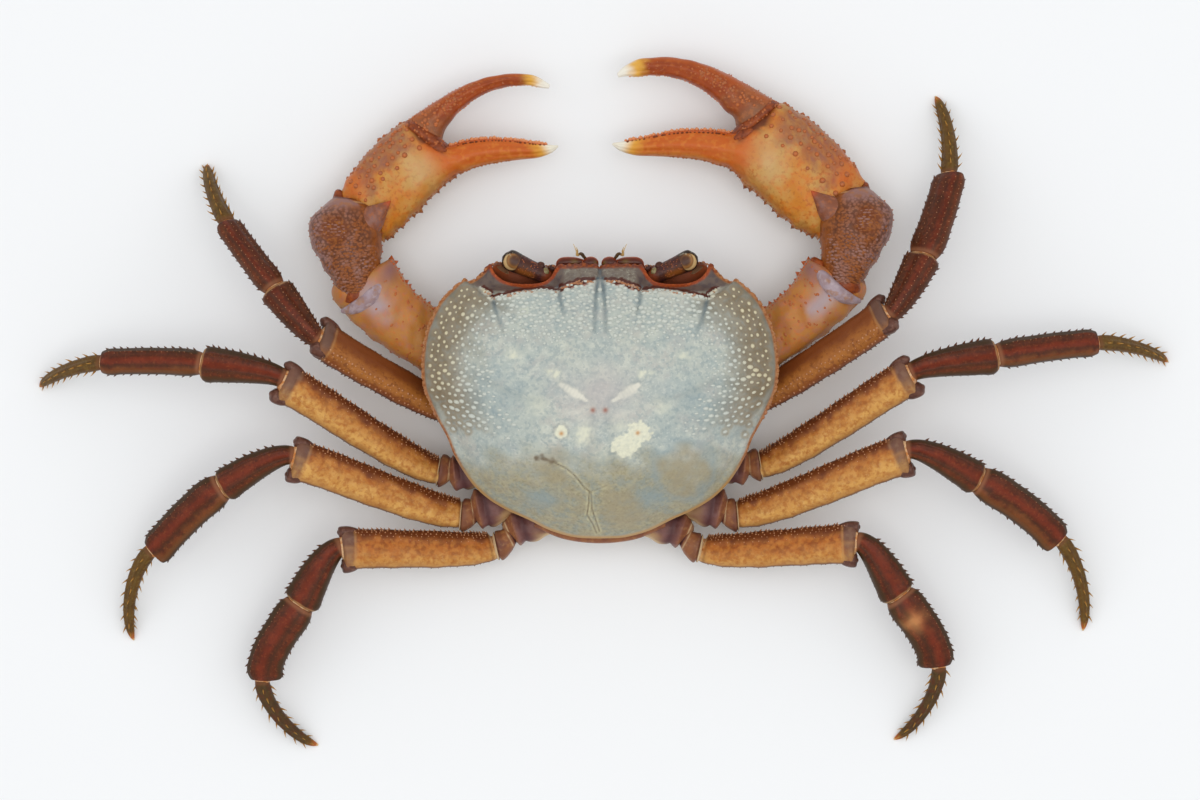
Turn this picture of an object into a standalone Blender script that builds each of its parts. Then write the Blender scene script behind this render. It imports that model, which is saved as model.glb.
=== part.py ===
"""A freshwater crab, Indochinamon malipoense, as a still life-size model.

The crab rests on its belly and on its toe tips, legs spread and claws curved in front of it.
+Z is up, +Y is the crab's front and +X is its own right-hand side. The origin is where the
belly meets the floor. Sizes are in millimetres until a mesh is made, and MM turns them into
metres. A right-hand piece is described by its sizes, and side (+1 or -1) takes it to its place.
"""

import math
import random
from collections import namedtuple

import bmesh
import bpy
from mathutils import Matrix, Vector
from mathutils.bvhtree import BVHTree

# Units and clearances
MM = 0.001
GAP = 0.3

# Carapace: half outline of the margin as (x, y, height), from the front's middle to the rear's
CARAPACE_TOP = 27.5
CARAPACE_BOTTOM = 8.3
CARAPACE_BOTTOM_RISE = 2.6
CARAPACE_CENTRE = (0.0, 1.0)
MARGIN = (
    (0.0, 22.5, 17.3), (2.0, 22.8, 17.3), (7.0, 22.8, 17.2), (12.8, 22.6, 17.0),
    (18.2, 22.8, 16.8), (20.4, 20.9, 16.8), (22.2, 19.9, 16.7), (23.0, 20.3, 16.6),
    (25.0, 18.7, 16.5), (27.0, 16.5, 16.4), (28.5, 13.6, 16.4), (29.4, 11.1, 16.3),
    (30.0, 6.7, 16.2), (30.0, 4.4, 16.1), (29.7, 2.0, 15.9), (28.8, -0.4, 15.7),
    (27.4, -3.4, 15.5), (25.8, -6.4, 15.2), (24.7, -9.2, 14.9), (23.2, -11.9, 14.6),
    (21.3, -14.5, 14.2), (18.8, -16.8, 13.8), (15.8, -18.6, 13.4), (12.3, -20.2, 13.0),
    (8.2, -22.2, 12.6), (4.0, -23.3, 12.4), (0.0, -23.5, 12.3),
)
DOME_RINGS = (0.955, 0.87, 0.74, 0.55, 0.30)
# Faces this little below the innermost ring are the flat lid that the crown replaces
LID_SLACK = 0.01
DOME_FULLNESS = 2.4
DOME_SHOULDER = 0.8
WALL_STEPS = (0.35, 0.7)
WALL_INSET = 0.74
WALL_EASE = 1.5
WALL_EASE_FRONT = 4.0
WALL_INSET_FRONT = 0.88
WALL_INSET_REAR = 0.78

# Teeth of the side margin: how many, and the stations of the margin between which they stand
MARGIN_TEETH = 13
MARGIN_TEETH_SPAN = (8, 17)
MARGIN_TOOTH_RADIUS = 0.5
MARGIN_TOOTH_HEIGHT = 0.45
MARGIN_TOOTH_TILT = Vector((0.0, 0.25, 0.1))
MARGIN_SEED = 3
# Crests across the front of the dome, as plan points of the right-hand side
CRESTS = (
    ((1.3, 20.3), (3.8, 20.2), (6.3, 19.3)),
    ((7.4, 18.6), (11.8, 18.9), (15.2, 18.3), (18.0, 17.6)),
)
CREST_RADIUS = 0.6
CREST_SIDES = 5
# Lower rim of the socket, a bar that carries the floor forward under the eye
ORBIT_LIP = ((8.2, 21.6, 11.9), (11.0, 22.3, 11.9), (15.0, 22.5, 12.0), (18.4, 21.8, 12.4))
ORBIT_LIP_RADIUS = 0.8

# Orbits: plan outline of the right socket, cut down to its floor, and its middle
ORBIT_MIDDLE = (12.8, 25.0)
ORBIT = (
    (6.9, 30.0), (7.3, 22.6), (8.0, 21.5), (9.4, 20.0), (12.8, 19.5), (16.2, 20.1),
    (17.7, 21.3), (18.3, 22.6), (18.9, 30.0),
)
ORBIT_FLOOR = 12.4
ORBIT_TOP = 32.0

# Thorax and belly plate
THORAX_OUTLINE = (
    (0.0, 9.6), (6.5, 9.6), (11.5, 8.6), (14.6, 4.5), (15.6, -1.5), (14.8, -7.5),
    (12.2, -12.2), (8.0, -15.6), (0.0, -17.2),
)
THORAX_LEVELS = ((1.6, 0.72), (3.4, 0.93), (5.6, 1.0), (8.0, 1.0))
ABDOMEN_HALF_THICK = 0.65
# Belly plate as (y, height of its middle, half width), from the front tip round to the rear
ABDOMEN_STATIONS = (
    (4.2, 0.65, 0.8), (3.4, 0.65, 1.7), (1.0, 0.65, 2.2), (-3.0, 0.65, 2.9), (-8.0, 0.65, 4.6),
    (-12.5, 0.65, 6.4), (-15.6, 0.8, 6.4), (-18.2, 1.9, 5.6), (-19.8, 3.8, 5.0),
    (-20.5, 6.2, 4.8),
)

# Eyes, feelers and mouthparts
EYE_BASE = (8.6, 20.9, 14.4)
EYE_TIP = (16.3, 24.5, 14.9)
# Eyestalk as (fraction of its length, radius)
EYE_STATIONS = (
    (0.0, 1.15), (0.2, 1.2), (0.45, 1.35), (0.68, 1.7), (0.84, 1.8), (0.95, 1.35), (1.0, 0.6),
)
FEELER_LOBES = (
    ((0.6, 21.0, 14.4), (2.9, 24.2, 16.3)),
    ((2.5, 21.0, 13.8), (7.2, 23.8, 16.0)),
)
LOBE_BEVEL = 0.35
LOBE_SIDES = 6
FEELER_PATH = ((2.8, 23.2, 15.2), (3.6, 24.8, 15.8), (4.2, 26.3, 16.8))
FEELER_RADII = (0.4, 0.3, 0.15)
JAW_HALF_THICK = 0.85
JAW_UP = Vector((0.0, -0.5, 0.87))
JAW_SIDES = 8
JAW_SQUARENESS = 3.0
# Outer mouth plate as (y, height of its middle, inner x, outer x)
JAW_STATIONS = (
    (10.1, 3.3, 0.4, 3.6), (11.6, 4.0, 0.25, 5.0), (14.6, 5.6, 0.25, 5.6), (16.6, 6.8, 0.25, 5.7),
    (18.6, 8.0, 0.4, 5.4), (19.8, 8.6, 1.0, 4.4),
)

# Walking legs. A leg is its side, root inside the thorax, hip, roll, skews, lean of the toe
# joint's face, reach of the knee lobes past the knee, and segments. A skew moves width from the
# ventral to the dorsal side, at the knee and at the toe joint
Leg = namedtuple("Leg", "name side root hip roll knee_skew toe_skew toe_lean knee_reach "
                 "merus carpus propodus dactylus")
# A segment is its length, azimuth, pitch, greatest width and thickness
Segment = namedtuple("Segment", "length azimuth pitch width thick")
LEGS = (
    Leg("left_2", -1, (-13.8, -1.6, 5.0), (-24.6, -2.0, 6.8), 38.0, 0.14, -0.04, 0.3, 0.8,
        Segment(27.9, 151.9, 18.9, 6.7, 4.4), Segment(11.4, 130.4, -5.0, 6.0, 4.0),
        Segment(14.7, 126.8, -17.8, 4.8, 3.4), Segment(15.4, 113.2, -42.0, 3.0, 2.2)),
    Leg("left_3", -1, (-13.0, -7.4, 4.9), (-27.2, -12.4, 6.6), 6.0, -0.05, 0.0, 0.3, 0.9,
        Segment(33.0, 148.9, 20.2, 6.4, 4.4), Segment(14.1, 169.5, -8.1, 5.8, 4.0),
        Segment(18.3, 179.0, -15.9, 4.5, 3.4), Segment(16.8, 198.5, -40.0, 2.7, 2.2)),
    Leg("left_4", -1, (-10.4, -11.6, 4.8), (-23.2, -19.6, 6.2), 0.0, -0.05, -0.1, 0.05, 0.5,
        Segment(32.2, 160.8, 17.7, 6.7, 4.4), Segment(13.5, 203.7, -10.7, 5.5, 3.9),
        Segment(17.6, 220.7, -18.2, 5.8, 3.4), Segment(18.1, 256.0, -25.0, 2.6, 2.2)),
    Leg("left_5", -1, (-6.2, -14.4, 4.8), (-17.9, -25.1, 6.2), 0.0, -0.03, -0.1, 0.45, 0.4,
        Segment(26.9, 180.3, 12.4, 6.7, 4.2), Segment(12.2, 233.5, -9.4, 6.1, 3.8),
        Segment(15.2, 242.5, -13.4, 6.2, 3.3), Segment(16.2, 307.8, -22.0, 2.6, 2.1)),
    Leg("right_2", 1, (13.8, -1.6, 5.0), (24.4, -0.9, 6.8), 38.0, 0.10, -0.05, 0.3, 0.8,
        Segment(30.4, 32.2, 16.2, 6.7, 4.4), Segment(11.8, 59.0, -11.2, 6.2, 4.0),
        Segment(15.7, 71.6, -18.6, 6.2, 3.4), Segment(16.0, 96.2, -28.4, 3.0, 2.2)),
    Leg("right_3", 1, (13.0, -7.4, 4.9), (27.0, -11.4, 6.6), 6.0, -0.05, 0.0, 0.3, 0.9,
        Segment(32.1, 31.9, 19.0, 6.3, 4.4), Segment(15.0, 11.2, -7.6, 5.8, 4.0),
        Segment(18.5, 7.4, -15.7, 4.7, 3.4), Segment(17.0, 347.0, -35.0, 2.6, 2.2)),
    Leg("right_4", 1, (10.4, -11.6, 4.8), (22.9, -19.6, 6.2), 0.0, -0.05, -0.1, 0.3, 0.5,
        Segment(32.7, 20.6, 16.6, 6.7, 4.4), Segment(13.7, 337.7, -12.7, 5.5, 3.9),
        Segment(18.6, 324.6, -17.2, 5.8, 3.4), Segment(18.0, 286.5, -21.5, 2.6, 2.2)),
    Leg("right_5", 1, (6.2, -14.4, 4.8), (17.2, -25.5, 6.2), 0.0, -0.03, -0.1, 0.45, 0.4,
        Segment(27.3, 2.6, 12.2, 6.6, 4.2), Segment(11.9, 308.7, -9.7, 6.0, 3.8),
        Segment(14.6, 300.3, -13.9, 6.3, 3.3), Segment(16.3, 241.1, -22.0, 2.5, 2.1)),
)
# Joint faces lean this much from the nearer segment towards the next one
JOINT_LEAN = {"merus": 0.35, "carpus": 0.12, "propodus": 0.5}
# How strongly each segment's curve follows its end faces, as a share of its length
TANGENT = {"base": 0.9, "merus": 0.45, "carpus": 0.6, "propodus": 0.9, "dactylus": 0.85}
# Each profile is (fraction of length, dorsal half width, ventral half width, thickness)
LEG_PROFILES = {
    "base": ((0.0, 0.48, 0.48, 0.90), (0.35, 0.50, 0.50, 1.0), (0.62, 0.50, 0.48, 0.95),
             (0.70, 0.40, 0.40, 0.80), (0.93, 0.42, 0.42, 0.80), (1.0, 0.36, 0.36, 0.70)),
    "merus": ((0.0, 0.29, 0.27, 0.62), (0.03, 0.36, 0.31, 0.76), (0.12, 0.43, 0.35, 0.90),
              (0.38, 0.50, 0.43, 1.0), (0.75, 0.49, 0.51, 1.0), (0.92, 0.48, 0.54, 0.97),
              (0.98, 0.47, 0.52, 0.88), (1.0, 0.42, 0.42, 0.72)),
    "carpus": ((0.0, 0.29, 0.27, 0.66), (0.12, 0.33, 0.29, 0.80), (0.40, 0.43, 0.38, 0.96),
               (0.75, 0.51, 0.49, 1.0), (0.95, 0.50, 0.50, 0.96), (1.0, 0.44, 0.43, 0.80)),
    "propodus": ((0.0, 0.42, 0.40, 0.84), (0.06, 0.48, 0.46, 0.98), (0.40, 0.51, 0.50, 1.0),
                 (0.78, 0.49, 0.50, 0.90), (0.95, 0.48, 0.49, 0.80), (1.0, 0.42, 0.43, 0.68)),
    "dactylus": ((0.0, 0.46, 0.46, 0.84), (0.06, 0.50, 0.50, 1.0), (0.30, 0.47, 0.47, 0.94),
                 (0.55, 0.41, 0.41, 0.82), (0.80, 0.33, 0.33, 0.64), (0.93, 0.24, 0.24, 0.46),
                 (1.0, 0.12, 0.12, 0.30)),
}
LEG_SIDES = {"base": 8, "merus": 10, "carpus": 10, "propodus": 8, "dactylus": 8}
BASE_WIDTH = 5.0
BASE_THICK = 5.0
CREST_SHARPNESS = 0.22
# Middle of the toe tip above the floor, low enough that its underside is cut to a flat
TOE_HEIGHT = 0.15
# Knuckle lobes beside each knee: places across the merus in its widths, length behind the joint,
# and radii at the root, behind the joint, past it and at the tip
KNEE_LOBES = (0.46, -0.48)
KNEE_LOBE_ROOT = 1.8
KNEE_LOBE_RADII = (0.5, 1.0, 0.9, 0.4)
# The knee lobes are cut back this far from the end face of the carpus
KNEE_CLEARANCE = 0.2

# Teeth and spines. A row is its angle round the section (0 dorsal, 90 top, 180 ventral), the
# fractions of the length between which it stands, how many, root radius, height and lean in degrees
Row = namedtuple("Row", "angle first last count radius height lean")
LEG_ROWS = {
    "merus": (Row(0, 0.10, 0.86, 9, 0.45, 0.45, 25),),
    "carpus": (Row(0, 0.22, 0.9, 5, 0.42, 0.5, 30),),
    "propodus": (Row(0, 0.12, 0.9, 5, 0.4, 0.5, 35), Row(180, 0.12, 0.9, 6, 0.4, 0.55, 35)),
    "dactylus": (Row(15, 0.1, 0.86, 5, 0.36, 1.0, 50), Row(165, 0.16, 0.82, 5, 0.36, 1.0, 50),
                 Row(90, 0.14, 0.62, 3, 0.36, 0.8, 50)),
}
CONE_SIDES = 4
# A cone's root goes this many radii below the surface
CONE_SINK = 1.3
# Sizes of teeth vary by this share either way
SIZE_SPREAD = 0.18
# Spines whose roots are lower than this are left off the toes
SPINE_LOWEST = 1.3

# Chelipeds. A claw is its side, base root, hip, elbow, wrist, hand length and azimuth, how far
# along the hand its finger joint is moved, how much deeper the hand is, in shares of its length,
# and how much wider the arm is
Cheliped = namedtuple("Cheliped", "name side root hip elbow wrist hand_length hand_angle knuckle "
                      "stout arm_spread")
CHELIPEDS = (
    Cheliped("left", -1, (-12.2, 4.6, 5.2), (-20.2, 4.8, 5.6), (-43.1, 17.7, 8.3),
             (-41.1, 31.2, 6.4), 36.0, 20.2, -0.022, 0.0, 0.9),
    Cheliped("right", 1, (12.2, 4.6, 5.2), (20.2, 4.8, 5.6), (43.4, 19.4, 8.6),
             (41.6, 32.5, 6.8), 41.0, 16.3, 0.012, 0.018, 0.0),
)
# Arm ribs from the hip: inner edge (out, forward), outer edge, height, half thickness
ARM_RIBS = (
    ((1.2, 2.6), (1.4, -2.6), 0.0, 2.2), ((3.6, 5.4), (4.6, -2.4), 0.2, 2.6),
    ((7.8, 10.5), (9.2, 0.5), 1.6, 3.6), ((11.6, 13.9), (15.8, 4.6), 2.4, 4.2),
    ((14.2, 17.3), (20.6, 8.3), 2.8, 4.4), ((15.5, 19.4), (23.8, 11.4), 3.0, 4.3),
    ((17.5, 18.6), (25.5, 14.2), 3.0, 3.9), ((19.8, 17.6), (25.4, 15.9), 3.0, 3.2),
)
# Wrist piece ribs from the elbow: inner edge (out, forward), outer edge, height, half thickness
CARPUS_RIBS = (
    ((-1.2, -1.2), (0.9, -1.2), 0.0, 1.6), ((-3.0, 0.6), (2.6, 1.0), 0.1, 3.0),
    ((-4.5, 3.6), (3.8, 3.8), 0.3, 4.0), ((-5.5, 6.8), (5.6, 7.2), 0.5, 4.5),
    ((-5.7, 10.4), (6.8, 11.0), 0.5, 4.6), ((-5.6, 13.2), (6.2, 14.0), 0.3, 4.2),
    ((-4.4, 15.4), (3.6, 16.2), 0.0, 3.2), ((-1.0, 16.8), (2.6, 17.2), 0.0, 2.0),
)
CARPUS_SPINE_ROOT = (-4.0, 13.2, 3.0)
CARPUS_SPINE_TIP = (-7.3, 15.9, 3.6)
CARPUS_SPINE_RADII = (1.7, 0.2)
# Hand ribs in fractions of the hand's length: outer edge (along, out), inner edge, thickness
HAND_RIBS = (
    ((-0.062, 0.152), (0.065, -0.150), 0.080), ((0.010, 0.208), (0.100, -0.136), 0.108),
    ((0.100, 0.262), (0.165, -0.108), 0.122), ((0.200, 0.314), (0.260, -0.068), 0.126),
    ((0.290, 0.347), (0.350, -0.020), 0.124), ((0.385, 0.360), (0.430, 0.012), 0.116),
    ((0.448, 0.272), (0.490, 0.034), 0.100), ((0.505, 0.196), (0.550, 0.040), 0.086),
    ((0.600, 0.176), (0.630, 0.038), 0.072), ((0.700, 0.150), (0.720, 0.023), 0.062),
    ((0.800, 0.108), (0.820, 0.000), 0.050), ((0.900, 0.054), (0.910, -0.020), 0.036),
    ((0.965, 0.022), (0.975, -0.016), 0.022), ((1.000, 0.006), (1.002, -0.004), 0.009),
)
FINGER_RIBS = (
    ((0.385, 0.360), (0.505, 0.205), 0.084), ((0.420, 0.374), (0.530, 0.246), 0.086),
    ((0.490, 0.390), (0.572, 0.281), 0.080), ((0.580, 0.410), (0.634, 0.318), 0.070),
    ((0.675, 0.426), (0.707, 0.344), 0.060), ((0.765, 0.430), (0.780, 0.357), 0.052),
    ((0.850, 0.421), (0.852, 0.355), 0.045), ((0.935, 0.397), (0.922, 0.340), 0.037),
    ((1.010, 0.359), (0.990, 0.317), 0.026), ((1.050, 0.311), (1.036, 0.292), 0.014),
    ((1.066, 0.284), (1.060, 0.280), 0.006),
)
KNUCKLE_RIBS = (5, 6, 7)
# Ribs whose inner edge a stouter hand carries further in
STOUT_PALM_RIBS = (2, 3, 4, 5)
HAND_SIDES = 12
SHELL_SQUARENESS = 2.3
# Teeth on the edges of ribs: ribs between which they stand, edge (0 or 1), count, radius, height
EdgeRow = namedtuple("EdgeRow", "first last edge count radius height")
ARM_ROWS = (EdgeRow(2, 5, 0, 7, 0.55, 0.6), EdgeRow(5, 5, 0, 1, 0.8, 0.3))
CARPUS_ROWS = (EdgeRow(2, 5, 1, 5, 0.45, 0.35),)
PALM_ROWS = (EdgeRow(1, 4, 0, 6, 0.5, 0.4), EdgeRow(1, 7, 1, 10, 0.5, 0.45),
             EdgeRow(8, 11, 0, 7, 0.42, 0.4))
FINGER_ROWS = (EdgeRow(2, 4, 0, 3, 0.45, 0.3), EdgeRow(3, 7, 1, 6, 0.42, 0.3))
# Warts on top of the palm, as shares of the way along it and across it
PALM_WARTS = (
    (0.30, 0.24), (0.42, 0.22), (0.54, 0.20), (0.66, 0.22), (0.78, 0.24),
    (0.36, 0.36), (0.50, 0.34), (0.64, 0.36), (0.76, 0.38),
)
WART_RADIUS = 0.6
WART_HEIGHT = 0.4

# Finishes: sRGB colour, roughness, metallic value
Finish = namedtuple("Finish", "colour roughness metallic")
FINISHES = {
    "carapace_shell": Finish("A9B2AC", 0.45, 0.0),
    "thorax_shell": Finish("C9A173", 0.5, 0.0),
    "leg_ochre_shell": Finish("B87C34", 0.45, 0.0),
    "leg_dark_shell": Finish("542117", 0.45, 0.0),
    "toe_shell": Finish("4A3A1C", 0.5, 0.0),
    "claw_orange_shell": Finish("C4762E", 0.42, 0.0),
    "claw_finger_shell": Finish("A84A20", 0.42, 0.0),
    "eye_shell": Finish("3A2A1C", 0.2, 0.0),
    "mouth_shell": Finish("B58B5C", 0.5, 0.0),
}


def remove_everything():
    """Empty the scene that the script starts in."""
    for item in list(bpy.data.objects):
        bpy.data.objects.remove(item, do_unlink=True)


def srgb_to_linear(code):
    """Turn a six-digit sRGB code into a linear colour with full alpha."""
    channels = [int(code[i:i + 2], 16) / 255.0 for i in (0, 2, 4)]
    linear = [c / 12.92 if c <= 0.04045 else ((c + 0.055) / 1.055) ** 2.4 for c in channels]
    return (*linear, 1.0)


def make_materials():
    """Make one Principled material for each finish."""
    materials = {}
    for name, finish in FINISHES.items():
        material = bpy.data.materials.new(name)
        material.use_nodes = True
        shader = material.node_tree.nodes["Principled BSDF"]
        shader.inputs["Base Color"].default_value = srgb_to_linear(finish.colour)
        shader.inputs["Roughness"].default_value = finish.roughness
        shader.inputs["Metallic"].default_value = finish.metallic
        materials[name] = material
    return materials


def power(value, exponent):
    """Signed power, for the rounded-square sections."""
    return math.copysign(abs(value) ** exponent, value)


def section(centre, across, front, back, up, thick, sides, squareness=2.0, crest=0.0):
    """Points of one closed section: front and back half widths along across, thick along up."""
    points = []
    for k in range(sides):
        angle = 2.0 * math.pi * k / sides
        c = power(math.cos(angle), 2.0 / squareness)
        s = power(math.sin(angle), 2.0 / squareness)
        reach = front if c > 0.0 else back
        points.append(centre + across * (reach * c) + up * (thick * s * (1.0 - crest * c)))
    return points


def loft(rings):
    """Close a row of equal rings of points into one bmesh body, in metres."""
    bm = bmesh.new()
    rows = [[bm.verts.new(point * MM) for point in ring] for ring in rings]
    count = len(rings[0])
    for near, far in zip(rows, rows[1:]):
        for k in range(count):
            after = (k + 1) % count
            bm.faces.new((near[k], near[after], far[after], far[k]))
    bm.faces.new(reversed(rows[0]))
    bm.faces.new(rows[-1])
    bmesh.ops.recalc_face_normals(bm, faces=bm.faces)
    bmesh.ops.triangulate(bm, faces=bm.faces)
    return bm


def make_object(name, bm, collection, material=None, frame=None, parent=None):
    """Put a body into an object whose frame (in millimetres) sets its place and turn."""
    frame = frame.copy() if frame else Matrix.Identity(4)
    frame.translation = frame.translation * MM
    bmesh.ops.transform(bm, matrix=frame.inverted(), verts=bm.verts)
    mesh = bpy.data.meshes.new(name)
    bm.to_mesh(mesh)
    bm.free()
    item = bpy.data.objects.new(name, mesh)
    collection.objects.link(item)
    if parent:
        item.parent = parent
        frame = Matrix.Translation(-parent.location) @ frame
    item.location = frame.to_translation()
    item.rotation_euler = frame.to_euler()
    if material:
        mesh.materials.append(material)
    bpy.context.view_layer.update()
    return item


def make_empty(name, place, collection):
    """An empty at a limb's root, which its segments hang from."""
    empty = bpy.data.objects.new(name, None)
    empty.location = Vector(place) * MM
    empty.empty_display_size = 5.0 * MM
    collection.objects.link(empty)
    bpy.context.view_layer.update()
    return empty


def closed_pieces(bm):
    """The separate closed surfaces of a bmesh, as lists of faces."""
    left = set(bm.faces)
    pieces = []
    while left:
        piece = []
        stack = [left.pop()]
        while stack:
            face = stack.pop()
            piece.append(face)
            for edge in face.edges:
                for other in edge.link_faces:
                    if other in left:
                        left.remove(other)
                        stack.append(other)
        pieces.append(piece)
    return pieces


def keep_largest(mesh):
    """Weld a mesh and keep only its largest closed surface."""
    bm = bmesh.new()
    bm.from_mesh(mesh)
    bmesh.ops.remove_doubles(bm, verts=bm.verts, dist=0.0004 * MM)
    bmesh.ops.triangulate(bm, faces=bm.faces)
    pieces = closed_pieces(bm)

    def spread(piece):
        xs = [vert.co for face in piece for vert in face.verts]
        return sum(max(v[i] for v in xs) - min(v[i] for v in xs) for i in range(3))

    pieces.sort(key=spread, reverse=True)
    scrap = [face for piece in pieces[1:] for face in piece]
    bmesh.ops.delete(bm, geom=scrap, context="FACES")
    loose = [vert for vert in bm.verts if not vert.link_faces]
    bmesh.ops.delete(bm, geom=loose, context="VERTS")
    bm.to_mesh(mesh)
    bm.free()


def apply_boolean(item, operation, cutter=None, group=None):
    """Run one exact Boolean on an object, apply it and keep the largest surface."""
    modifier = item.modifiers.new(operation.lower(), "BOOLEAN")
    modifier.operation = operation
    modifier.solver = "EXACT"
    if group:
        modifier.operand_type = "COLLECTION"
        modifier.collection = group
    else:
        modifier.object = cutter
    bpy.context.view_layer.update()
    depsgraph = bpy.context.evaluated_depsgraph_get()
    evaluated = item.evaluated_get(depsgraph)
    result = bpy.data.meshes.new_from_object(evaluated, depsgraph=depsgraph)
    item.modifiers.remove(modifier)
    item.data = result
    result.name = item.name
    keep_largest(item.data)


def flatten_feet(item):
    """Bring every point below the floor up to it, which leaves a small flat."""
    to_world = item.matrix_world
    to_local = to_world.inverted()
    for vert in item.data.vertices:
        place = to_world @ vert.co
        if place.z < 0.0:
            place.z = 0.0
            vert.co = to_local @ place


def spaced(points, count, first=0.0, last=1.0):
    """Evenly spaced points of a polyline, from one fraction of its length to another."""
    lengths = [0.0]
    for a, b in zip(points, points[1:]):
        lengths.append(lengths[-1] + (b - a).length)
    spots = []
    for k in range(count):
        goal = lengths[-1] * (first + (last - first) * k / max(count - 1, 1))
        i = max(j for j, done in enumerate(lengths[:-1]) if done <= goal)
        share = (goal - lengths[i]) / (lengths[i + 1] - lengths[i])
        spots.append(points[i].lerp(points[i + 1], share))
    return spots


def add_cone(group, place, way, radius, height):
    """One tooth or spine on a surface, its root sunk below the place it stands on."""
    bm = bmesh.new()
    sink = radius * CONE_SINK
    bmesh.ops.create_cone(bm, cap_ends=True, segments=CONE_SIDES, radius1=radius, radius2=0.0,
                          depth=height + sink)
    bmesh.ops.remove_doubles(bm, verts=bm.verts, dist=MM)
    lift = Matrix.Translation((0.0, 0.0, (height - sink) / 2.0))
    turn = way.to_track_quat("Z", "Y").to_matrix().to_4x4()
    bmesh.ops.transform(bm, matrix=Matrix.Translation(place) @ turn @ lift, verts=bm.verts)
    bmesh.ops.scale(bm, vec=(MM, MM, MM), verts=bm.verts)
    make_object("cone", bm, group)


def sized(draw, value):
    """A size varied a little, as real teeth are."""
    return value * draw.uniform(1.0 - SIZE_SPREAD, 1.0 + SIZE_SPREAD)


def fuse(item, fill):
    """Join to an object all the pieces that a function puts in a collection."""
    group = bpy.data.collections.new(item.name + "_pieces")
    bpy.context.scene.collection.children.link(group)
    fill(group)
    apply_boolean(item, "UNION", group=group)
    remove_group(group)


def surface_tree(item):
    """A search tree of an object's surface, in world millimetres."""
    points = [item.matrix_world @ vert.co / MM for vert in item.data.vertices]
    return BVHTree.FromPolygons(points, [tuple(face.vertices) for face in item.data.polygons])


def top_spot(tree, x, y):
    """Place and normal of a surface straight below a plan point."""
    above = Vector((x, y, CARAPACE_TOP * 2.0))
    place, normal, _, _ = tree.ray_cast(above, Vector((0.0, 0.0, -1.0)))
    return place, normal


def mirrored_outline(half):
    """A closed ring of points from a right-hand half that runs front to rear."""
    left = [(-p[0],) + tuple(p[1:]) for p in reversed(half[1:-1])]
    return list(half) + left


def grown(points, centre, amount):
    """Points moved straight out from a centre in plan by a set amount."""
    out = []
    for p in points:
        flat = Vector((p[0] - centre[0], p[1] - centre[1]))
        flat *= 1.0 + amount / flat.length
        out.append((centre[0] + flat.x, centre[1] + flat.y) + tuple(p[2:]))
    return out


def carapace_body(grow=0.0):
    """The domed back shell with its side walls, optionally grown for use as a cutter."""
    margin = grown(mirrored_outline(MARGIN), CARAPACE_CENTRE, grow)
    centre = Vector((CARAPACE_CENTRE[0], CARAPACE_CENTRE[1], CARAPACE_TOP + grow))
    rings = []
    for step in (1.0,) + tuple(reversed(WALL_STEPS)):
        rings.append([wall_point(p, step, grow) for p in margin])
    rings.append([Vector((p[0], p[1], p[2] + grow)) for p in margin])
    for r in DOME_RINGS:
        ring = []
        for p in margin:
            flat = Vector((p[0] - centre.x, p[1] - centre.y)) * r
            rise = (1.0 - r ** DOME_FULLNESS) ** DOME_SHOULDER
            height = p[2] + grow + (CARAPACE_TOP - p[2]) * rise
            ring.append(Vector((centre.x + flat.x, centre.y + flat.y, height)))
        rings.append(ring)
    bm = loft(rings)
    crown = min(point.z for point in rings[-1]) * MM
    lid = [face for face in bm.faces if min(vert.co.z for vert in face.verts) > crown - LID_SLACK * MM]
    bmesh.ops.dissolve_faces(bm, faces=lid)
    lid = max(bm.faces, key=lambda face: face.calc_center_median().z)
    hub = bmesh.ops.poke(bm, faces=[lid])["verts"][0]
    hub.co = centre * MM
    bmesh.ops.triangulate(bm, faces=bm.faces)
    return bm


def wall_point(p, step, grow):
    """A point of the side wall, step 0 at the margin and 1 at the bottom edge."""
    front = max(0.0, p[1] / MARGIN[0][1])
    bottom = CARAPACE_BOTTOM + CARAPACE_BOTTOM_RISE * front ** 2 - grow
    inset_y = WALL_INSET_FRONT if p[1] > 0.0 else WALL_INSET_REAR
    ease = step ** (WALL_EASE + WALL_EASE_FRONT * front ** 2)
    x = p[0] * (1.0 - (1.0 - WALL_INSET) * ease)
    y = p[1] * (1.0 - (1.0 - inset_y) * ease)
    return Vector((x, y, p[2] + (bottom - p[2]) * step))


def prism(outline, bottom, top):
    """An upright prism on a plan outline."""
    return loft([[Vector((x, y, z)) for x, y in outline] for z in (bottom, top)])


def orbit_outline(side, shrink=0.0):
    """The socket's plan outline on one side, drawn in by a set amount."""
    outline = grown(ORBIT, ORBIT_MIDDLE, -shrink)
    return [(side * p[0], p[1]) for p in outline]


def add_carapace_forms(group, tree, side, draw):
    """Margin teeth, crests and the lower rim of the socket on one side."""
    first, last = MARGIN_TEETH_SPAN
    margin = [on_side(p, side) for p in MARGIN[first:last]]
    middle = Vector((CARAPACE_CENTRE[0], CARAPACE_CENTRE[1], 0.0))
    for place in spaced(margin, MARGIN_TEETH):
        out = place - middle
        way = Vector((out.x, out.y, 0.0)).normalized() + MARGIN_TOOTH_TILT
        add_cone(group, place, way.normalized(), MARGIN_TOOTH_RADIUS,
                 sized(draw, MARGIN_TOOTH_HEIGHT))
    for crest in CRESTS:
        path = [top_spot(tree, side * x, y)[0] for x, y in crest]
        radii = [CREST_RADIUS] * len(path)
        radii[0] = radii[-1] = CREST_RADIUS / 2.0
        make_object("crest", round_loft(path, radii, CREST_SIDES), group)
    lip = [on_side(p, side) for p in ORBIT_LIP]
    make_object("lip", round_loft(lip, [ORBIT_LIP_RADIUS] * len(lip), LOBE_SIDES), group)


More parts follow.
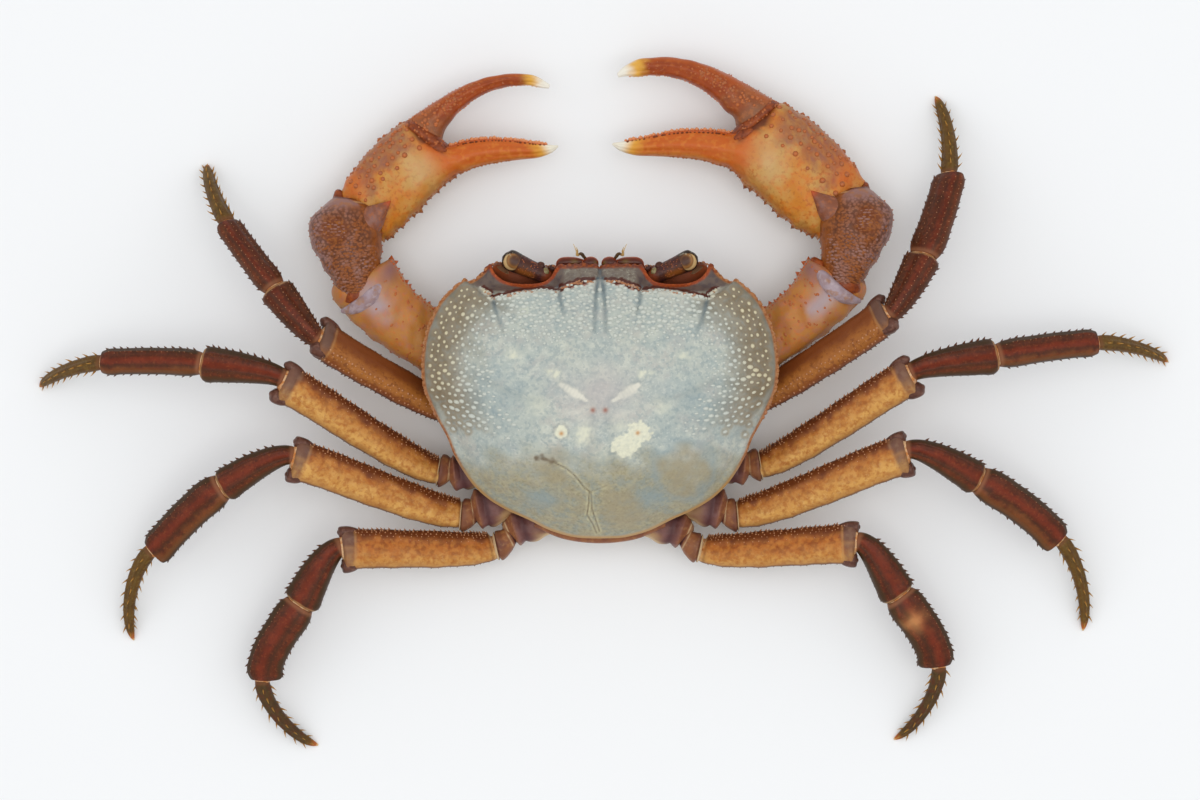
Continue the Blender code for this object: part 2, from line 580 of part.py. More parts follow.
def build_carapace(collection, materials):
    """Back shell with its teeth and crests, and both eye sockets cut from it."""
    shell = make_object("carapace", carapace_body(), collection, materials["carapace_shell"])
    tree = surface_tree(shell)
    draw = random.Random(MARGIN_SEED)

    def fill(group):
        for side in (-1, 1):
            add_carapace_forms(group, tree, side, draw)

    fuse(shell, fill)
    for side in (-1, 1):
        socket = prism(orbit_outline(side), ORBIT_FLOOR, ORBIT_TOP)
        cutter = make_object("socket_cutter", socket, collection)
        apply_boolean(shell, "DIFFERENCE", cutter)
        bpy.data.objects.remove(cutter, do_unlink=True)
    return shell


def thorax_body(grow=0.0):
    """The trunk under the shell, a stack of plan outlines."""
    outline = mirrored_outline(THORAX_OUTLINE)
    levels = list(THORAX_LEVELS)
    levels[0] = (levels[0][0] - grow, levels[0][1])
    levels[-1] = (levels[-1][0] + grow, levels[-1][1])
    rings = []
    for z, scale in levels:
        plan = grown([(p[0] * scale, p[1] * scale) for p in outline], (0.0, 0.0), grow)
        rings.append([Vector((x, y, z)) for x, y in plan])
    return loft(rings)


def build_trunk(collection, materials):
    """Thorax and the belly plate folded under it."""
    make_object("thorax", thorax_body(), collection, materials["thorax_shell"])
    rings = []
    stations = [Vector((y, z, w)) for y, z, w in ABDOMEN_STATIONS]
    for i, (y, z, width) in enumerate(stations):
        before = stations[max(i - 1, 0)]
        after = stations[min(i + 1, len(stations) - 1)]
        along = Vector((0.0, after.x - before.x, after.y - before.y)).normalized()
        across = Vector((1.0, 0.0, 0.0))
        up = across.cross(along)
        rings.append([Vector((0.0, y, z)) + across * (width * a) + up * (ABDOMEN_HALF_THICK * b)
                      for a, b in ((1, 0.35), (0.8, 1), (-0.8, 1), (-1, 0.35), (-1, -1), (1, -1))])
    plate = make_object("abdomen", loft(rings), collection, materials["thorax_shell"])
    flatten_feet(plate)


def round_loft(points, radii, sides=8):
    """A round tapering body along a few points."""
    rings = []
    for i, (point, radius) in enumerate(zip(points, radii)):
        before = points[max(i - 1, 0)]
        after = points[min(i + 1, len(points) - 1)]
        along = (after - before).normalized()
        across = along.cross(Vector((0.0, 0.0, 1.0))).normalized()
        up = across.cross(along)
        rings.append(section(point, across, radius, radius, up, radius, sides))
    return loft(rings)


def on_side(point, side):
    """A right-hand point taken to one side."""
    return Vector((point[0] * side, point[1], point[2]))


def build_head(side, label, collection, materials, shell_cutter):
    """Eye, feelers and outer mouth plate of one side."""
    base = on_side(EYE_BASE, side)
    tip = on_side(EYE_TIP, side)
    points = [base.lerp(tip, s) for s, _ in EYE_STATIONS]
    stalk = round_loft(points, [r for _, r in EYE_STATIONS], 10)
    eye = make_object("eye_" + label, stalk, collection, materials["eye_shell"])
    room = prism(orbit_outline(side, GAP), ORBIT_FLOOR + GAP, ORBIT_TOP)
    keeper = make_object("socket_room", room, collection)
    apply_boolean(eye, "INTERSECT", keeper)
    bpy.data.objects.remove(keeper, do_unlink=True)

    inner, outer = (rounded_box(on_side(low, side), on_side(high, side))
                    for low, high in FEELER_LOBES)
    feeler = make_object("antenna_" + label, inner, collection, materials["mouth_shell"])

    def fill(group):
        make_object("feeler_lobe", outer, group)
        path = [on_side(p, side) for p in FEELER_PATH]
        make_object("feeler_lash", round_loft(path, FEELER_RADII, CREST_SIDES), group)

    fuse(feeler, fill)
    apply_boolean(feeler, "DIFFERENCE", shell_cutter)

    rings = []
    for y, z, inner, outer in JAW_STATIONS:
        centre = on_side(((inner + outer) / 2.0, y, z), side)
        half = (outer - inner) / 2.0
        rings.append(section(centre, Vector((1.0, 0.0, 0.0)), half, half, JAW_UP, JAW_HALF_THICK,
                             JAW_SIDES, JAW_SQUARENESS))
    jaw = make_object("maxilliped_" + label, loft(rings), collection, materials["mouth_shell"])
    return eye, feeler, jaw


def rounded_box(low, high):
    """A box between two corners, with its edges taken off."""
    bm = bmesh.new()
    bmesh.ops.create_cube(bm, size=1.0)
    size = Vector([abs(high[i] - low[i]) for i in range(3)]) * MM
    centre = (low + high) / 2.0 * MM
    bmesh.ops.scale(bm, vec=size, verts=bm.verts)
    bmesh.ops.translate(bm, vec=centre, verts=bm.verts)
    bmesh.ops.bevel(bm, geom=list(bm.edges), offset=LOBE_BEVEL * MM, segments=1, affect="EDGES")
    bmesh.ops.triangulate(bm, faces=bm.faces)
    return bm


def remove_group(group):
    """Take away a collection and the objects in it."""
    for item in list(group.objects):
        bpy.data.objects.remove(item, do_unlink=True)
    bpy.data.collections.remove(group)


def direction(azimuth, pitch):
    """Unit vector from an azimuth and a pitch in degrees."""
    a = math.radians(azimuth)
    p = math.radians(pitch)
    return Vector((math.cos(a) * math.cos(p), math.sin(a) * math.cos(p), math.sin(p)))


def hermite(start, end, lead, trail, s):
    """Point and tangent of a cubic curve between two joints."""
    point = (start * (2 * s ** 3 - 3 * s ** 2 + 1) + lead * (s ** 3 - 2 * s ** 2 + s)
             + end * (-2 * s ** 3 + 3 * s ** 2) + trail * (s ** 3 - s ** 2))
    tangent = (start * (6 * s ** 2 - 6 * s) + lead * (3 * s ** 2 - 4 * s + 1)
               + end * (-6 * s ** 2 + 6 * s) + trail * (3 * s ** 2 - 2 * s))
    return point, tangent.normalized()


def profile_at(kind, s):
    """Dorsal and ventral half widths and thickness of a segment at a fraction of its length."""
    stations = LEG_PROFILES[kind]
    for near, far in zip(stations, stations[1:]):
        if s <= far[0]:
            share = (s - near[0]) / (far[0] - near[0])
            return [a + (b - a) * share for a, b in zip(near[1:], far[1:])]
    return list(stations[-1][1:])


class Limb:
    """One leg segment: a curve between two joints with a profile swept along it."""

    def __init__(self, kind, start, end, lead, trail, side, roll, width, thick, skew=0.0):
        self.kind = kind
        self.start = start
        self.end = end
        pull = (end - start).length * TANGENT[kind]
        self.lead = lead * pull
        self.trail = trail * pull
        self.side = side
        self.roll = roll
        self.width = width
        self.thick = thick
        self.skew = skew

    def frame_at(self, s):
        """Middle, direction, dorsal way and top way at a fraction of the length."""
        point, along = hermite(self.start, self.end, self.lead, self.trail, s)
        across = (Vector((0.0, 0.0, 1.0)).cross(along) * self.side).normalized()
        up = across.cross(along) * -self.side
        turn = Matrix.Rotation(-math.radians(self.roll) * self.side, 3, along)
        return point, along, turn @ across, turn @ up

    def halves_at(self, s):
        """Dorsal and ventral half widths and half thickness at a fraction of the length."""
        front, back, depth = profile_at(self.kind, s)
        shift = self.skew * s ** 4
        return (front + shift) * self.width, (back - shift) * self.width, depth * self.thick / 2.0

    def body(self, grow=0.0):
        """The closed body, optionally grown sideways for use as a cutter."""
        rings = []
        for station in LEG_PROFILES[self.kind]:
            point, _, across, up = self.frame_at(station[0])
            front, back, half = self.halves_at(station[0])
            rings.append(section(point, across, front + grow, back + grow, up, half + grow,
                                 LEG_SIDES[self.kind], SHELL_SQUARENESS, CREST_SHARPNESS))
        return loft(rings)

    def add_row(self, group, row, draw):
        """A row of teeth or spines along one side."""
        turn = math.radians(row.angle)
        for k in range(row.count):
            s = row.first + (row.last - row.first) * k / max(row.count - 1, 1)
            point, along, across, up = self.frame_at(s)
            front, back, half = self.halves_at(s)
            wide = front if math.cos(turn) > 0.0 else back
            out = across * (wide * math.cos(turn)) + up * (half * math.sin(turn))
            if (point + out).z < SPINE_LOWEST:
                continue
            lean = math.radians(row.lean)
            way = out.normalized() * math.cos(lean) + along * math.sin(lean)
            add_cone(group, point + out, way, row.radius, sized(draw, row.height))

    def add_knee_lobes(self, group, reach):
        """The two knuckle lobes that flank the next segment's root."""
        point, along, across, _ = self.frame_at(1.0)
        for share in KNEE_LOBES:
            middle = point + across * ((share + self.skew) * self.width)
            steps = (-KNEE_LOBE_ROOT, -KNEE_LOBE_ROOT / 3.0, reach / 2.0, reach)
            path = [middle + along * step for step in steps]
            make_object("knee_lobe", round_loft(path, KNEE_LOBE_RADII, LOBE_SIDES), group)


def segment_frame(start, end):
    """Frame at a segment's near joint with X along the segment."""
    along = (end - start).normalized()
    across = Vector((0.0, 0.0, 1.0)).cross(along).normalized()
    up = along.cross(across)
    frame = Matrix((along, across, up)).transposed().to_4x4()
    frame.translation = start
    return frame


def leaned(before, after, share):
    """The direction square to a joint's face."""
    return before.lerp(after, share).normalized()


def build_leg(leg, collection, materials, cutters):
    """One walking leg: base, merus, carpus, propodus and dactylus."""
    kinds = ("merus", "carpus", "propodus", "dactylus")
    finishes = ("leg_ochre_shell", "leg_dark_shell", "leg_dark_shell", "toe_shell")
    segments = [getattr(leg, kind) for kind in kinds]
    heads = [direction(seg.azimuth, seg.pitch) for seg in segments]
    joints = [Vector(leg.hip)]
    for seg, head in zip(segments, heads):
        joints.append(joints[-1] + head * seg.length)
    joints[-1].z = TOE_HEIGHT
    heads[-1] = (joints[-1] - joints[-2]).normalized()
    root = Vector(leg.root)
    base_head = (joints[0] - root).normalized()
    faces = [leaned(base_head, heads[0], JOINT_LEAN["merus"]),
             leaned(heads[0], heads[1], JOINT_LEAN["carpus"]),
             leaned(heads[1], heads[2], JOINT_LEAN["propodus"]),
             leaned(heads[2], heads[3], leg.toe_lean)]
    faces.append(2.0 * heads[-1].dot(faces[-1]) * heads[-1] - faces[-1])
    skews = (leg.knee_skew, 0.0, leg.toe_skew, 0.0)
    draw = random.Random(leg.name)

    empty = make_empty("leg_" + leg.name, leg.hip, collection)
    base_end = joints[0] - faces[0] * (GAP / 2.0)
    limb = Limb("base", root, base_end, base_head, faces[0], leg.side, 0.0, BASE_WIDTH, BASE_THICK)
    base = make_object(f"leg_{leg.name}_base", limb.body(), collection,
                       materials["leg_ochre_shell"], segment_frame(root, base_end), empty)
    for cutter in cutters:
        apply_boolean(base, "DIFFERENCE", cutter)
    limbs = []
    for i, kind in enumerate(kinds):
        start = joints[i] + faces[i] * (GAP / 2.0)
        end = joints[i + 1]
        if kind != "dactylus":
            end = end - faces[i + 1] * (GAP / 2.0)
        limbs.append(Limb(kind, start, end, faces[i], faces[i + 1], leg.side, leg.roll,
                          segments[i].width, segments[i].thick, skews[i]))
    for limb, finish in zip(limbs, finishes):
        item = make_object(f"leg_{leg.name}_{limb.kind}", limb.body(), collection,
                           materials[finish], segment_frame(limb.start, limb.end), empty)
        fuse(item, lambda group: add_leg_forms(group, leg, limb, draw))
        if limb.kind == "merus":
            cut_knee(item, limbs[1])
        if limb.kind == "dactylus":
            flatten_feet(item)


def add_leg_forms(group, leg, limb, draw):
    """Teeth or spines of a segment, and the knee lobes of a merus."""
    for row in LEG_ROWS[limb.kind]:
        limb.add_row(group, row, draw)
    if limb.kind == "merus":
        limb.add_knee_lobes(group, leg.knee_reach)


def cut_knee(merus, carpus):
    """Cut the knee lobes clear of the root of the carpus between them."""
    kept = carpus.start
    carpus.start = kept - carpus.lead.normalized() * KNEE_CLEARANCE
    cutter = make_object("knee_cutter", carpus.body(GAP), merus.users_collection[0])
    carpus.start = kept
    apply_boolean(merus, "DIFFERENCE", cutter)
    bpy.data.objects.remove(cutter, do_unlink=True)


def rib_body(ribs, origin, side, sides, grow=0.0, turn=0.0):
    """A flat-lying body lofted over ribs, each an inner and an outer edge point."""
    spin = Matrix.Rotation(math.radians(turn), 3, "Z")
    rings = []
    for i, (edge_a, edge_b, height, half) in enumerate(ribs):
        middle = (Vector(edge_a) + Vector(edge_b)) / 2.0
        reach = (Vector(edge_a) - Vector(edge_b)) / 2.0
        reach = reach * (1.0 + grow / reach.length)
        if grow and i in (0, len(ribs) - 1):
            neighbour = ribs[1] if i == 0 else ribs[-2]
            inward = (Vector(neighbour[0]) + Vector(neighbour[1])) / 2.0
            middle += (middle - inward).normalized() * grow
        centre = spin @ Vector((middle.x, middle.y, height))
        across = spin @ Vector((reach.x, reach.y, 0.0))
        centre.x *= side
        across.x *= side
        width = across.length
        rings.append(section(Vector(origin) + centre, across.normalized(), width, width,
                             Vector((0.0, 0.0, 1.0)), half + grow, sides, SHELL_SQUARENESS))
    return loft(rings)


def rib_spot(ribs, origin, side, turn, place):
    """World point of a plan place that is given in a rib body's own coordinates."""
    spin = Matrix.Rotation(math.radians(turn), 3, "Z")
    point = spin @ place
    point.x *= side
    return Vector(origin) + point


def add_edge_rows(group, rows, ribs, origin, side, draw, turn=0.0):
    """Rows of teeth along the edges of a rib body, each pointing out of the edge."""
    for row in rows:
        stretch = ribs[row.first:row.last + 1]
        edge = [Vector((*rib[row.edge], rib[2])) for rib in stretch]
        inside = [Vector((*rib[1 - row.edge], rib[2])) for rib in stretch]
        if len(edge) == 1:
            pairs = [(edge[0], inside[0])]
        else:
            pairs = zip(spaced(edge, row.count), spaced(inside, row.count))
        for near, far in pairs:
            place = rib_spot(ribs, origin, side, turn, near)
            out = place - rib_spot(ribs, origin, side, turn, far)
            add_cone(group, place, out.normalized(), row.radius, sized(draw, row.height))


def hand_ribs(ribs, length):
    """Hand or finger ribs, mirrored so that the hand runs back towards the midline."""
    return [((-a[0] * length, a[1] * length), (-b[0] * length, b[1] * length), 0.0, t * length)
            for a, b, t in ribs]


def palm_ribs(claw):
    """Palm and fixed finger, with the finger joint moved as this hand has it."""
    ribs = list(HAND_RIBS)
    for i in KNUCKLE_RIBS:
        outer, inner, thick = ribs[i]
        ribs[i] = ((outer[0] + claw.knuckle, outer[1]), inner, thick)
    for i in STOUT_PALM_RIBS:
        outer, inner, thick = ribs[i]
        ribs[i] = (outer, (inner[0], inner[1] - claw.stout), thick)
    return hand_ribs(ribs, claw.hand_length)


def finger_ribs(claw):
    """Movable finger ribs, its root face set off from the palm by the gap."""
    last = len(FINGER_RIBS) - 1
    ribs = []
    for i, (outer, inner, thick) in enumerate(FINGER_RIBS):
        shift = claw.knuckle * (1.0 - i / last)
        drop = claw.stout if 1 < i < last - 1 else 0.0
        ribs.append(((outer[0] + shift, outer[1]), (inner[0] + shift, inner[1] - drop), thick))
    root = ribs[0]
    line = Vector((root[1][0] - root[0][0], root[1][1] - root[0][1])).normalized()
    away = Vector((-line.y, line.x)) * (GAP / claw.hand_length)
    ribs[0] = tuple((edge[0] + away.x, edge[1] + away.y) for edge in root[:2]) + (root[2],)
    return hand_ribs(ribs, claw.hand_length)


def arm_ribs(claw):
    """Arm ribs, with the outer edge of the middle ones moved out on a wider arm."""
    ribs = []
    last = len(ARM_RIBS) - 1
    for i, (inner, outer, height, half) in enumerate(ARM_RIBS):
        out = (Vector(outer) - Vector(inner)).normalized()
        spread = out * (claw.arm_spread * math.sin(math.pi * i / last))
        ribs.append((inner, (outer[0] + spread.x, outer[1] + spread.y), height, half))
    return ribs


def add_warts(group, palm, ribs, claw, turn, draw):
    """Blunt warts on the upper face of the palm."""
    tree = surface_tree(palm)
    root, end = ribs[1], ribs[KNUCKLE_RIBS[0]]
    for along, across in PALM_WARTS:
        outer = Vector((*root[0], 0.0)).lerp(Vector((*end[0], 0.0)), along)
        inner = Vector((*root[1], 0.0)).lerp(Vector((*end[1], 0.0)), along)
        spot = rib_spot(ribs, claw.wrist, claw.side, turn, outer.lerp(inner, across))
        place, normal = top_spot(tree, spot.x, spot.y)
        add_cone(group, place, normal, WART_RADIUS, sized(draw, WART_HEIGHT))


def build_hand(claw, place, draw):
    """Palm with its fixed finger, and the movable finger, with their teeth and warts."""
    turn = -claw.hand_angle
    ribs = palm_ribs(claw)
    palm = place("propodus", rib_body(ribs, claw.wrist, claw.side, HAND_SIDES, turn=turn),
                 "claw_orange_shell", claw.wrist)

    def fill_palm(group):
        add_edge_rows(group, PALM_ROWS, ribs, claw.wrist, claw.side, draw, turn)
        add_warts(group, palm, ribs, claw, turn, draw)

    fuse(palm, fill_palm)
    tips = finger_ribs(claw)
    finger = place("dactylus", rib_body(tips, claw.wrist, claw.side, HAND_SIDES - 2, turn=turn),
                   "claw_finger_shell", claw.wrist)
    fuse(finger, lambda group: add_edge_rows(group, FINGER_ROWS, tips, claw.wrist, claw.side,
                                             draw, turn))
    return ribs


def build_cheliped(claw, collection, materials, cutters):
    """One claw arm: base, merus, carpus, palm with its fixed finger, and movable finger."""
    name = "cheliped_" + claw.name
    empty = make_empty(name, claw.hip, collection)
    side = claw.side
    root, hip, elbow = (Vector(p) for p in (claw.root, claw.hip, claw.elbow))
    draw = random.Random(name)

    def place(part, body, finish, origin):
        return make_object(f"{name}_{part}", body, collection, materials[finish],
                           Matrix.Translation(origin), empty)

    def cut(item, body):
        cutter = make_object("claw_cutter", body, collection)
        apply_boolean(item, "DIFFERENCE", cutter)
        bpy.data.objects.remove(cutter, do_unlink=True)

    palm = build_hand(claw, place, draw)
    carpus = place("carpus", rib_body(CARPUS_RIBS, elbow, side, HAND_SIDES),
                   "claw_orange_shell", elbow)

    def fill_carpus(group):
        spine = [elbow + on_side(p, side) for p in (CARPUS_SPINE_ROOT, CARPUS_SPINE_TIP)]
        make_object("carpus_spine", round_loft(spine, CARPUS_SPINE_RADII, LOBE_SIDES), group)
        add_edge_rows(group, CARPUS_ROWS, CARPUS_RIBS, elbow, side, draw)

    fuse(carpus, fill_carpus)
    cut(carpus, rib_body(palm, claw.wrist, side, HAND_SIDES, GAP, -claw.hand_angle))

    ribs = arm_ribs(claw)
    arm = place("merus", rib_body(ribs, hip, side, HAND_SIDES), "claw_orange_shell", hip)
    fuse(arm, lambda group: add_edge_rows(group, ARM_ROWS, ribs, hip, side, draw))
    cut(arm, rib_body(CARPUS_RIBS, elbow, side, HAND_SIDES, GAP))

    inner, outer, height, _ = ARM_RIBS[0]
    face = (Vector(inner) + Vector(outer)) / 2.0
    outward = Vector((side, 0.0, 0.0))
    base_end = hip + on_side((face.x, face.y, height), side) - outward * GAP
    limb = Limb("base", root, base_end, outward, outward, side, 0.0, BASE_WIDTH, BASE_THICK)
    base = place("base", limb.body(), "claw_orange_shell", root)
    for cutter in cutters:
        apply_boolean(base, "DIFFERENCE", cutter)


def main():
    """Build the crab."""
    remove_everything()
    crab = bpy.data.collections.new("indochinamon_malipoense")
    tools = bpy.data.collections.new("cutters")
    for collection in (crab, tools):
        bpy.context.scene.collection.children.link(collection)
    materials = make_materials()
    shell_cutter = make_object("shell_cutter", carapace_body(GAP), tools)
    thorax_cutter = make_object("thorax_cutter", thorax_body(GAP), tools)

    build_carapace(crab, materials)
    build_trunk(crab, materials)
    for side, label in ((-1, "left"), (1, "right")):
        build_head(side, label, crab, materials, shell_cutter)
    for claw in CHELIPEDS:
        build_cheliped(claw, crab, materials, (thorax_cutter, shell_cutter))
    for leg in LEGS:
        build_leg(leg, crab, materials, (thorax_cutter, shell_cutter))
    remove_group(tools)


main()
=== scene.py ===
"""Looks of a freshwater crab, Indochinamon malipoense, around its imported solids.

The crab rests on its belly and toe tips and is seen from straight above. +Z is up, +Y is its front
and +X its own right-hand side. Sizes are in millimetres until a mesh is made. Every body part of
the solids is replaced by a finely modelled piece in the same place, and granules, spines, joint
skins, feelers and hairs ride with them.
"""

import logging
import math
from dataclasses import dataclass, field
from enum import Enum

import bmesh
import bpy
import numpy as np
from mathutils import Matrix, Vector
from mathutils.kdtree import KDTree


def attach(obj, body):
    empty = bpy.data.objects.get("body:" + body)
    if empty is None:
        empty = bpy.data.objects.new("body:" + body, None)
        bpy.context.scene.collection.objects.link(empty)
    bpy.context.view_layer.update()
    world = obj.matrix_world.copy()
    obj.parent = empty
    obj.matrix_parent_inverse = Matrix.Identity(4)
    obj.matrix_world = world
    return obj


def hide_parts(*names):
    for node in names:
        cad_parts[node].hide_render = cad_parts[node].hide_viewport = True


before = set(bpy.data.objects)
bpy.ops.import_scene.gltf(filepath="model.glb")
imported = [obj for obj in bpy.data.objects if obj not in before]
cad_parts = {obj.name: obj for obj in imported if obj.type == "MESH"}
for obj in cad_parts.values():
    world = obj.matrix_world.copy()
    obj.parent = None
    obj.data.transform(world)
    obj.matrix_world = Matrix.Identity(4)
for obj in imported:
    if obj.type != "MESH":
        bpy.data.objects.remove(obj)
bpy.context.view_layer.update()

MM = 0.001
LOG = logging.getLogger("crab")
UP = np.array((0.0, 0.0, 1.0))
# Power of a section's rounded square, as in the solids
SQUARENESS = 2.3
# Clear space at each joint, as in the solids
GAP = 0.3
# How near to 0 or 1 a share counts as an end of a sleeve, and a radial share as its skin
END = 1e-4
SKIN = 0.999
Array = np.ndarray


class Side(Enum):
    """The crab's two sides, as the sign of X."""

    LEFT = -1
    RIGHT = 1

    @property
    def label(self) -> str:
        """Name used in the nodes."""
        return self.name.lower()


class Pattern(Enum):
    """Kinds of fine relief: an even grain, or round cells with valleys between."""

    GRAIN = "ShaderNodeTexNoise"
    CELLS = "ShaderNodeTexVoronoi"


# Colour and number helpers

def linear(code: str) -> tuple[float, float, float, float]:
    """Turn a six-digit sRGB code into a linear colour.

    Args:
        code: The colour as six hexadecimal digits.

    Returns:
        Linear red, green, blue and full alpha.
    """
    channels = [int(code[i:i + 2], 16) / 255.0 for i in (0, 2, 4)]
    return (*[c / 12.92 if c <= 0.04045 else ((c + 0.055) / 1.055) ** 2.4 for c in channels], 1.0)


def smooth(low: float, high: float, value: Array) -> Array:
    """Smooth step from 0 at low to 1 at high."""
    t = np.clip((value - low) / (high - low), 0.0, 1.0)
    return t * t * (3.0 - 2.0 * t)


def bell(value: Array, width: float) -> Array:
    """Bell curve of height 1 and the given half width."""
    return np.exp(-((value / width) ** 2))


def power(value: Array, exponent: float) -> Array:
    """Signed power, for the rounded-square sections."""
    return np.sign(value) * np.abs(value) ** exponent


def unit(vectors: Array) -> Array:
    """Vectors brought to length 1."""
    return vectors / np.maximum(np.linalg.norm(vectors, axis=-1, keepdims=True), 1e-12)


def spline(stations: Array, values: Array, places: Array) -> Array:
    """Smooth curve through values at uneven stations.

    Args:
        stations: Rising positions of the values.
        values: One row for each station.
        places: Where the curve is read.

    Returns:
        One row for each place.
    """
    s = np.asarray(stations, float)
    v = np.asarray(values, float).reshape(len(s), -1)
    p = np.clip(np.asarray(places, float), s[0], s[-1])
    h = np.diff(s)[:, None]
    rise = np.diff(v, axis=0) / h
    slope = np.concatenate([rise[:1], (rise[:-1] * h[1:] + rise[1:] * h[:-1]) / (h[1:] + h[:-1]),
                            rise[-1:]])
    i = np.clip(np.searchsorted(s, p, side="right") - 1, 0, len(h) - 1)
    t = ((p - s[i]) / h[i, 0])[:, None]
    a, b = v[i], v[i + 1]
    return (a * (2 * t ** 3 - 3 * t ** 2 + 1) + slope[i] * h[i] * (t ** 3 - 2 * t ** 2 + t)
            + b * (3 * t ** 2 - 2 * t ** 3) + slope[i + 1] * h[i] * (t ** 3 - t ** 2))


def along_path(points: Array, count: int, closed: bool = False) -> Array:
    """Evenly spaced points of a smooth curve through a few points.

    Args:
        points: The points that the curve passes.
        count: How many points to return.
        closed: Whether the curve runs back to its start.

    Returns:
        The spaced points, without the repeated start on a closed curve.
    """
    p = np.asarray(points, float)
    if closed:
        p = np.concatenate([p[-3:], p, p[:3]])
    steps = np.concatenate([[0.0], np.cumsum(np.sqrt(np.linalg.norm(np.diff(p, axis=0), axis=1)))])
    first, last = (steps[3], steps[-3]) if closed else (steps[0], steps[-1])
    fine = spline(steps, p, np.linspace(first, last, count * 8 + 1))
    length = np.concatenate([[0.0], np.cumsum(np.linalg.norm(np.diff(fine, axis=0), axis=1))])
    goals = np.linspace(0.0, length[-1], count + 1 if closed else count)
    out = np.stack([np.interp(goals, length, fine[:, k]) for k in range(p.shape[1])], axis=1)
    return out[:-1] if closed else out


def to_path(x: Array, y: Array, path: tuple) -> tuple[Array, Array, Array]:
    """Distance of plan points from a line of a few points.

    Args:
        x: Plan positions to the right.
        y: Plan positions to the front.
        path: The line's (x, y) points.

    Returns:
        Distance, distance signed positive on the line's left, and share of the way along it.
    """
    best = np.full(x.shape, 1e9)
    signed = np.zeros(x.shape)
    share = np.zeros(x.shape)
    ends = len(path) - 1
    for i, (a, b) in enumerate(zip(path, path[1:])):
        dx, dy = b[0] - a[0], b[1] - a[1]
        t = np.clip(((x - a[0]) * dx + (y - a[1]) * dy) / (dx * dx + dy * dy), 0.0, 1.0)
        ox, oy = x - a[0] - dx * t, y - a[1] - dy * t
        distance = np.hypot(ox, oy)
        near = distance < best
        best = np.where(near, distance, best)
        signed = np.where(near, distance * np.sign(dx * oy - dy * ox), signed)
        share = np.where(near, (i + t) / ends, share)
    return best, signed, share


def ripple(x: Array, y: Array, size: float, seed: int, z: Array | float = 0.0) -> Array:
    """Soft irregular waves between about -1 and 1.

    Args:
        x: First coordinate, in millimetres.
        y: Second coordinate.
        size: Length of the waves.
        seed: Seed of their directions and phases.
        z: Third coordinate.

    Returns:
        The height of the waves at each point.
    """
    draw = np.random.default_rng(seed)
    total = np.zeros(np.shape(x))
    for _ in range(7):
        way = unit(draw.normal(size=3)) * draw.uniform(0.6, 1.6) * 2.0 * math.pi / size
        total = total + np.sin(way[0] * x + way[1] * y + way[2] * z + draw.uniform(0.0, 6.3))
    return total / 3.0


# Making pieces

def deselect() -> None:
    """Leave no object selected, so that an operator acts on the new piece alone."""
    bpy.ops.object.select_all(action="DESELECT")


def finish_piece(piece: bpy.types.Object, name: str, co: Array | None = None) -> bpy.types.Object:
    """Name a piece, set its points in millimetres and shade it smooth.

    Args:
        piece: The object as the operators left it.
        name: Name of the piece.
        co: New points in millimetres, or None to keep them.

    Returns:
        The same object.
    """
    piece.name = name
    piece.data.name = name
    if co is not None:
        piece.data.vertices.foreach_set("co", (np.asarray(co) * MM).ravel())
    piece.data.update()
    for face in piece.data.polygons:
        face.use_smooth = True
    return piece


def points_of(piece: bpy.types.Object) -> Array:
    """Points of a mesh as rows.

    Args:
        piece: An object with a mesh.

    Returns:
        One row for each point, in metres.
    """
    co = np.empty(len(piece.data.vertices) * 3)
    piece.data.vertices.foreach_get("co", co)
    return co.reshape(-1, 3)


def give_mask(piece: bpy.types.Object, **masks: Array) -> None:
    """Store shares between 0 and 1 on the points, for the materials to read.

    Args:
        piece: The piece that carries them.
        masks: Shares by the mask's name.
    """
    for name, values in masks.items():
        attribute = piece.data.attributes.new(name, "FLOAT", "POINT")
        attribute.data.foreach_set("value", np.ascontiguousarray(np.clip(values, 0.0, 1.0), np.float32))


def mesh_piece(name: str, points: Array, faces: list) -> bpy.types.Object:
    """A smooth piece from points in millimetres and their faces.

    Args:
        name: Name of the piece.
        points: Its points in millimetres.
        faces: Point numbers of each face.

    Returns:
        The new object.
    """
    mesh = bpy.data.meshes.new(name)
    mesh.from_pydata((np.asarray(points) * MM).tolist(), [], faces)
    piece = bpy.data.objects.new(name, mesh)
    bpy.context.scene.collection.objects.link(piece)
    return finish_piece(piece, name)


def face_out(piece: bpy.types.Object) -> None:
    """Turn every face of a closed piece outwards.

    Args:
        piece: A closed piece.
    """
    deselect()
    bpy.context.view_layer.objects.active = piece
    piece.select_set(True)
    bpy.ops.object.mode_set(mode="EDIT")
    bpy.ops.mesh.select_all(action="SELECT")
    bpy.ops.mesh.normals_make_consistent(inside=False)
    bpy.ops.object.mode_set(mode="OBJECT")


def dress(piece: bpy.types.Object, finish: "Shell", slot: str, *nodes: str) -> bpy.types.Object:
    """Give a piece its material, its place in the frame and the nodes it stands for.

    Args:
        piece: The finished piece.
        finish: Its finish.
        slot: The record's material slot; not used.
        nodes: Names of the solids that it replaces.

    Returns:
        The same object.
    """
    piece.data.materials.clear()
    piece.data.materials.append(finish.material())
    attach(piece, "root")
    if nodes:
        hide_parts(*nodes)
    LOG.info("%s: %d faces", piece.name, len(piece.data.polygons))
    return piece


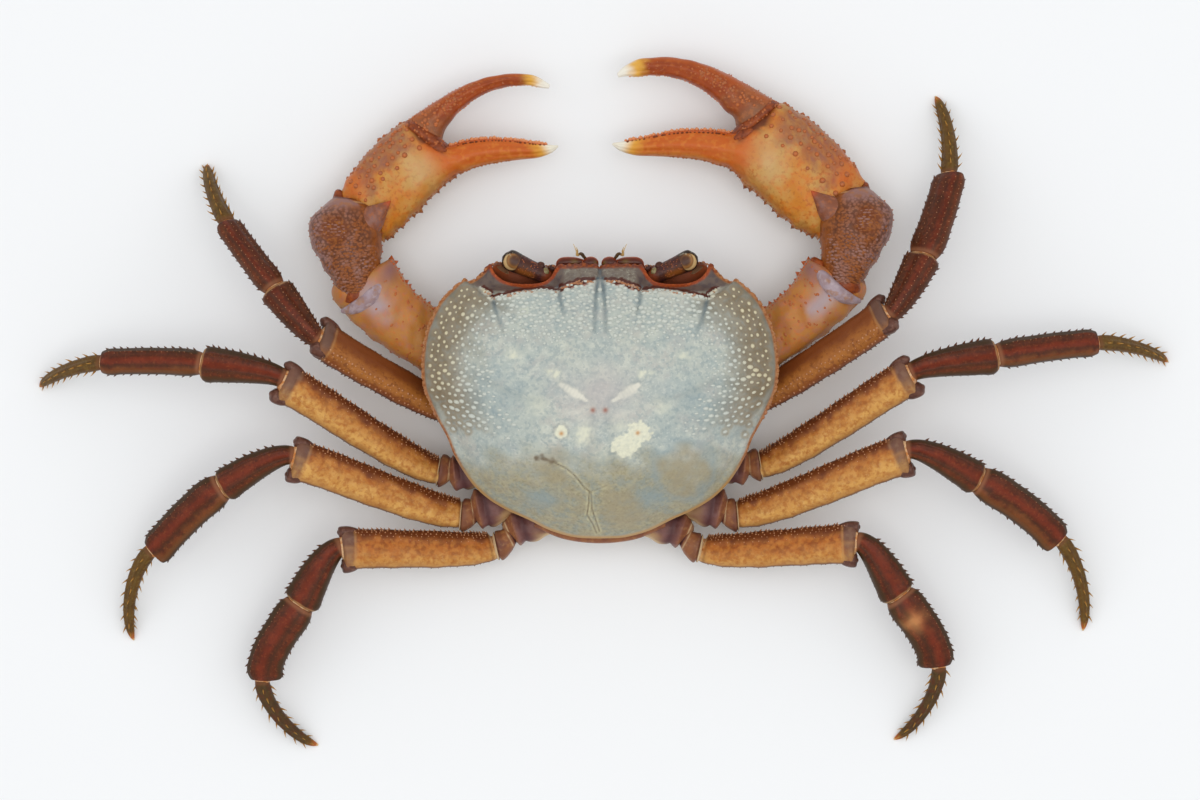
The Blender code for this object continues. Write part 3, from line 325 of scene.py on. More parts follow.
def sleeve(sides: int, cuts: int) -> tuple[bpy.types.Object, Array, Array, Array]:
    """A closed round sleeve, cut into rings and with stepped ends, ready to be shaped.

    Args:
        sides: Faces round the sleeve.
        cuts: Rings cut between its ends.

    Returns:
        The object and, for each point, its share of the length, its angle and its share of the
        way from the axis to the skin.
    """
    deselect()
    bpy.ops.mesh.primitive_cylinder_add(vertices=sides, radius=1.0, depth=2.0, end_fill_type="TRIFAN")
    piece = bpy.context.active_object
    bpy.ops.object.mode_set(mode="EDIT")
    bpy.ops.mesh.select_mode(type="EDGE")
    bm = bmesh.from_edit_mesh(piece.data)
    for edge in bm.edges:
        a, b = (vert.co for vert in edge.verts)
        edge.select_set(abs(a.z - b.z) > 0.5)
    bmesh.update_edit_mesh(piece.data)
    bpy.ops.mesh.subdivide(number_cuts=cuts)
    bpy.ops.mesh.select_mode(type="FACE")
    for end in (-1.0, 1.0):
        for step in (0.16, 0.22):
            bm = bmesh.from_edit_mesh(piece.data)
            for face in bm.faces:
                inner = all(vert.co.z * end > 0.999 for vert in face.verts)
                reach = min(math.hypot(vert.co.x, vert.co.y) for vert in face.verts)
                face.select_set(inner and reach < 1e-4)
            bmesh.update_edit_mesh(piece.data)
            bpy.ops.mesh.inset(thickness=step, use_even_offset=False)
    bpy.ops.object.mode_set(mode="OBJECT")
    co = points_of(piece)
    return piece, (co[:, 2] + 1.0) / 2.0, np.arctan2(co[:, 1], co[:, 0]), np.hypot(co[:, 0], co[:, 1])


def seed_shape(sides: int, rings: int, point: float) -> tuple[Array, Array]:
    """One small dome or spine of height and root radius 1, with its root closed.

    Args:
        sides: Faces round it.
        rings: Faces from root to tip.
        point: 0 for a round dome, 1 for a sharp spine.

    Returns:
        Its points and its triangles.
    """
    deselect()
    bpy.ops.mesh.primitive_cone_add(vertices=sides, radius1=1.0, radius2=0.0, depth=1.0,
                                    end_fill_type="TRIFAN")
    piece = bpy.context.active_object
    bpy.ops.object.mode_set(mode="EDIT")
    bpy.ops.mesh.select_mode(type="EDGE")
    bm = bmesh.from_edit_mesh(piece.data)
    for edge in bm.edges:
        a, b = (vert.co for vert in edge.verts)
        edge.select_set(abs(a.z - b.z) > 0.5)
    bmesh.update_edit_mesh(piece.data)
    bpy.ops.mesh.subdivide(number_cuts=rings - 1)
    bpy.ops.mesh.select_all(action="SELECT")
    bpy.ops.mesh.quads_convert_to_tris()
    bpy.ops.mesh.normals_make_consistent(inside=False)
    bpy.ops.object.mode_set(mode="OBJECT")
    co = points_of(piece)
    height = co[:, 2] + 0.5
    swell = np.where(height < 1e-6, 1.0, np.sqrt(np.clip(1.0 - height ** 2, 0.0, 1.0))
                     / np.maximum(1.0 - height, 1e-6))
    co[:, :2] *= (1.0 + (swell - 1.0) * (1.0 - point))[:, None]
    co[:, 2] = height
    faces = np.array([face.vertices[:] for face in piece.data.polygons])
    bpy.data.objects.remove(piece, do_unlink=True)
    return co, faces


@dataclass(frozen=True)
class Seeds:
    """The small shapes that are copied: a round bead, a blunt tooth and a sharp spine."""

    bead: tuple
    tooth: tuple
    spine: tuple


def keep_apart(places: Array, spacing: Array) -> list[int]:
    """Choose places that keep their distance from all that were chosen before.

    Args:
        places: Plan points in the order in which they are tried.
        spacing: Least distance of each from the ones before.

    Returns:
        The numbers of the chosen places.
    """
    held: list[int] = []
    for k, spot in enumerate(places):
        if not held or np.min(np.hypot(*(places[held] - spot).T)) >= spacing[k]:
            held.append(k)
    return held


def scatter(name: str, seed: tuple, places: Array, ways: Array, radii: Array,
            heights: Array, stretch: Array | None = None, turn: Array | None = None,
            sink: float = 0.35, bend: float = 0.0) -> bpy.types.Object:
    """Many copies of one small shape, each standing on its own place.

    Args:
        name: Name of the piece.
        seed: Points and triangles of the shape.
        places: Where each copy stands.
        ways: The way in which each points.
        radii: Root radius of each.
        heights: Height of each.
        stretch: Root length across, as a share of the radius.
        turn: The way of the longer root axis.
        sink: How far the root goes below its place, in radii.
        bend: How far a tip leans over, in heights, along the turn.

    Returns:
        The joined copies, with the height share as the mask tip.
    """
    shape, faces = seed
    count = len(places)
    up = unit(np.asarray(ways, float))
    lead = np.tile((1.0, 0.0, 0.0), (count, 1)) if turn is None else np.asarray(turn, float)
    side = unit(lead - up * np.sum(lead * up, axis=1, keepdims=True))
    third = np.cross(up, side)
    wide = radii if stretch is None else radii * stretch
    local = shape[None, :, :]
    lean = (local[:, :, 2] ** 2) * bend * heights[:, None]
    points = (places[:, None, :] + side[:, None, :] * (local[:, :, 0] * wide[:, None] + lean)[:, :, None]
              + third[:, None, :] * (local[:, :, 1] * radii[:, None])[:, :, None]
              + up[:, None, :] * (local[:, :, 2] * (heights + radii * sink)[:, None]
                                  - (radii * sink)[:, None])[:, :, None])
    joined = (faces[None] + (np.arange(count) * len(shape))[:, None, None]).reshape(-1, 3)
    piece = mesh_piece(name, points.reshape(-1, 3), joined.tolist())
    give_mask(piece, tip=np.tile(shape[:, 2], count))
    return piece


# Finishes

def add_node(tree: bpy.types.NodeTree, kind: str, settings: dict | None = None, values: dict | None = None,
             links: dict | None = None) -> bpy.types.Node:
    """Add one node with its settings, socket values and links.

    Args:
        tree: The material's node tree.
        kind: The node's type.
        settings: Properties of the node.
        values: Values of its inputs.
        links: Sockets that feed its inputs.

    Returns:
        The new node.
    """
    node = tree.nodes.new(kind)
    for name, value in (settings or {}).items():
        setattr(node, name, value)
    for socket, value in (values or {}).items():
        node.inputs[socket].default_value = value
    for socket, source in (links or {}).items():
        tree.links.new(source, node.inputs[socket])
    return node


@dataclass(frozen=True)
class Zone:
    """A colour laid where a mask of the piece says so."""

    mask: str
    colour: str
    strength: float = 1.0


@dataclass(frozen=True)
class Mottle:
    """Soft irregular spots of a colour: their size in millimetres and the noise level they start at."""

    size: float
    colour: str
    level: float = 0.5
    soft: float = 0.08
    strength: float = 0.6
    mask: str = ""
    detail: float = 3.0
    pattern: Pattern | None = None


@dataclass(frozen=True)
class Relief:
    """Fine relief: its pattern, the size of its grains and their depth, both in millimetres."""

    pattern: Pattern
    size: float
    depth: float
    mask: str = ""


@dataclass(frozen=True)
class Shell:
    """A finish of chitin: layered pigment under a thin waxy gloss, with fine pits and grains.

    Cuticle bends light with an IOR of about 1.56, so it keeps a soft sheen on its curves. The
    mask names are the ones that the pieces carry.
    """

    name: str
    base: str
    layers: tuple = ()
    reliefs: tuple = ()
    roughness: tuple[float, float] = (0.4, 0.55)
    coat: float = 0.0
    translucent: float = 0.0
    ior: float = 1.56
    gloss: float = 0.15

    def material(self) -> bpy.types.Material:
        """Build the finish as a material, or return it where it has been built.

        Returns:
            The material.
        """
        if self.name in bpy.data.materials:
            return bpy.data.materials[self.name]
        material = bpy.data.materials.new(self.name)
        material.use_nodes = True
        tree = material.node_tree
        shader = tree.nodes["Principled BSDF"]
        shader.inputs["Base Color"].default_value = linear(self.base)
        shader.inputs["IOR"].default_value = self.ior
        shader.inputs["Specular IOR Level"].default_value = self.gloss
        shader.inputs["Coat Weight"].default_value = self.coat
        shader.inputs["Coat Roughness"].default_value = 0.18
        shader.inputs["Subsurface Weight"].default_value = self.translucent
        shader.inputs["Subsurface Scale"].default_value = 0.8 * MM
        place = add_node(tree, "ShaderNodeTexCoord").outputs["Object"]
        colour = None
        for layer in self.layers:
            factor = self.factor(tree, layer, place)
            mix = add_node(tree, "ShaderNodeMix", {"data_type": "RGBA"},
                           {6: linear(self.base), 7: linear(layer.colour)},
                           {0: factor})
            if colour:
                tree.links.new(colour, mix.inputs[6])
            colour = mix.outputs[2]
        if colour:
            tree.links.new(colour, shader.inputs["Base Color"])
        grain = add_node(tree, "ShaderNodeTexNoise", None, {"Scale": 1.0 / (1.5 * MM), "Detail": 3.0},
                         {"Vector": place})
        spread = add_node(tree, "ShaderNodeMapRange", None,
                          {1: 0.3, 2: 0.7, 3: self.roughness[0], 4: self.roughness[1]},
                          {0: grain.outputs["Fac"]})
        tree.links.new(spread.outputs[0], shader.inputs["Roughness"])
        normal = None
        for relief in self.reliefs:
            normal = self.bump(tree, relief, place, normal)
        if normal:
            tree.links.new(normal, shader.inputs["Normal"])
        return material

    @staticmethod
    def factor(tree: bpy.types.NodeTree, layer: Zone | Mottle,
               place: bpy.types.NodeSocket) -> bpy.types.NodeSocket:
        """The share of a layer's colour at each point.

        Args:
            tree: The material's node tree.
            layer: A zone or a mottle.
            place: The object coordinates.

        Returns:
            A socket with the share.
        """
        if isinstance(layer, Zone):
            mask = add_node(tree, "ShaderNodeAttribute", {"attribute_name": layer.mask})
            return add_node(tree, "ShaderNodeMath", {"operation": "MULTIPLY", "use_clamp": True},
                            {1: layer.strength},
                            {0: mask.outputs["Fac"]}).outputs[0]
        cells = layer.pattern is Pattern.CELLS
        noise = add_node(tree, (layer.pattern or Pattern.GRAIN).value, None,
                         {"Scale": 1.0 / (layer.size * MM), "Detail": 0.0 if cells else layer.detail},
                         {"Vector": place})
        share = add_node(tree, "ShaderNodeMapRange", {"interpolation_type": "SMOOTHSTEP"},
                         {1: layer.level - layer.soft, 2: layer.level + layer.soft, 3: 0.0,
                          4: layer.strength},
                         {0: noise.outputs["Distance" if cells else "Fac"]}).outputs[0]
        if not layer.mask:
            return share
        mask = add_node(tree, "ShaderNodeAttribute", {"attribute_name": layer.mask})
        return add_node(tree, "ShaderNodeMath", {"operation": "MULTIPLY"}, None,
                        {0: share, 1: mask.outputs["Fac"]}).outputs[0]

    @staticmethod
    def bump(tree: bpy.types.NodeTree, relief: Relief, place: bpy.types.NodeSocket,
             normal: bpy.types.NodeSocket | None) -> bpy.types.NodeSocket:
        """One layer of fine relief on top of the ones before.

        Args:
            tree: The material's node tree.
            relief: The relief's sizes.
            place: The object coordinates.
            normal: The normal so far, if any.

        Returns:
            The new normal.
        """
        texture = add_node(tree, relief.pattern.value, None, {"Scale": 1.0 / (relief.size * MM)},
                           {"Vector": place})
        source = texture.outputs["Fac" if relief.pattern is Pattern.GRAIN else "Distance"]
        links = {"Height": source}
        if relief.mask:
            mask = add_node(tree, "ShaderNodeAttribute", {"attribute_name": relief.mask})
            links["Height"] = add_node(tree, "ShaderNodeMath", {"operation": "MULTIPLY"}, None,
                                       {0: source, 1: mask.outputs["Fac"]}).outputs[0]
        if normal:
            links["Normal"] = normal
        return add_node(tree, "ShaderNodeBump", None, {"Strength": 1.0, "Distance": relief.depth * MM},
                        links).outputs[0]


# Back shell: calcified cuticle, blue-grey and waxy over the dome, taupe on the shoulders, rusty on
# the rims of the sockets and along the margin
BACK_SHELL = Shell(
    "carapace_cuticle", "A9B2AD",
    layers=(
        Mottle(7.0, "B9BDB1", 0.5, 0.16, 0.6), Mottle(3.0, "93A1A2", 0.56, 0.10, 0.45),
        Mottle(4.5, "B5ADA6", 0.58, 0.12, 0.45), Mottle(1.4, "C6C9BC", 0.56, 0.09, 0.6),
        Mottle(0.7, "8A989A", 0.56, 0.09, 0.6), Mottle(0.45, "C9CDC4", 0.6, 0.06, 0.4),
        Zone("rear", "948662", 0.85), Mottle(2.4, "84918E", 0.52, 0.12, 0.6, "rear"),
        Mottle(0.9, "ACA484", 0.54, 0.1, 0.6, "rear"),
        Mottle(0.5, "7C7658", 0.58, 0.07, 0.45, "rear"),
        Zone("blush", "B6ACAA", 0.55), Zone("shoulder", "807B6E", 0.85),
        Mottle(1.6, "6A624E", 0.52, 0.12, 0.5, "shoulder"),
        Zone("blue", "84979D", 0.75), Zone("tan", "9A8E72", 0.7), Zone("front", "62524A", 0.95),
        Mottle(0.9, "453A42", 0.55, 0.1, 0.5, "front"), Zone("lobe", "847C6E", 0.8),
        Mottle(0.7, "54443C", 0.55, 0.1, 0.55, "lobe"), Mottle(0.5, "A5A394", 0.6, 0.07, 0.5, "lobe"),
        # Painted shade: a dark ring round the foot of each granule
        Zone("halo", "8A7350", 0.5),
        Zone("groove", "536670", 0.9), Zone("stroke", "D9D6C8", 0.9), Zone("pale", "D6D6C0", 0.85),
        Mottle(0.5, "E4E2CC", 0.52, 0.1, 0.6, "white"), Zone("white", "DDDCC4", 0.9),
        Zone("crack_edge", "C9C29C", 0.85),
        Zone("crack", "5A442A", 0.95), Zone("amber", "B97A2C", 0.9), Zone("red", "96503A", 0.85),
        Zone("crest_pale", "CBC9BA", 0.85), Zone("crest_rust", "8A4630", 0.85),
        Zone("crest_dark", "4E2218", 1.0), Zone("wall", "A98D6C", 1.0),
        Mottle(2.2, "7B6459", 0.52, 0.12, 0.6, "wall"), Zone("socket", "A04A18", 0.95),
        # Painted shade deep in the sockets, under their rims
        Zone("socket_deep", "4A1E0C", 0.75),
        Zone("socket_rim", "8E3808", 0.95), Mottle(0.5, "B4541A", 0.54, 0.08, 0.6, "socket_rim"),
        Zone("margin", "B87C48", 0.85), Mottle(0.7, "8C4A22", 0.5, 0.1, 0.7, "margin"),
        Zone("rear_margin", "B58B52", 0.9), Zone("front_rim", "6E2C14", 0.9),
        Mottle(0.6, "A0521E", 0.54, 0.1, 0.7, "front_rim"),
    ),
    reliefs=(Relief(Pattern.GRAIN, 0.5, 0.04), Relief(Pattern.GRAIN, 2.2, 0.06)),
    roughness=(0.36, 0.55), coat=0.12,
)
# Granules of the back: solid calcite beads, cream and shiny at the top
GRANULE_SHELL = Shell(
    "carapace_granule_calcite", "A6ACA6",
    layers=(Zone("warm", "A08C62", 0.8), Zone("tip", "D0D4CA", 0.75), Zone("warm_tip", "D2C69C", 0.8),
            Zone("rust", "A2602C", 0.9)),
    roughness=(0.3, 0.42), coat=0.2,
)


@dataclass
class Carapace:
    """Back shell with its sockets, crests, grooves, granules and scars, as one closed skin."""

    top: float = 27.5
    centre: tuple[float, float] = (0.0, 1.0)
    grid: tuple[int, int] = (290, 230)
    relax_steps: int = 400
    # Half outline of the margin as (x, y, height), as in the solids
    margin: tuple = (
        (0.0, 22.5, 17.3), (2.0, 22.8, 17.3), (7.0, 22.8, 17.2), (12.8, 22.6, 17.0),
        (18.2, 22.8, 16.8), (20.4, 20.9, 16.8), (22.2, 19.9, 16.7), (23.0, 20.3, 16.6),
        (25.0, 18.7, 16.5), (27.0, 16.5, 16.4), (28.5, 13.6, 16.4), (29.4, 11.1, 16.3),
        (30.0, 6.7, 16.2), (30.0, 4.4, 16.1), (29.7, 2.0, 15.9), (28.8, -0.4, 15.7),
        (27.4, -3.4, 15.5), (25.8, -6.4, 15.2), (24.7, -9.2, 14.9), (23.2, -11.9, 14.6),
        (21.3, -14.5, 14.2), (18.8, -16.8, 13.8), (15.8, -18.6, 13.4), (12.3, -20.2, 13.0),
        (8.2, -22.2, 12.6), (4.0, -23.3, 12.4), (0.0, -23.5, 12.3),
    )
    # Half outline as seen from above, round the rear edge of the socket
    front: tuple = (
        (0.0, 22.3), (0.7, 22.75), (2.0, 22.95), (4.2, 22.85), (6.2, 22.7), (7.0, 22.6), (7.7, 21.8),
        (8.3, 20.8), (9.2, 20.0), (10.8, 19.6), (12.8, 19.5), (14.8, 19.65), (16.3, 20.1), (17.2, 20.7),
        (17.9, 21.5), (18.3, 22.3), (18.7, 22.85), (19.4, 22.0), (20.4, 20.9), (21.5, 20.1), (22.2, 19.85),
        (23.0, 20.35),
    )
    socket_height: float = 17.7
    socket_floor: float = 12.5
    crests: tuple = (
        ((1.2, 20.25), (3.7, 20.1), (6.5, 19.1)),
        ((7.4, 18.5), (9.8, 18.9), (11.8, 18.65), (15.0, 18.0), (18.1, 17.4)),
        ((18.3, 18.1), (19.7, 18.9)),
    )
    wall_steps: tuple = (0.12, 0.25, 0.4, 0.55, 0.7, 0.85, 1.0)
    # Middle of the closed underside
    belly: tuple = (0.0, 0.0, 8.6)
    # Grooves of the right half as (plan points, depth, half width)
    grooves: tuple = (
        (((0.0, 22.6), (0.05, 20.4)), 0.9, 0.3), (((0.35, 20.5), (0.75, 17.0), (0.95, 11.5)), 0.65, 0.34),
        (((6.9, 19.0), (6.8, 17.4), (6.1, 14.5)), 0.6, 0.35),
        (((18.2, 17.9), (17.6, 15.0), (16.3, 11.5)), 0.4, 0.35),
        (((19.5, 3.2), (16.0, 1.4), (12.8, 0.2), (9.0, -0.6)), 0.28, 0.7),
        (((6.4, 2.6), (4.0, 1.2), (1.6, -0.3)), 0.28, 0.7),
        (((1.5, -3.5), (2.4, -6.5), (1.8, -10.5)), 0.2, 0.9),
    )
    # How many of them are dark all along
    dark_grooves: int = 4
    # The two lines of the crack that runs to the rear edge, the scratch beside them and its thin end
    cracks: tuple = (
        ((-1.8, -15.3), (-1.9, -17.4), (-2.2, -19.4), (-1.2, -21.0), (-0.6, -22.6)),
        ((-1.5, -15.6), (-1.4, -18.3), (-0.8, -20.1), (-0.1, -22.3)),
    )
    scratch: tuple = ((-7.4, -10.6), (-5.6, -11.5), (-4.2, -12.7), (-2.7, -14.6), (-1.6, -15.5))
    scratch_end: tuple = ((-1.6, -15.4), (-0.7, -15.1), (1.2, -14.3))
    blotch: tuple = ((-10.5, -9.6), (-9.2, -9.9), (-7.4, -10.6))
    # Lobes of the rough white scar as (x, y, radius), and the middle of the round one
    white_lobes: tuple = (
        (6.3, -5.0, 1.7), (7.4, -5.6, 1.1), (4.2, -8.2, 1.8), (5.4, -6.8, 1.4), (3.2, -7.6, 1.0),
    )
    round_scar: tuple = (-6.5, -5.3)
    # Pale spots as (x, y, radius, strength)
    spots: tuple = (
        (-14.5, 7.5, 0.8, 0.95), (14.0, 7.5, 0.8, 0.8), (-7.4, 4.3, 0.75, 1.1), (-8.8, 4.7, 0.6, 0.6),
        (7.0, 4.3, 0.75, 1.0), (8.6, 4.6, 0.6, 0.5), (-2.6, -5.2, 1.2, 1.0), (-2.9, -6.6, 1.0, 0.8),
        (-10.8, -0.9, 1.8, 0.45), (10.5, -1.3, 1.3, 0.5), (3.6, -4.4, 1.2, 0.5), (0.2, -9.5, 1.2, 0.3),
        (-12.6, 15.0, 1.0, 0.6),
    )
    # Pale strokes of the right half, the broad one and the faint one behind it
    stroke: tuple = ((6.4, 2.5), (3.8, 0.8), (1.6, -0.4))
    faint_stroke: tuple = ((5.6, -2.0), (3.4, -2.2), (2.0, -3.6))
    # Distances from the midline, and there the lines behind which the front's dark and the beads end
    across_stations: tuple = (0.0, 3.7, 6.5, 9.8, 15.0, 19.7, 23.0)
    front_line: tuple = (20.3, 20.1, 18.9, 18.9, 18.0, 18.6, 20.0)
    bead_line: tuple = (19.6, 19.4, 18.2, 18.2, 17.2, 17.6, 19.2)
    granule_seed: int = 11
    granule_tries: int = 20000
    cheek_beads: int = 380

    def __post_init__(self) -> None:
        """Work out the margin as angle, reach and height, for the dome."""
        half = np.array(self.margin)
        fine = along_path(half, 400)
        self.angles = np.arctan2(fine[:, 0], fine[:, 1] - self.centre[1])
        self.reaches = np.hypot(fine[:, 0], fine[:, 1] - self.centre[1])
        self.edges = fine[:, 2]
        self.places: Array | None = None

    def polar(self, x: Array, y: Array) -> tuple[Array, Array, Array]:
        """Share of the way to the margin, distance from it and height of it.

        Args:
            x: Plan positions to the right.
            y: Plan positions to the front.

        Returns:
            Share, distance and height, one each for every point.
        """
        angle = np.arctan2(np.abs(x), y - self.centre[1])
        reach = np.interp(angle, self.angles, self.reaches)
        run = np.hypot(x, y - self.centre[1])
        return run / reach, reach - run, np.interp(angle, self.angles, self.edges)

    def height(self, x: Array, y: Array) -> Array:
        """Height of the dome with all its forms.

        Args:
            x: Plan positions to the right.
            y: Plan positions to the front.

        Returns:
            Height above the floor.
        """
        share, inside, edge = self.polar(x, y)
        far = np.abs(x)
        z = edge + (self.top - edge) * (1.0 - np.clip(share, 0.0, 1.0) ** 2.4) ** 0.8
        brow = smooth(5.5, 8.5, far) * (1.0 - smooth(17.6, 20.5, far)) * smooth(18.0, 19.7, y)
        z = z + (self.socket_height - z) * brow
        # Swollen regions: gills, stomach, heart and gut
        z = (z + 0.35 * bell(np.hypot(far - 15.0, (y + 5.0) * 0.9), 8.0)
             + 0.25 * bell(np.hypot(far - 4.2, y - 9.0), 4.0))
        z = z + 0.3 * bell(np.hypot(x, (y + 8.5) * 1.3), 5.0) + 0.3 * bell(np.hypot(x, y + 17.5), 4.0)
        z = z - 0.35 * smooth(0.3, 1.5, inside) * bell(inside - 1.5, 1.4) * smooth(19.5, 18.0, y)
        for path, depth, width in self.grooves:
            away, _, along = to_path(far, y, path)
            z = z - depth * bell(away, width) * (1.0 - 0.6 * along)
        for crest in self.crests:
            away, side, along = to_path(far, y, crest)
            jag = 0.75 + 0.25 * np.sin(along * 31.0 + 2.0 * np.sin(along * 17.0))
            ends = smooth(0.0, 0.08, along) * smooth(1.0, 0.92, along)
            step = np.where(side > 0.0, bell(side, 0.22), bell(side, 1.0))
            z = z + 0.62 * jag * step * ends * bell(away, 2.2)
        for spot_x in (-1.1, 1.0):
            z = z - 0.25 * bell(np.hypot(x - spot_x, y + 1.7), 0.35)
        z = z + 0.18 * self.white_patch(x, y) * (1.0 + 0.3 * ripple(x, y, 0.9, 5))
        for line, lip in ((self.scratch, 0.06), *((crack, 0.08) for crack in self.cracks)):
            away, _, _ = to_path(x, y, line)
            z = z - 0.16 * bell(away, 0.14) + lip * bell(away - 0.4, 0.2)
        tail = smooth(-1.0, -6.0, y) * smooth(9.0, 13.0, far)
        z = (z + 0.035 * np.sin(y * 11.0 + 2.0 * ripple(x, y, 4.0, 9)) * tail
             * smooth(0.0, 1.0, ripple(x, y, 3.0, 8)))
        return z + 0.06 * ripple(x, y, 9.0, 3) * smooth(0.2, 2.0, inside)

    def white_patch(self, x: Array, y: Array) -> Array:
        """Share of the rough white scar of two lobes.

        Args:
            x: Plan positions to the right.
            y: Plan positions to the front.

        Returns:
            Share of the scar at each point.
        """
        wave = 0.3 * ripple(x, y, 1.8, 21) + 0.12 * ripple(x, y, 0.7, 22)
        lobes = sum(bell(np.hypot(x - px, y - py), size) for px, py, size in self.white_lobes)
        return smooth(0.36, 0.62, lobes + 0.22 * wave) * (0.85 + 0.2 * ripple(x, y, 1.0, 23))

    def outline(self) -> Array:
        """Closed outline seen from above, from the left shoulder's tooth clockwise.

        Returns:
            Plan points, one for each edge point of the grid.
        """
        across, down = self.grid
        front = along_path(np.array(self.front), 400)
        front = np.concatenate([front[::-1] * (-1.0, 1.0), front[1:]])
        rear = [p[:2] for p in self.margin[7:]]
        side = along_path(np.array(rear), 500)
        corner = int(np.argmin(np.hypot(side[:, 0] - 18.8, side[:, 1] + 16.8)))
        half = along_path(side[:corner + 1], down + 1)
        tail = side[corner:]
        back = along_path(np.concatenate([tail, tail[::-1][1:] * (-1.0, 1.0)]), across + 1)
        return np.concatenate([along_path(front, across + 1)[:-1], half[:-1], back[:-1],
                               half[::-1][:-1] * (-1.0, 1.0)])

    def plan(self, piece: bpy.types.Object) -> tuple[Array, Array]:
        """Fit a square grid to the outline and relax it.

        Args:
            piece: The grid, 2 wide, as it was added.

        Returns:
            Plan points of all the grid's points, and for each its number along the outline or -1.
        """
        across, down = self.grid
        co = points_of(piece)
        col = np.rint((co[:, 0] + 1.0) / 2.0 * across).astype(int)
        row = np.rint((1.0 - co[:, 1]) / 2.0 * down).astype(int)
        loop = self.outline()
        rim = np.concatenate([
            np.stack([np.arange(across), np.zeros(across, int)], 1),
            np.stack([np.full(down, across), np.arange(down)], 1),
            np.stack([across - np.arange(across), np.full(across, down)], 1),
            np.stack([np.zeros(down, int), down - np.arange(down)], 1),
        ])
        field_xy = np.zeros((across + 1, down + 1, 2))
        field_xy[rim[:, 0], rim[:, 1]] = loop
        u = np.linspace(0.0, 1.0, across + 1)[:, None, None]
        v = np.linspace(0.0, 1.0, down + 1)[None, :, None]
        north, south = field_xy[:, 0][:, None], field_xy[:, -1][:, None]
        west, east = field_xy[0][None], field_xy[-1][None]
        corners = ((1 - u) * (1 - v) * field_xy[0, 0] + u * (1 - v) * field_xy[-1, 0]
                   + (1 - u) * v * field_xy[0, -1] + u * v * field_xy[-1, -1])
        field_xy = (1 - v) * north + v * south + (1 - u) * west + u * east - corners
        for _ in range(self.relax_steps):
            around = field_xy[:-2, 1:-1] + field_xy[2:, 1:-1] + field_xy[1:-1, :-2] + field_xy[1:-1, 2:]
            field_xy[1:-1, 1:-1] = around / 4.0
        number = np.full((across + 1, down + 1), -1)
        number[rim[:, 0], rim[:, 1]] = np.arange(len(rim))
        return field_xy[col, row], number[col, row]

    def wall(self, step: float, x: Array, y: Array, edge: Array) -> Array:
        """Points of the side wall, step 0 at the margin and 1 at the bottom edge, as in the solids.

        Args:
            step: Share of the way down.
            x: Plan positions to the right.
            y: Plan positions to the front.
            edge: Heights of the margin.

        Returns:
            One point for each point of the outline.
        """
        front = np.maximum(0.0, y / self.margin[0][1])
        bottom = 8.3 + 2.6 * front ** 2
        inset = np.where(y > 0.0, 0.88, 0.78)
        ease = step ** (1.5 + 4.0 * front ** 2)
        z = edge + (bottom - edge) * step
        return np.stack([x * (1.0 - 0.26 * ease), y * (1.0 - (1.0 - inset) * ease), z], 1)

    def lip(self, x: Array) -> tuple[Array, Array]:
        """Forward place and height of the socket's lower lip, which rises to both ends of the socket.

        Args:
            x: Plan positions to the right.

        Returns:
            Forward places and heights.
        """
        far = np.abs(x)
        fringe = np.interp(far, [0.0, 7.0, 12.8, 15.8, 17.6, 18.6, 23.0],
                           [22.5, 22.8, 22.8, 23.3, 23.4, 22.8, 20.0])
        return fringe, self.socket_floor + 3.4 * np.clip(np.abs(far - 13.0) / 5.4, 0.0, 1.0) ** 4

    def socket_share(self, loop: Array) -> Array:
        """How far each point of the outline belongs to a socket, from 0 to 1."""
        x, y = loop[:, 0], loop[:, 1]
        return smooth(0.15, 0.9, np.where((y > 15.0) & (np.abs(x) < 19.0), self.lip(x)[0] - y, 0.0))

    def rings(self) -> list[Array]:
        """Rings of points from the outline over the rim and down the walls.

        Returns:
            One array of points for each ring, the first of them next to the outline.
        """
        loop = self.outline()
        x, y = loop[:, 0], loop[:, 1]
        z = self.height(x, y)
        socket = self.socket_share(loop)[:, None]
        ahead = np.roll(loop, -1, axis=0) - np.roll(loop, 1, axis=0)
        out = unit(np.stack([-ahead[:, 1], ahead[:, 0]], 1))
        flat = np.stack([out[:, 0], out[:, 1], np.zeros(len(out))], 1)
        edge = np.stack([x, y, z], 1)
        fringe, floor = self.lip(x)
        _, _, brim = self.polar(x, y)
        turn = np.arange(len(loop))
        teeth = 0.12 * (1.0 + np.sin(turn * 0.83 + 1.5 * np.sin(turn * 0.21)))
        teeth = teeth * smooth(-4.0, 3.0, y) * (1.0 - socket[:, 0])
        outer = [
            edge + flat * (0.14 + teeth[:, None]) - UP * 0.16,
            edge + flat * (0.16 + teeth[:, None]) - UP * 0.42,
            edge + flat * 0.02 - UP * 0.72,
            edge - flat * 0.22 - UP * 0.95,
        ]
        hem = np.minimum(z - 0.95, brim - 0.6)
        outer += [self.wall(step, x, y, hem) for step in self.wall_steps]
        forward = np.array((0.0, 1.0, 0.0))
        lip = np.stack([x, fringe, floor], 1)
        back = np.stack([x, y, floor], 1)
        inner = [
            edge + forward * 0.14 - UP * 0.14,
            edge + forward * 0.14 - UP * 0.42,
            edge - forward * 0.1 - UP * 0.8,
            (edge * 2.0 + back) / 3.0 - forward * 0.5,
            back - forward * 0.4 + UP * 0.7,
            back + forward * 0.3 + UP * 0.05,
            (back + lip) / 2.0,
            lip - forward * 0.5,
            lip + forward * 0.1 + UP * 0.45,
        ]
        inner += [self.wall(step, x, fringe, floor) for step in (0.15, 1.0)]
        return [b * socket + a * (1.0 - socket) for a, b in zip(outer, inner)]

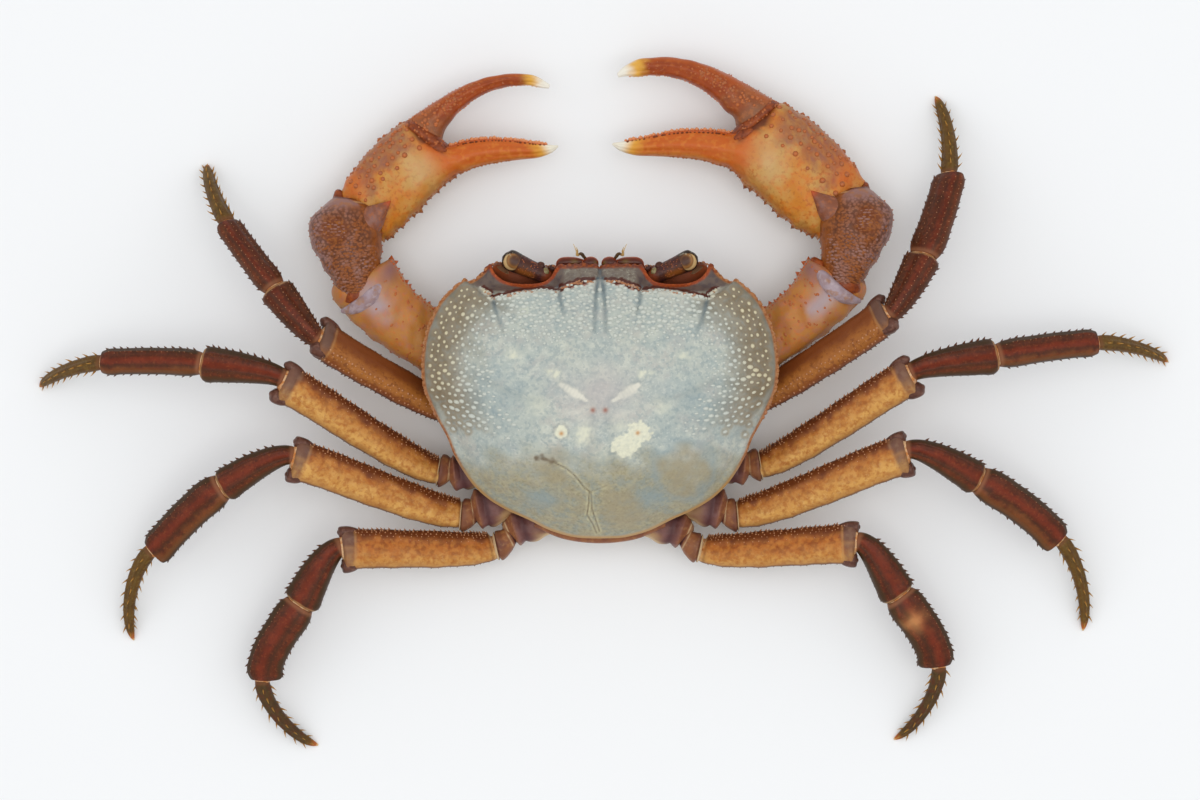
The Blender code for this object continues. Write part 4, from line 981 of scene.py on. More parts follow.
    def build(self) -> bpy.types.Object:
        """Grid fitted to the outline, rims and walls extruded from its edge, and its underside.

        Returns:
            The shell with its masks.
        """
        across, down = self.grid
        deselect()
        bpy.ops.mesh.primitive_grid_add(x_subdivisions=across, y_subdivisions=down, size=2.0)
        piece = bpy.context.active_object
        xy, number = self.plan(piece)
        x, y = xy[:, 0], xy[:, 1]
        top = np.stack([x, y, self.height(x, y)], 1)
        rings = self.rings()
        trace = piece.data.attributes.new("along", "INT", "POINT")
        trace.data.foreach_set("value", number.astype(np.int32))
        piece.data.attributes.new("ring", "INT", "POINT")
        bpy.ops.object.mode_set(mode="EDIT")
        bpy.ops.mesh.select_mode(type="EDGE")
        bpy.ops.mesh.select_all(action="DESELECT")
        bpy.ops.mesh.select_non_manifold()
        for k in range(len(rings) + 1):
            bpy.ops.mesh.extrude_edges_move()
            bm = bmesh.from_edit_mesh(piece.data)
            layer = bm.verts.layers.int["ring"]
            for vert in bm.verts:
                if vert.select:
                    vert[layer] = k + 1
        bpy.ops.mesh.merge(type="CENTER")
        bpy.ops.mesh.select_all(action="SELECT")
        bpy.ops.mesh.normals_make_consistent(inside=False)
        bpy.ops.object.mode_set(mode="OBJECT")
        count = len(piece.data.vertices)
        ring = np.zeros(count, np.int32)
        piece.data.attributes["ring"].data.foreach_get("value", ring)
        along = np.zeros(count, np.int32)
        piece.data.attributes["along"].data.foreach_get("value", along)
        co = np.zeros((count, 3))
        co[ring == 0] = top
        for k, points in enumerate(rings):
            where = ring == k + 1
            co[where] = points[along[where]]
        co[ring > len(rings)] = self.belly
        for name in ("ring", "along"):
            piece.data.attributes.remove(piece.data.attributes[name])
        finish_piece(piece, "carapace_shell", co)
        share = self.socket_share(self.outline())
        self.paint(piece, co, ring, np.where(ring > 0, share[np.clip(along, 0, len(share) - 1)], 0.0))
        return piece

    def paint(self, piece: bpy.types.Object, co: Array, ring: Array, socket: Array) -> None:
        """Give the shell its masks.

        Args:
            piece: The finished shell.
            co: Its points in millimetres.
            ring: Number of the wall ring of each point, 0 on the dome.
            socket: How far each point belongs to a socket.
        """
        x, y = co[:, 0], co[:, 1]
        far = np.abs(x)
        dome = (ring == 0).astype(float)
        _, inside, _ = self.polar(x, y)
        wave = ripple(x, y, 6.0, 31)
        scar = np.hypot(x - self.round_scar[0], y - self.round_scar[1]) + 0.12 * ripple(x, y, 1.0, 34)
        # One of these masks is painted shade, a dark ring round the foot of each granule
        masks = {**self.front_masks(x, y, scar), **self.scar_masks(x, y, scar, wave),
                 **self.tint_masks(x, y, inside, wave), "halo": self.halo(co)}
        masks = {name: values * dome for name, values in masks.items()}
        skirt = smooth(-9.5, -14.0, y)
        socket = smooth(0.2, 0.6, socket)
        rolled = ((ring >= 1) & (ring <= 3)).astype(float)
        wall = (ring >= 4).astype(float)
        rim = np.maximum(rolled, dome * smooth(0.45, 0.1, inside))
        brink = dome * (far > 6.4) * (far < 19.2) * smooth(0.62, 0.3, self.socket_away(x, y) + 0.08 * wave)
        lip = dome * smooth(22.15, 22.5, y + 0.1 * wave) * (far < 7.2)
        give_mask(
            piece, **masks, wall=wall * np.where(ring <= 9, 1.0 - socket, 1.0),
            socket=wall * socket * ((ring <= 8) + 0.45 * (ring == 10)),
            # Painted shade on the rings under the socket rims
            socket_deep=socket * wall * (ring <= 6),
            socket_rim=np.maximum(brink, (rolled + (ring == 9)) * socket),
            margin=rim * (1.0 - skirt) * (1.0 - socket) * (y < 21.5), rear_margin=rim * skirt,
            front_rim=np.maximum(rim, lip) * (y > 21.5) * (1.0 - socket),
        )

    def front_masks(self, x: Array, y: Array, scar: Array) -> dict:
        """Masks of the dark front, the crests and the grooves.

        Args:
            x: Plan positions to the right.
            y: Plan positions to the front.
            scar: Distance from the round scar.

        Returns:
            Shares of the points by the mask's name.
        """
        far = np.abs(x)
        start = np.interp(far, self.across_stations, self.front_line)
        ahead = smooth(-0.1, 0.25, y - start) * (1.0 - smooth(20.5, 22.5, far))
        dark, pale, groove = np.zeros(len(x)), np.zeros(len(x)), np.zeros(len(x))
        jag = 0.12 * ripple(x, y, 1.0, 77)
        for k, crest in enumerate(self.crests):
            away, side, along = to_path(far, y, crest)
            near = away < 1.5
            dark = np.maximum(dark, smooth(0.36, 0.2, np.abs(side - 0.2 + jag)) * near)
            light = bell(side + 0.4 + jag, 0.42) * near * (0.8 + 0.4 * ripple(x, y, 0.9, 78))
            pale = np.maximum(pale, light)
            if k == 0:
                inner = near * smooth(0.1, 0.3, along)
                rust = smooth(0.62, 0.4, np.abs(side + 0.4 + 0.6 * jag)) * inner * smooth(0.98, 0.9, along)
                dark = np.maximum(dark, smooth(0.3, 0.16, np.abs(side + 0.5 - jag * 2.0)) * inner)
        for k, (path, _, width) in enumerate(self.grooves):
            away, _, along = to_path(far, y, path)
            strength = 1.0 if k < self.dark_grooves else 0.25
            groove = np.maximum(groove, bell(away, width * 1.1) * (1.0 - 0.7 * along) * strength)
        return {
            "front": ahead, "lobe": ahead * smooth(6.6, 5.6, far) * (0.75 + 0.3 * ripple(x, y, 2.4, 6)),
            "groove": groove,
            "crest_pale": pale, "crest_rust": rust * smooth(-0.9, -0.1, ripple(x, y, 0.7, 79)),
            "crest_dark": np.maximum(dark, 0.16 * bell(scar - 1.3, 0.2)),
        }

    def scar_masks(self, x: Array, y: Array, scar: Array, wave: Array) -> dict:
        """Masks of the cracks, scars, pale spots and strokes.

        Args:
            x: Plan positions to the right.
            y: Plan positions to the front.
            scar: Distance from the round scar.
            wave: Broad waves that break the edges up.

        Returns:
            Shares of the points by the mask's name.
        """
        far = np.abs(x)
        jag = 0.12 * ripple(x, y, 1.0, 77)
        speck = ripple(x, y, 0.9, 41)
        crack, crack_edge = np.zeros(len(x)), np.zeros(len(x))
        strengths = ((0.8, 0.75),) * 3 + ((0.3, 0.3),)
        for line, (deep, edge) in zip((*self.cracks, self.scratch, self.scratch_end), strengths):
            away, _, _ = to_path(x, y, line)
            crack = np.maximum(crack, bell(away, 0.11) * deep * (0.8 + 0.3 * speck))
            crack_edge = np.maximum(crack_edge, bell(away - 0.26, 0.18) * (0.6 + 0.4 * speck) * edge)
        blotch = to_path(x, y, self.blotch)[0] + 0.3 * ripple(x, y, 1.0, 33)
        crack = np.maximum(crack, bell(blotch, 0.36) * 0.8)
        torn = self.white_patch(x + 0.3 * ripple(x, y, 1.1, 37), y + 0.3 * ripple(x, y, 1.1, 38))
        white = np.maximum(torn, 0.9 * smooth(1.3, 0.85, scar))
        spots = sum(bell(np.hypot(x - px, (y - py) * 1.3) + 0.3 * speck, size) * share
                    for px, py, size, share in self.spots)
        away, _, along = to_path(far, y, self.stroke)
        broad = 0.3 + 0.75 * bell(along - 0.32, 0.3)
        strokes = smooth(1.1, 0.35, (away + jag) / broad) * (0.88 + 0.12 * np.sin(along * 60.0))
        strokes = strokes * smooth(1.0, 0.85, along)
        faint = to_path(far, y, self.faint_stroke)[0]
        strokes = np.maximum(strokes, 0.45 * bell(faint + 0.3 * wave, 0.6))
        strokes = np.maximum(strokes, 0.5 * bell(np.hypot(x + 2.4, (y + 5.6) * 0.6) + 0.4 * wave, 0.9))
        return {
            "stroke": strokes * (0.8 + 0.3 * wave), "pale": np.minimum(spots, 1.0) * (1.0 - white),
            "white": white,
            "crack": crack, "crack_edge": crack_edge,
            "amber": np.maximum(bell(np.hypot(x - 6.3, y + 5.5), 0.35),
                                bell(np.hypot(x + 6.45, y + 5.6), 0.36)),
            "red": np.maximum(bell(np.hypot(x + 1.2, y + 1.7), 0.42),
                              bell(np.hypot(x - 0.9, y + 1.7), 0.42)),
        }

    @staticmethod
    def tint_masks(x: Array, y: Array, inside: Array, wave: Array) -> dict:
        """Masks of the broad tints of the dome.

        Args:
            x: Plan positions to the right.
            y: Plan positions to the front.
            inside: Distance from the margin.
            wave: Broad waves that break the edges up.

        Returns:
            Shares of the points by the mask's name.
        """
        far = np.abs(x)
        half = 0.5 * wave
        tan = (smooth(5.4, 3.0, np.hypot(x - 14.2, (y + 11.7) * 0.95) + half)
               * (0.75 + 0.3 * ripple(x, y, 2.5, 35)))
        for px, py, last, strength in ((3.6, -18.6, 2.0, 0.7), (-7.5, -11.0, 1.6, 0.6)):
            tan = np.maximum(tan, strength * smooth(4.6, last, np.hypot(x - px, y - py) + 0.6 * wave))
        blue = 0.5 * bell(np.hypot(far - 17.0, y + 1.0) + wave, 5.0)
        for px, py in ((9.0, -16.4), (-9.8, -16.8)):
            blue = np.maximum(blue, 0.8 * bell(np.hypot((x - px) * 0.6, y - py) + 0.4 * wave, 1.9))
        blue = np.maximum(blue, 0.6 * bell(np.hypot(x - 14.2, y + 11.7) - 4.9 + half, 0.9))
        return {
            "shoulder": smooth(12.0, 2.5, inside + 1.2 * wave) * smooth(-7.0, 2.0, y)
            * smooth(12.0, 18.0, far),
            "rear": smooth(-7.0, -15.0, y + 1.5 * wave) * 0.9, "blue": blue, "tan": tan,
            "blush": bell(np.hypot(x * 0.7, y - 1.0) + 0.6 * wave, 4.5),
        }

    def socket_away(self, x: Array, y: Array) -> Array:
        """Plan distance from the edge of the sockets."""
        return to_path(np.abs(x), y, tuple(map(tuple, np.array(self.front)[5:17])))[0]

    def halo(self, co: Array) -> Array:
        """Painted shade: a dark ring round the foot of each granule.

        Args:
            co: Points of the shell in millimetres.

        Returns:
            Share of the ring at each point.
        """
        spots = self.granule_places()
        tree = KDTree(len(spots))
        for i, spot in enumerate(spots):
            tree.insert((spot[0], spot[1], 0.0), i)
        tree.balance()
        away = np.array([tree.find((p[0], p[1], 0.0))[2] for p in co])
        x, y = co[:, 0], co[:, 1]
        return (bell(away - 0.5, 0.3) * smooth(10.0, 3.0, self.polar(x, y)[1])
                * smooth(15.0, 20.0, np.abs(x)))

    def granule_places(self) -> Array:
        """Plan places, spacing and size of the granules, thrown with a least distance between them.

        Returns:
            Rows of x, y, radius and stretch across.
        """
        if self.places is not None:
            return self.places
        draw = np.random.default_rng(self.granule_seed)
        tries = np.stack([draw.uniform(*span, self.granule_tries)
                          for span in ((-30.0, 30.0), (-20.0, 22.0))], 1)
        share, inside, _ = self.polar(tries[:, 0], tries[:, 1])
        far = np.abs(tries[:, 0])
        y = tries[:, 1]
        crest = np.interp(far, self.across_stations, self.bead_line)
        shoulder = smooth(13.0, 9.0, inside) * smooth(-6.5, -1.0, y)
        brow = smooth(9.0, 13.0, y) * smooth(0.8, 1.6, far) * smooth(24.0, 18.0, far)
        dark = self.grooves[:self.dark_grooves]
        clear = np.minimum.reduce([to_path(far, y, path)[0] for path, _, _ in dark])
        amount = np.maximum(shoulder, brow) * (inside > 1.25) * (y < crest) * (share < 1.0) * (clear > 0.45)
        spacing = np.interp(inside, [1.0, 5.0, 9.0, 14.0], [0.95, 0.86, 0.76, 0.72])
        spacing = spacing + (0.7 - spacing) * brow * smooth(20.0, 15.0, far)
        kept = []
        picked = np.nonzero(draw.uniform(size=len(tries)) < amount)[0]
        for k in picked[keep_apart(tries[picked], spacing[picked])]:
            size = np.interp(inside[k], [1.0, 6.0, 12.0], [0.36, 0.33, 0.26]) * draw.uniform(0.55, 1.2)
            size = size + (draw.uniform(0.24, 0.42) - size) * brow[k] * smooth(20.0, 15.0, far[k])
            long = 1.0 + np.maximum(smooth(10.0, 4.0, y[k]), 0.6 * brow[k]) * draw.uniform(0.3, 1.1)
            kept.append((*tries[k], size, long))
        self.places = np.array(kept)
        return self.places

    def cheeks(self, count: int, draw: np.random.Generator) -> Array:
        """Places thrown evenly over the front half of the side walls.

        Args:
            count: How many there are.
            draw: Source of the random places.

        Returns:
            Points in millimetres.
        """
        loop, rings = self.outline(), np.array(self.rings())
        picks = draw.choice(np.nonzero(loop[:, 1] > 3.0)[0], count)
        share = draw.uniform(0.05, 0.85, count)
        low = np.where(self.socket_share(loop)[picks] > 0.5, 9.0 + share, 4.0 + 6.0 * share)
        step = low.astype(int)
        part = (low - step)[:, None]
        return rings[step, picks] * (1.0 - part) + rings[step + 1, picks] * part

    def build_granules(self, bead: tuple) -> bpy.types.Object:
        """Beads of the shoulders and brow, and the small teeth of the margin and crests.

        Args:
            bead: Points and triangles of one bead.

        Returns:
            The joined beads with their masks.
        """
        spots = self.granule_places()
        x, y = spots[:, 0], spots[:, 1]
        draw = np.random.default_rng(self.granule_seed + 1)
        loop = self.outline()
        rim = loop[(loop[:, 1] > -3.0) & (np.abs(loop[:, 0]) > 19.0)][::5]
        rim_z = self.height(rim[:, 0], rim[:, 1]) - 0.25
        rim = rim * (1.0 + 0.1 / np.linalg.norm(rim, axis=1, keepdims=True))
        crest_xy = np.concatenate([along_path(np.array(c), int(8 * len(c))) for c in self.crests])
        crest_xy = np.concatenate([crest_xy, crest_xy * (-1.0, 1.0)]) + (0.0, -0.3)
        crest_xy = crest_xy + draw.normal(0.0, 0.1, crest_xy.shape)
        crest_z = self.height(crest_xy[:, 0], crest_xy[:, 1])
        brim_x = np.concatenate([side * np.linspace(7.9, 18.2, 17) for side in (-1.0, 1.0)])
        fringe, floor = self.lip(brim_x)
        brim = np.stack([brim_x, fringe + 0.05, floor + 0.3], 1)
        cheek = self.cheeks(self.cheek_beads, draw)
        brim = np.concatenate([brim, cheek])
        places = np.concatenate([
            np.stack([x, y, self.height(x, y)], 1), np.stack([rim[:, 0], rim[:, 1], rim_z], 1), brim,
            np.stack([crest_xy[:, 0], crest_xy[:, 1], crest_z], 1)])
        step = 0.2
        px, py = places[:, 0], places[:, 1]
        slope_x = (self.height(px + step, py) - self.height(px - step, py)) / (2.0 * step)
        slope_y = (self.height(px, py + step) - self.height(px, py - step)) / (2.0 * step)
        ways = unit(np.stack([-slope_x, -slope_y, np.ones(len(px))], 1))
        beads = slice(len(x), len(x) + len(rim) + len(brim))
        ways[beads][:len(rim)] = unit(np.stack([rim[:, 0], rim[:, 1] * 1.2, np.full(len(rim), 12.0)], 1))
        ways[beads][len(rim):] = (0.0, 0.9, 0.43)
        down = np.full(len(cheek), -6.0)
        ways[beads][len(rim) + len(brim_x):] = unit(np.stack([cheek[:, 0] * 0.3, cheek[:, 1], down], 1))
        radii = np.concatenate([
            spots[:, 2],
            draw.uniform(0.3, 0.52, len(rim)),
            np.full(len(brim_x), 0.3),
            draw.uniform(0.1, 0.22, len(cheek)),
            np.full(len(crest_z), 0.24),
        ])
        radii = radii * draw.uniform(0.85, 1.15, len(radii))
        stretch = np.concatenate([spots[:, 3], np.ones(len(rim) + len(brim)), np.full(len(crest_z), 1.3)])
        piece = scatter("carapace_granules", bead, places, ways, radii, radii * 0.62, stretch)
        size = len(piece.data.vertices) // len(places)
        warm = (smooth(8.0, 3.0, self.polar(px, py)[1]) * smooth(-3.0, 5.0, py)
                * smooth(17.0, 21.0, np.abs(px)))
        rust = np.zeros(len(px))
        rust[beads] = 1.0
        first = len(along_path(np.array(self.crests[0]), int(8 * len(self.crests[0]))))
        for start in (0, len(crest_z) // 2):
            rust[beads.stop + start:beads.stop + start + first] = draw.uniform(size=first) > 0.25
        rust[beads.stop:] = np.maximum(rust[beads.stop:], 0.8 * (draw.uniform(size=len(crest_z)) > 0.7))
        tip = np.tile(bead[0][:, 2], len(places))
        give_mask(piece, warm=np.repeat(warm, size), warm_tip=np.repeat(warm, size) * tip,
                  rust=np.repeat(rust, size))
        return piece

    def dress(self, seeds: Seeds) -> None:
        """Build and dress the shell and its granules."""
        dress(self.build(), BACK_SHELL, "carapace_shell", "carapace")
        dress(self.build_granules(seeds.bead), GRANULE_SHELL, "carapace_shell")


# Legs: ochre to rusty cuticle with brown freckles, dark edges, a purple-grey cuff at the knee
OCHRE_MERUS = Shell(
    "leg_merus_ochre_cuticle", "CE9C54",
    layers=(
        Mottle(3.2, "C48E46", 0.52, 0.12, 0.6), Mottle(1.5, "B87C38", 0.56, 0.1, 0.5),
        Mottle(1.1, "A05C26", 0.57, 0.1, 0.6),
        Mottle(0.7, "98561E", 0.56, 0.09, 0.5), Mottle(0.5, "D6B074", 0.62, 0.06, 0.3),
        Zone("rust", "A6581C", 0.82),
        Mottle(1.0, "6E3010", 0.54, 0.1, 0.55, "rust"),
        Mottle(0.8, "BC7A34", 0.56, 0.08, 0.5, "rust"),
        Zone("ventral", "A87440", 0.5), Zone("under", "A98560", 0.8), Zone("edge", "5C2A12", 0.9),
        Zone("rim_line", "4A2414", 0.8),
        Zone("cuff", "684A40", 0.9), Mottle(1.0, "82624E", 0.54, 0.12, 0.6, "cuff"),
        Zone("suture", "B8864E", 0.55),
        Zone("root", "CDA878", 0.7), Zone("root_line", "4C2212", 0.85),
    ),
    reliefs=(Relief(Pattern.GRAIN, 0.35, 0.035), Relief(Pattern.GRAIN, 1.4, 0.05)),
    roughness=(0.4, 0.54), coat=0.06,
)
RUSTY_MERUS = Shell(
    "leg_merus_rusty_cuticle", "A0642A",
    layers=(
        Mottle(3.0, "885020", 0.52, 0.12, 0.6), Mottle(0.7, "5C2A16", 0.58, 0.06, 0.5),
        Mottle(0.5, "B8763C", 0.6, 0.06, 0.4),
        Zone("ventral", "7A3E22", 0.7), Zone("under", "A07A54", 0.8), Zone("edge", "5E2A16", 0.9),
        Zone("rim_line", "3C1A10", 0.8),
        Zone("rust", "8A4A1C", 0.5), Zone("cuff", "644A40", 0.9), Zone("suture", "B08250", 0.55),
        Zone("root", "C09268", 0.7),
        Zone("root_line", "4C2212", 0.8),
    ),
    reliefs=(Relief(Pattern.GRAIN, 0.35, 0.035), Relief(Pattern.GRAIN, 1.4, 0.05)),
    roughness=(0.4, 0.54), coat=0.06,
)
# Outer leg segments: dense red-brown pigment, olive along the toothed margins
DARK_SHELL = Shell(
    "leg_outer_dark_cuticle", "541F08",
    layers=(
        Mottle(2.6, "70301A", 0.5, 0.12, 0.6), Mottle(0.7, "3A160C", 0.56, 0.08, 0.6),
        Mottle(0.45, "8A4A26", 0.62, 0.05, 0.45),
        Zone("under", "5E3A28", 0.8), Zone("edge", "3A2812", 0.92), Zone("ridge", "3E2412", 0.75),
        Zone("groove", "7A2A10", 0.55),
        Zone("warm", "7E4A20", 0.6),
        Zone("suture", "B98A58", 0.8), Zone("root", "8C5A3C", 0.7), Zone("patch", "C98A54", 0.75),
    ),
    reliefs=(Relief(Pattern.GRAIN, 0.3, 0.05), Relief(Pattern.GRAIN, 1.1, 0.06)),
    roughness=(0.4, 0.56), coat=0.05,
)
TOE_SHELL = Shell(
    "toe_olive_cuticle", "664610",
    layers=(
        Mottle(1.4, "46300E", 0.52, 0.1, 0.6), Mottle(0.5, "84682C", 0.6, 0.06, 0.5),
        Zone("under", "5E4C2C", 0.7),
        Zone("ridge", "6E5A30", 0.4), Zone("dusk", "36281A", 0.75),
        Mottle(1.2, "5A2A14", 0.55, 0.12, 0.7, "dusk"),
        Zone("tip", "B4622A", 0.9), Zone("point", "E0C08A", 0.85), Zone("root", "6E4426", 0.7),
    ),
    reliefs=(Relief(Pattern.GRAIN, 0.3, 0.05),), roughness=(0.42, 0.6), coat=0.06,
)
# Hip pieces under the shell: bulging purple-brown cuticle edged with cream
HIP_SHELL = Shell(
    "leg_hip_cuticle", "8E5A38",
    layers=(
        Mottle(2.2, "744434", 0.5, 0.12, 0.7), Mottle(0.7, "AE7E4C", 0.6, 0.08, 0.4),
        Zone("swell", "6C4644", 0.85),
        Mottle(1.6, "86605E", 0.56, 0.12, 0.5, "swell"), Zone("tan", "BE9A68", 0.85),
        Zone("dark", "3E1E24", 0.9),
        Zone("flame", "96501E", 0.9), Zone("pale", "CDB28A", 0.9), Zone("under", "B59A74", 0.7),
    ),
    reliefs=(Relief(Pattern.GRAIN, 0.4, 0.04),), roughness=(0.38, 0.52), coat=0.12,
)
# Joint skin: thin uncalcified cuticle, pale and waxy, with fine folds
JOINT_SKIN = Shell(
    "joint_membrane_cuticle", "BE7A40",
    layers=(Mottle(0.8, "E0C69E", 0.5, 0.12, 0.6), Mottle(0.5, "8C4A2A", 0.6, 0.08, 0.5)),
    reliefs=(Relief(Pattern.GRAIN, 0.25, 0.06),), roughness=(0.4, 0.55),
)
# Knee lobes: dark purple-brown cuticle over the joint
KNEE_SHELL = Shell("knee_lobe_cuticle", "5E3A2E",
                   layers=(Mottle(1.0, "46281F", 0.52, 0.1, 0.6), Mottle(0.8, "7E5A4C", 0.58, 0.08, 0.5)),
                   reliefs=(Relief(Pattern.GRAIN, 0.35, 0.05),), roughness=(0.36, 0.5), coat=0.12)
# Teeth and spines: hard horn-like tips, amber to cream, on dark roots
PALE_TEETH = Shell("tooth_horn_pale", "5E2A10", layers=(Zone("tip", "D29A70", 0.9),),
                   roughness=(0.35, 0.45))
DARK_TEETH = Shell("tooth_horn_dark", "3A2016", layers=(Zone("tip", "7A4A2A", 0.7),),
                   roughness=(0.35, 0.45))
GOLD_SPINES = Shell("spine_horn_golden", "6A4216", layers=(Zone("tip", "CF9A3E", 0.9),),
                    roughness=(0.3, 0.4))


class Part(Enum):
    """Segments of a limb from the trunk outwards."""

    BASE = "base"
    MERUS = "merus"
    CARPUS = "carpus"
    PROPODUS = "propodus"
    DACTYLUS = "dactylus"


class Body(Enum):
    """Kinds of flat-lying bodies."""

    ARM = "arm"
    WRIST = "wrist"
    COXA = "coxa"
    ISCHIUM = "ischium"
    HAND = "hand"
    FINGER = "finger"

    @property
    def hollow(self) -> float:
        """How far the far end is hollowed, in millimetres."""
        return {Body.ARM: 0.4, Body.WRIST: 0.5, Body.COXA: -0.7, Body.ISCHIUM: -0.2}.get(self, -0.1)


class Tube:
    """A closed skin over a curved axis, which a round sleeve is shaped to."""

    name: str

    def skin(self, s: Array, angle: Array, radial: Array) -> Array:
        """Points at shares of the length, angles round it and shares of the way from its axis."""
        raise NotImplementedError

    def masks(self, s: Array, angle: Array, co: Array) -> dict:
        """Masks of the piece's points."""
        return {}

    def ease(self, s: Array) -> Array:
        """Move rings towards both ends, where the rims curve most."""
        return s - 0.6 * np.sin(2.0 * math.pi * s) / (2.0 * math.pi)

    def spots(self, s: Array, angle: Array) -> tuple[Array, Array, Array]:
        """Places on the skin with the outward way and the way along.

        Args:
            s: Shares of the length.
            angle: Angles round the axis in radians.

        Returns:
            Places, outward ways and ways along, one row each.
        """
        s, angle = np.broadcast_arrays(np.asarray(s, float), np.asarray(angle, float))
        one = np.ones(s.shape)
        here = self.skin(s, angle, one)
        low, high = np.clip(s - 0.01, 0.002, 0.998), np.clip(s + 0.01, 0.002, 0.998)
        along = unit(self.skin(high, angle, one) - self.skin(low, angle, one))
        round_it = self.skin(s, angle + 0.05, one) - self.skin(s, angle - 0.05, one)
        out = unit(np.cross(round_it, along))
        inward = self.skin(s, angle, one * 0.0) - here
        out = out * -np.sign(np.sum(out * inward, axis=1, keepdims=True))
        return here, out, along

    def piece(self, sides: int, cuts: int) -> bpy.types.Object:
        """Shape a sleeve to the skin and store its masks.

        Args:
            sides: Faces round it.
            cuts: Rings along it.

        Returns:
            The finished object.
        """
        item, s, angle, radial = sleeve(sides, cuts)
        s = np.where((s < END) | (s > 1.0 - END), np.rint(s), self.ease(s))
        co = self.skin(s, angle, radial)
        finish_piece(item, self.name, co)
        face_out(item)
        give_mask(item, **self.masks(s, angle, co))
        return item


@dataclass(frozen=True)
class Row:
    """A row of teeth: angle round the segment, first and last share, how many, size, lean, finish."""

    angle: float
    first: float
    last: float
    count: int
    radius: float
    height: float
    lean: float
    finish: Shell


@dataclass
class LegSegment(Tube):
    """One leg segment: a curve between two joints with a profile swept along it, as in the solids."""

    part: Part
    name: str
    side: Side
    start: Array
    end: Array
    lead: Array
    trail: Array
    roll: float
    width: float
    thick: float
    skew: float = 0.0
    number: int = 3
    # How strongly a segment's curve follows its end faces
    pull: dict = field(default_factory=lambda: {
        Part.BASE: 0.9, Part.MERUS: 0.45, Part.CARPUS: 0.6, Part.PROPODUS: 0.9, Part.DACTYLUS: 0.85})
    # Fraction of length, dorsal half width, ventral half width, thickness
    profiles: dict = field(default_factory=lambda: {
        Part.BASE: ((0.0, 0.48, 0.48, 0.90), (0.35, 0.50, 0.50, 1.0), (0.62, 0.50, 0.48, 0.95),
                    (0.70, 0.40, 0.40, 0.80), (0.93, 0.42, 0.42, 0.80), (1.0, 0.36, 0.36, 0.70)),
        Part.MERUS: ((0.0, 0.29, 0.27, 0.62), (0.03, 0.36, 0.31, 0.76), (0.12, 0.43, 0.35, 0.90),
                     (0.38, 0.50, 0.43, 1.0), (0.75, 0.49, 0.51, 1.0), (0.92, 0.48, 0.54, 0.97),
                     (0.98, 0.47, 0.52, 0.88), (1.0, 0.42, 0.42, 0.72)),
        Part.CARPUS: ((0.0, 0.29, 0.27, 0.66), (0.12, 0.33, 0.29, 0.80), (0.40, 0.43, 0.38, 0.96),
                      (0.75, 0.51, 0.49, 1.0), (0.95, 0.50, 0.50, 0.96), (1.0, 0.44, 0.43, 0.80)),
        Part.PROPODUS: ((0.0, 0.42, 0.40, 0.84), (0.06, 0.48, 0.46, 0.98), (0.40, 0.51, 0.50, 1.0),
                        (0.78, 0.49, 0.50, 0.90), (0.95, 0.48, 0.49, 0.80), (1.0, 0.42, 0.43, 0.68)),
        Part.DACTYLUS: ((0.0, 0.46, 0.46, 0.84), (0.06, 0.50, 0.50, 1.0), (0.30, 0.47, 0.47, 0.94),
                        (0.55, 0.41, 0.41, 0.82), (0.80, 0.32, 0.32, 0.62), (0.93, 0.20, 0.20, 0.40),
                        (1.0, 0.06, 0.06, 0.14)),
    })

    def frames(self, s: Array) -> tuple[Array, Array, Array, Array]:
        """Middle, direction, dorsal way and top way at shares of the length.

        Args:
            s: Shares of the length.

        Returns:
            Four sets of vectors, one row for each share.
        """
        t = np.asarray(s, float)[:, None]
        pull = np.linalg.norm(self.end - self.start) * self.pull[self.part]
        lead, trail = self.lead * pull, self.trail * pull
        point = (self.start * (2 * t ** 3 - 3 * t ** 2 + 1) + lead * (t ** 3 - 2 * t ** 2 + t)
                 + self.end * (3 * t ** 2 - 2 * t ** 3) + trail * (t ** 3 - t ** 2))
        along = unit(self.start * (6 * t ** 2 - 6 * t) + lead * (3 * t ** 2 - 4 * t + 1)
                     + self.end * (6 * t - 6 * t ** 2) + trail * (3 * t ** 2 - 2 * t))
        across = unit(np.cross(UP, along) * self.side.value)
        up = np.cross(across, along) * -self.side.value
        turn = -math.radians(self.roll) * self.side.value
        across, up = (v * math.cos(turn) + np.cross(along, v) * math.sin(turn) for v in (across, up))
        return point, along, across, up

    def skin(self, s: Array, angle: Array, radial: Array) -> Array:
        """Points of the segment's skin, with its ridges and grooves.

        Args:
            s: Shares of the length.
            angle: Angles round the axis in radians.
            radial: Shares of the way from the axis to the skin.

        Returns:
            One point in millimetres for each share.
        """
        point, along, across, up = self.frames(s)
        profile = np.array(self.profiles[self.part])
        front, back, depth = spline(profile[:, 0], profile[:, 1:], s).T
        shift = self.skew * s ** 4
        c, sn = power(np.cos(angle), 2.0 / SQUARENESS), power(np.sin(angle), 2.0 / SQUARENESS)
        reach = np.where(c > 0.0, (front + shift) * self.width, (back - shift) * self.width)
        half = depth * self.thick / 2.0
        out = across * (reach * c * radial)[:, None] + up * (half * sn * (1.0 - 0.22 * c) * radial)[:, None]
        size = np.linalg.norm(out, axis=1, keepdims=True)
        rise = self.forms(s, c, sn) * np.minimum(radial * 1.5, 1.0) * (size[:, 0] > 1e-4)
        out = out + out / np.maximum(size, 1e-6) * rise[:, None]
        near, far = (s < END), (s > 1.0 - END)
        cap = (1.0 - radial ** 2) * (near * -0.25 - far * (0.1 if self.part is Part.DACTYLUS else 0.6))
        return point + out + along * (cap * (radial < SKIN))[:, None]

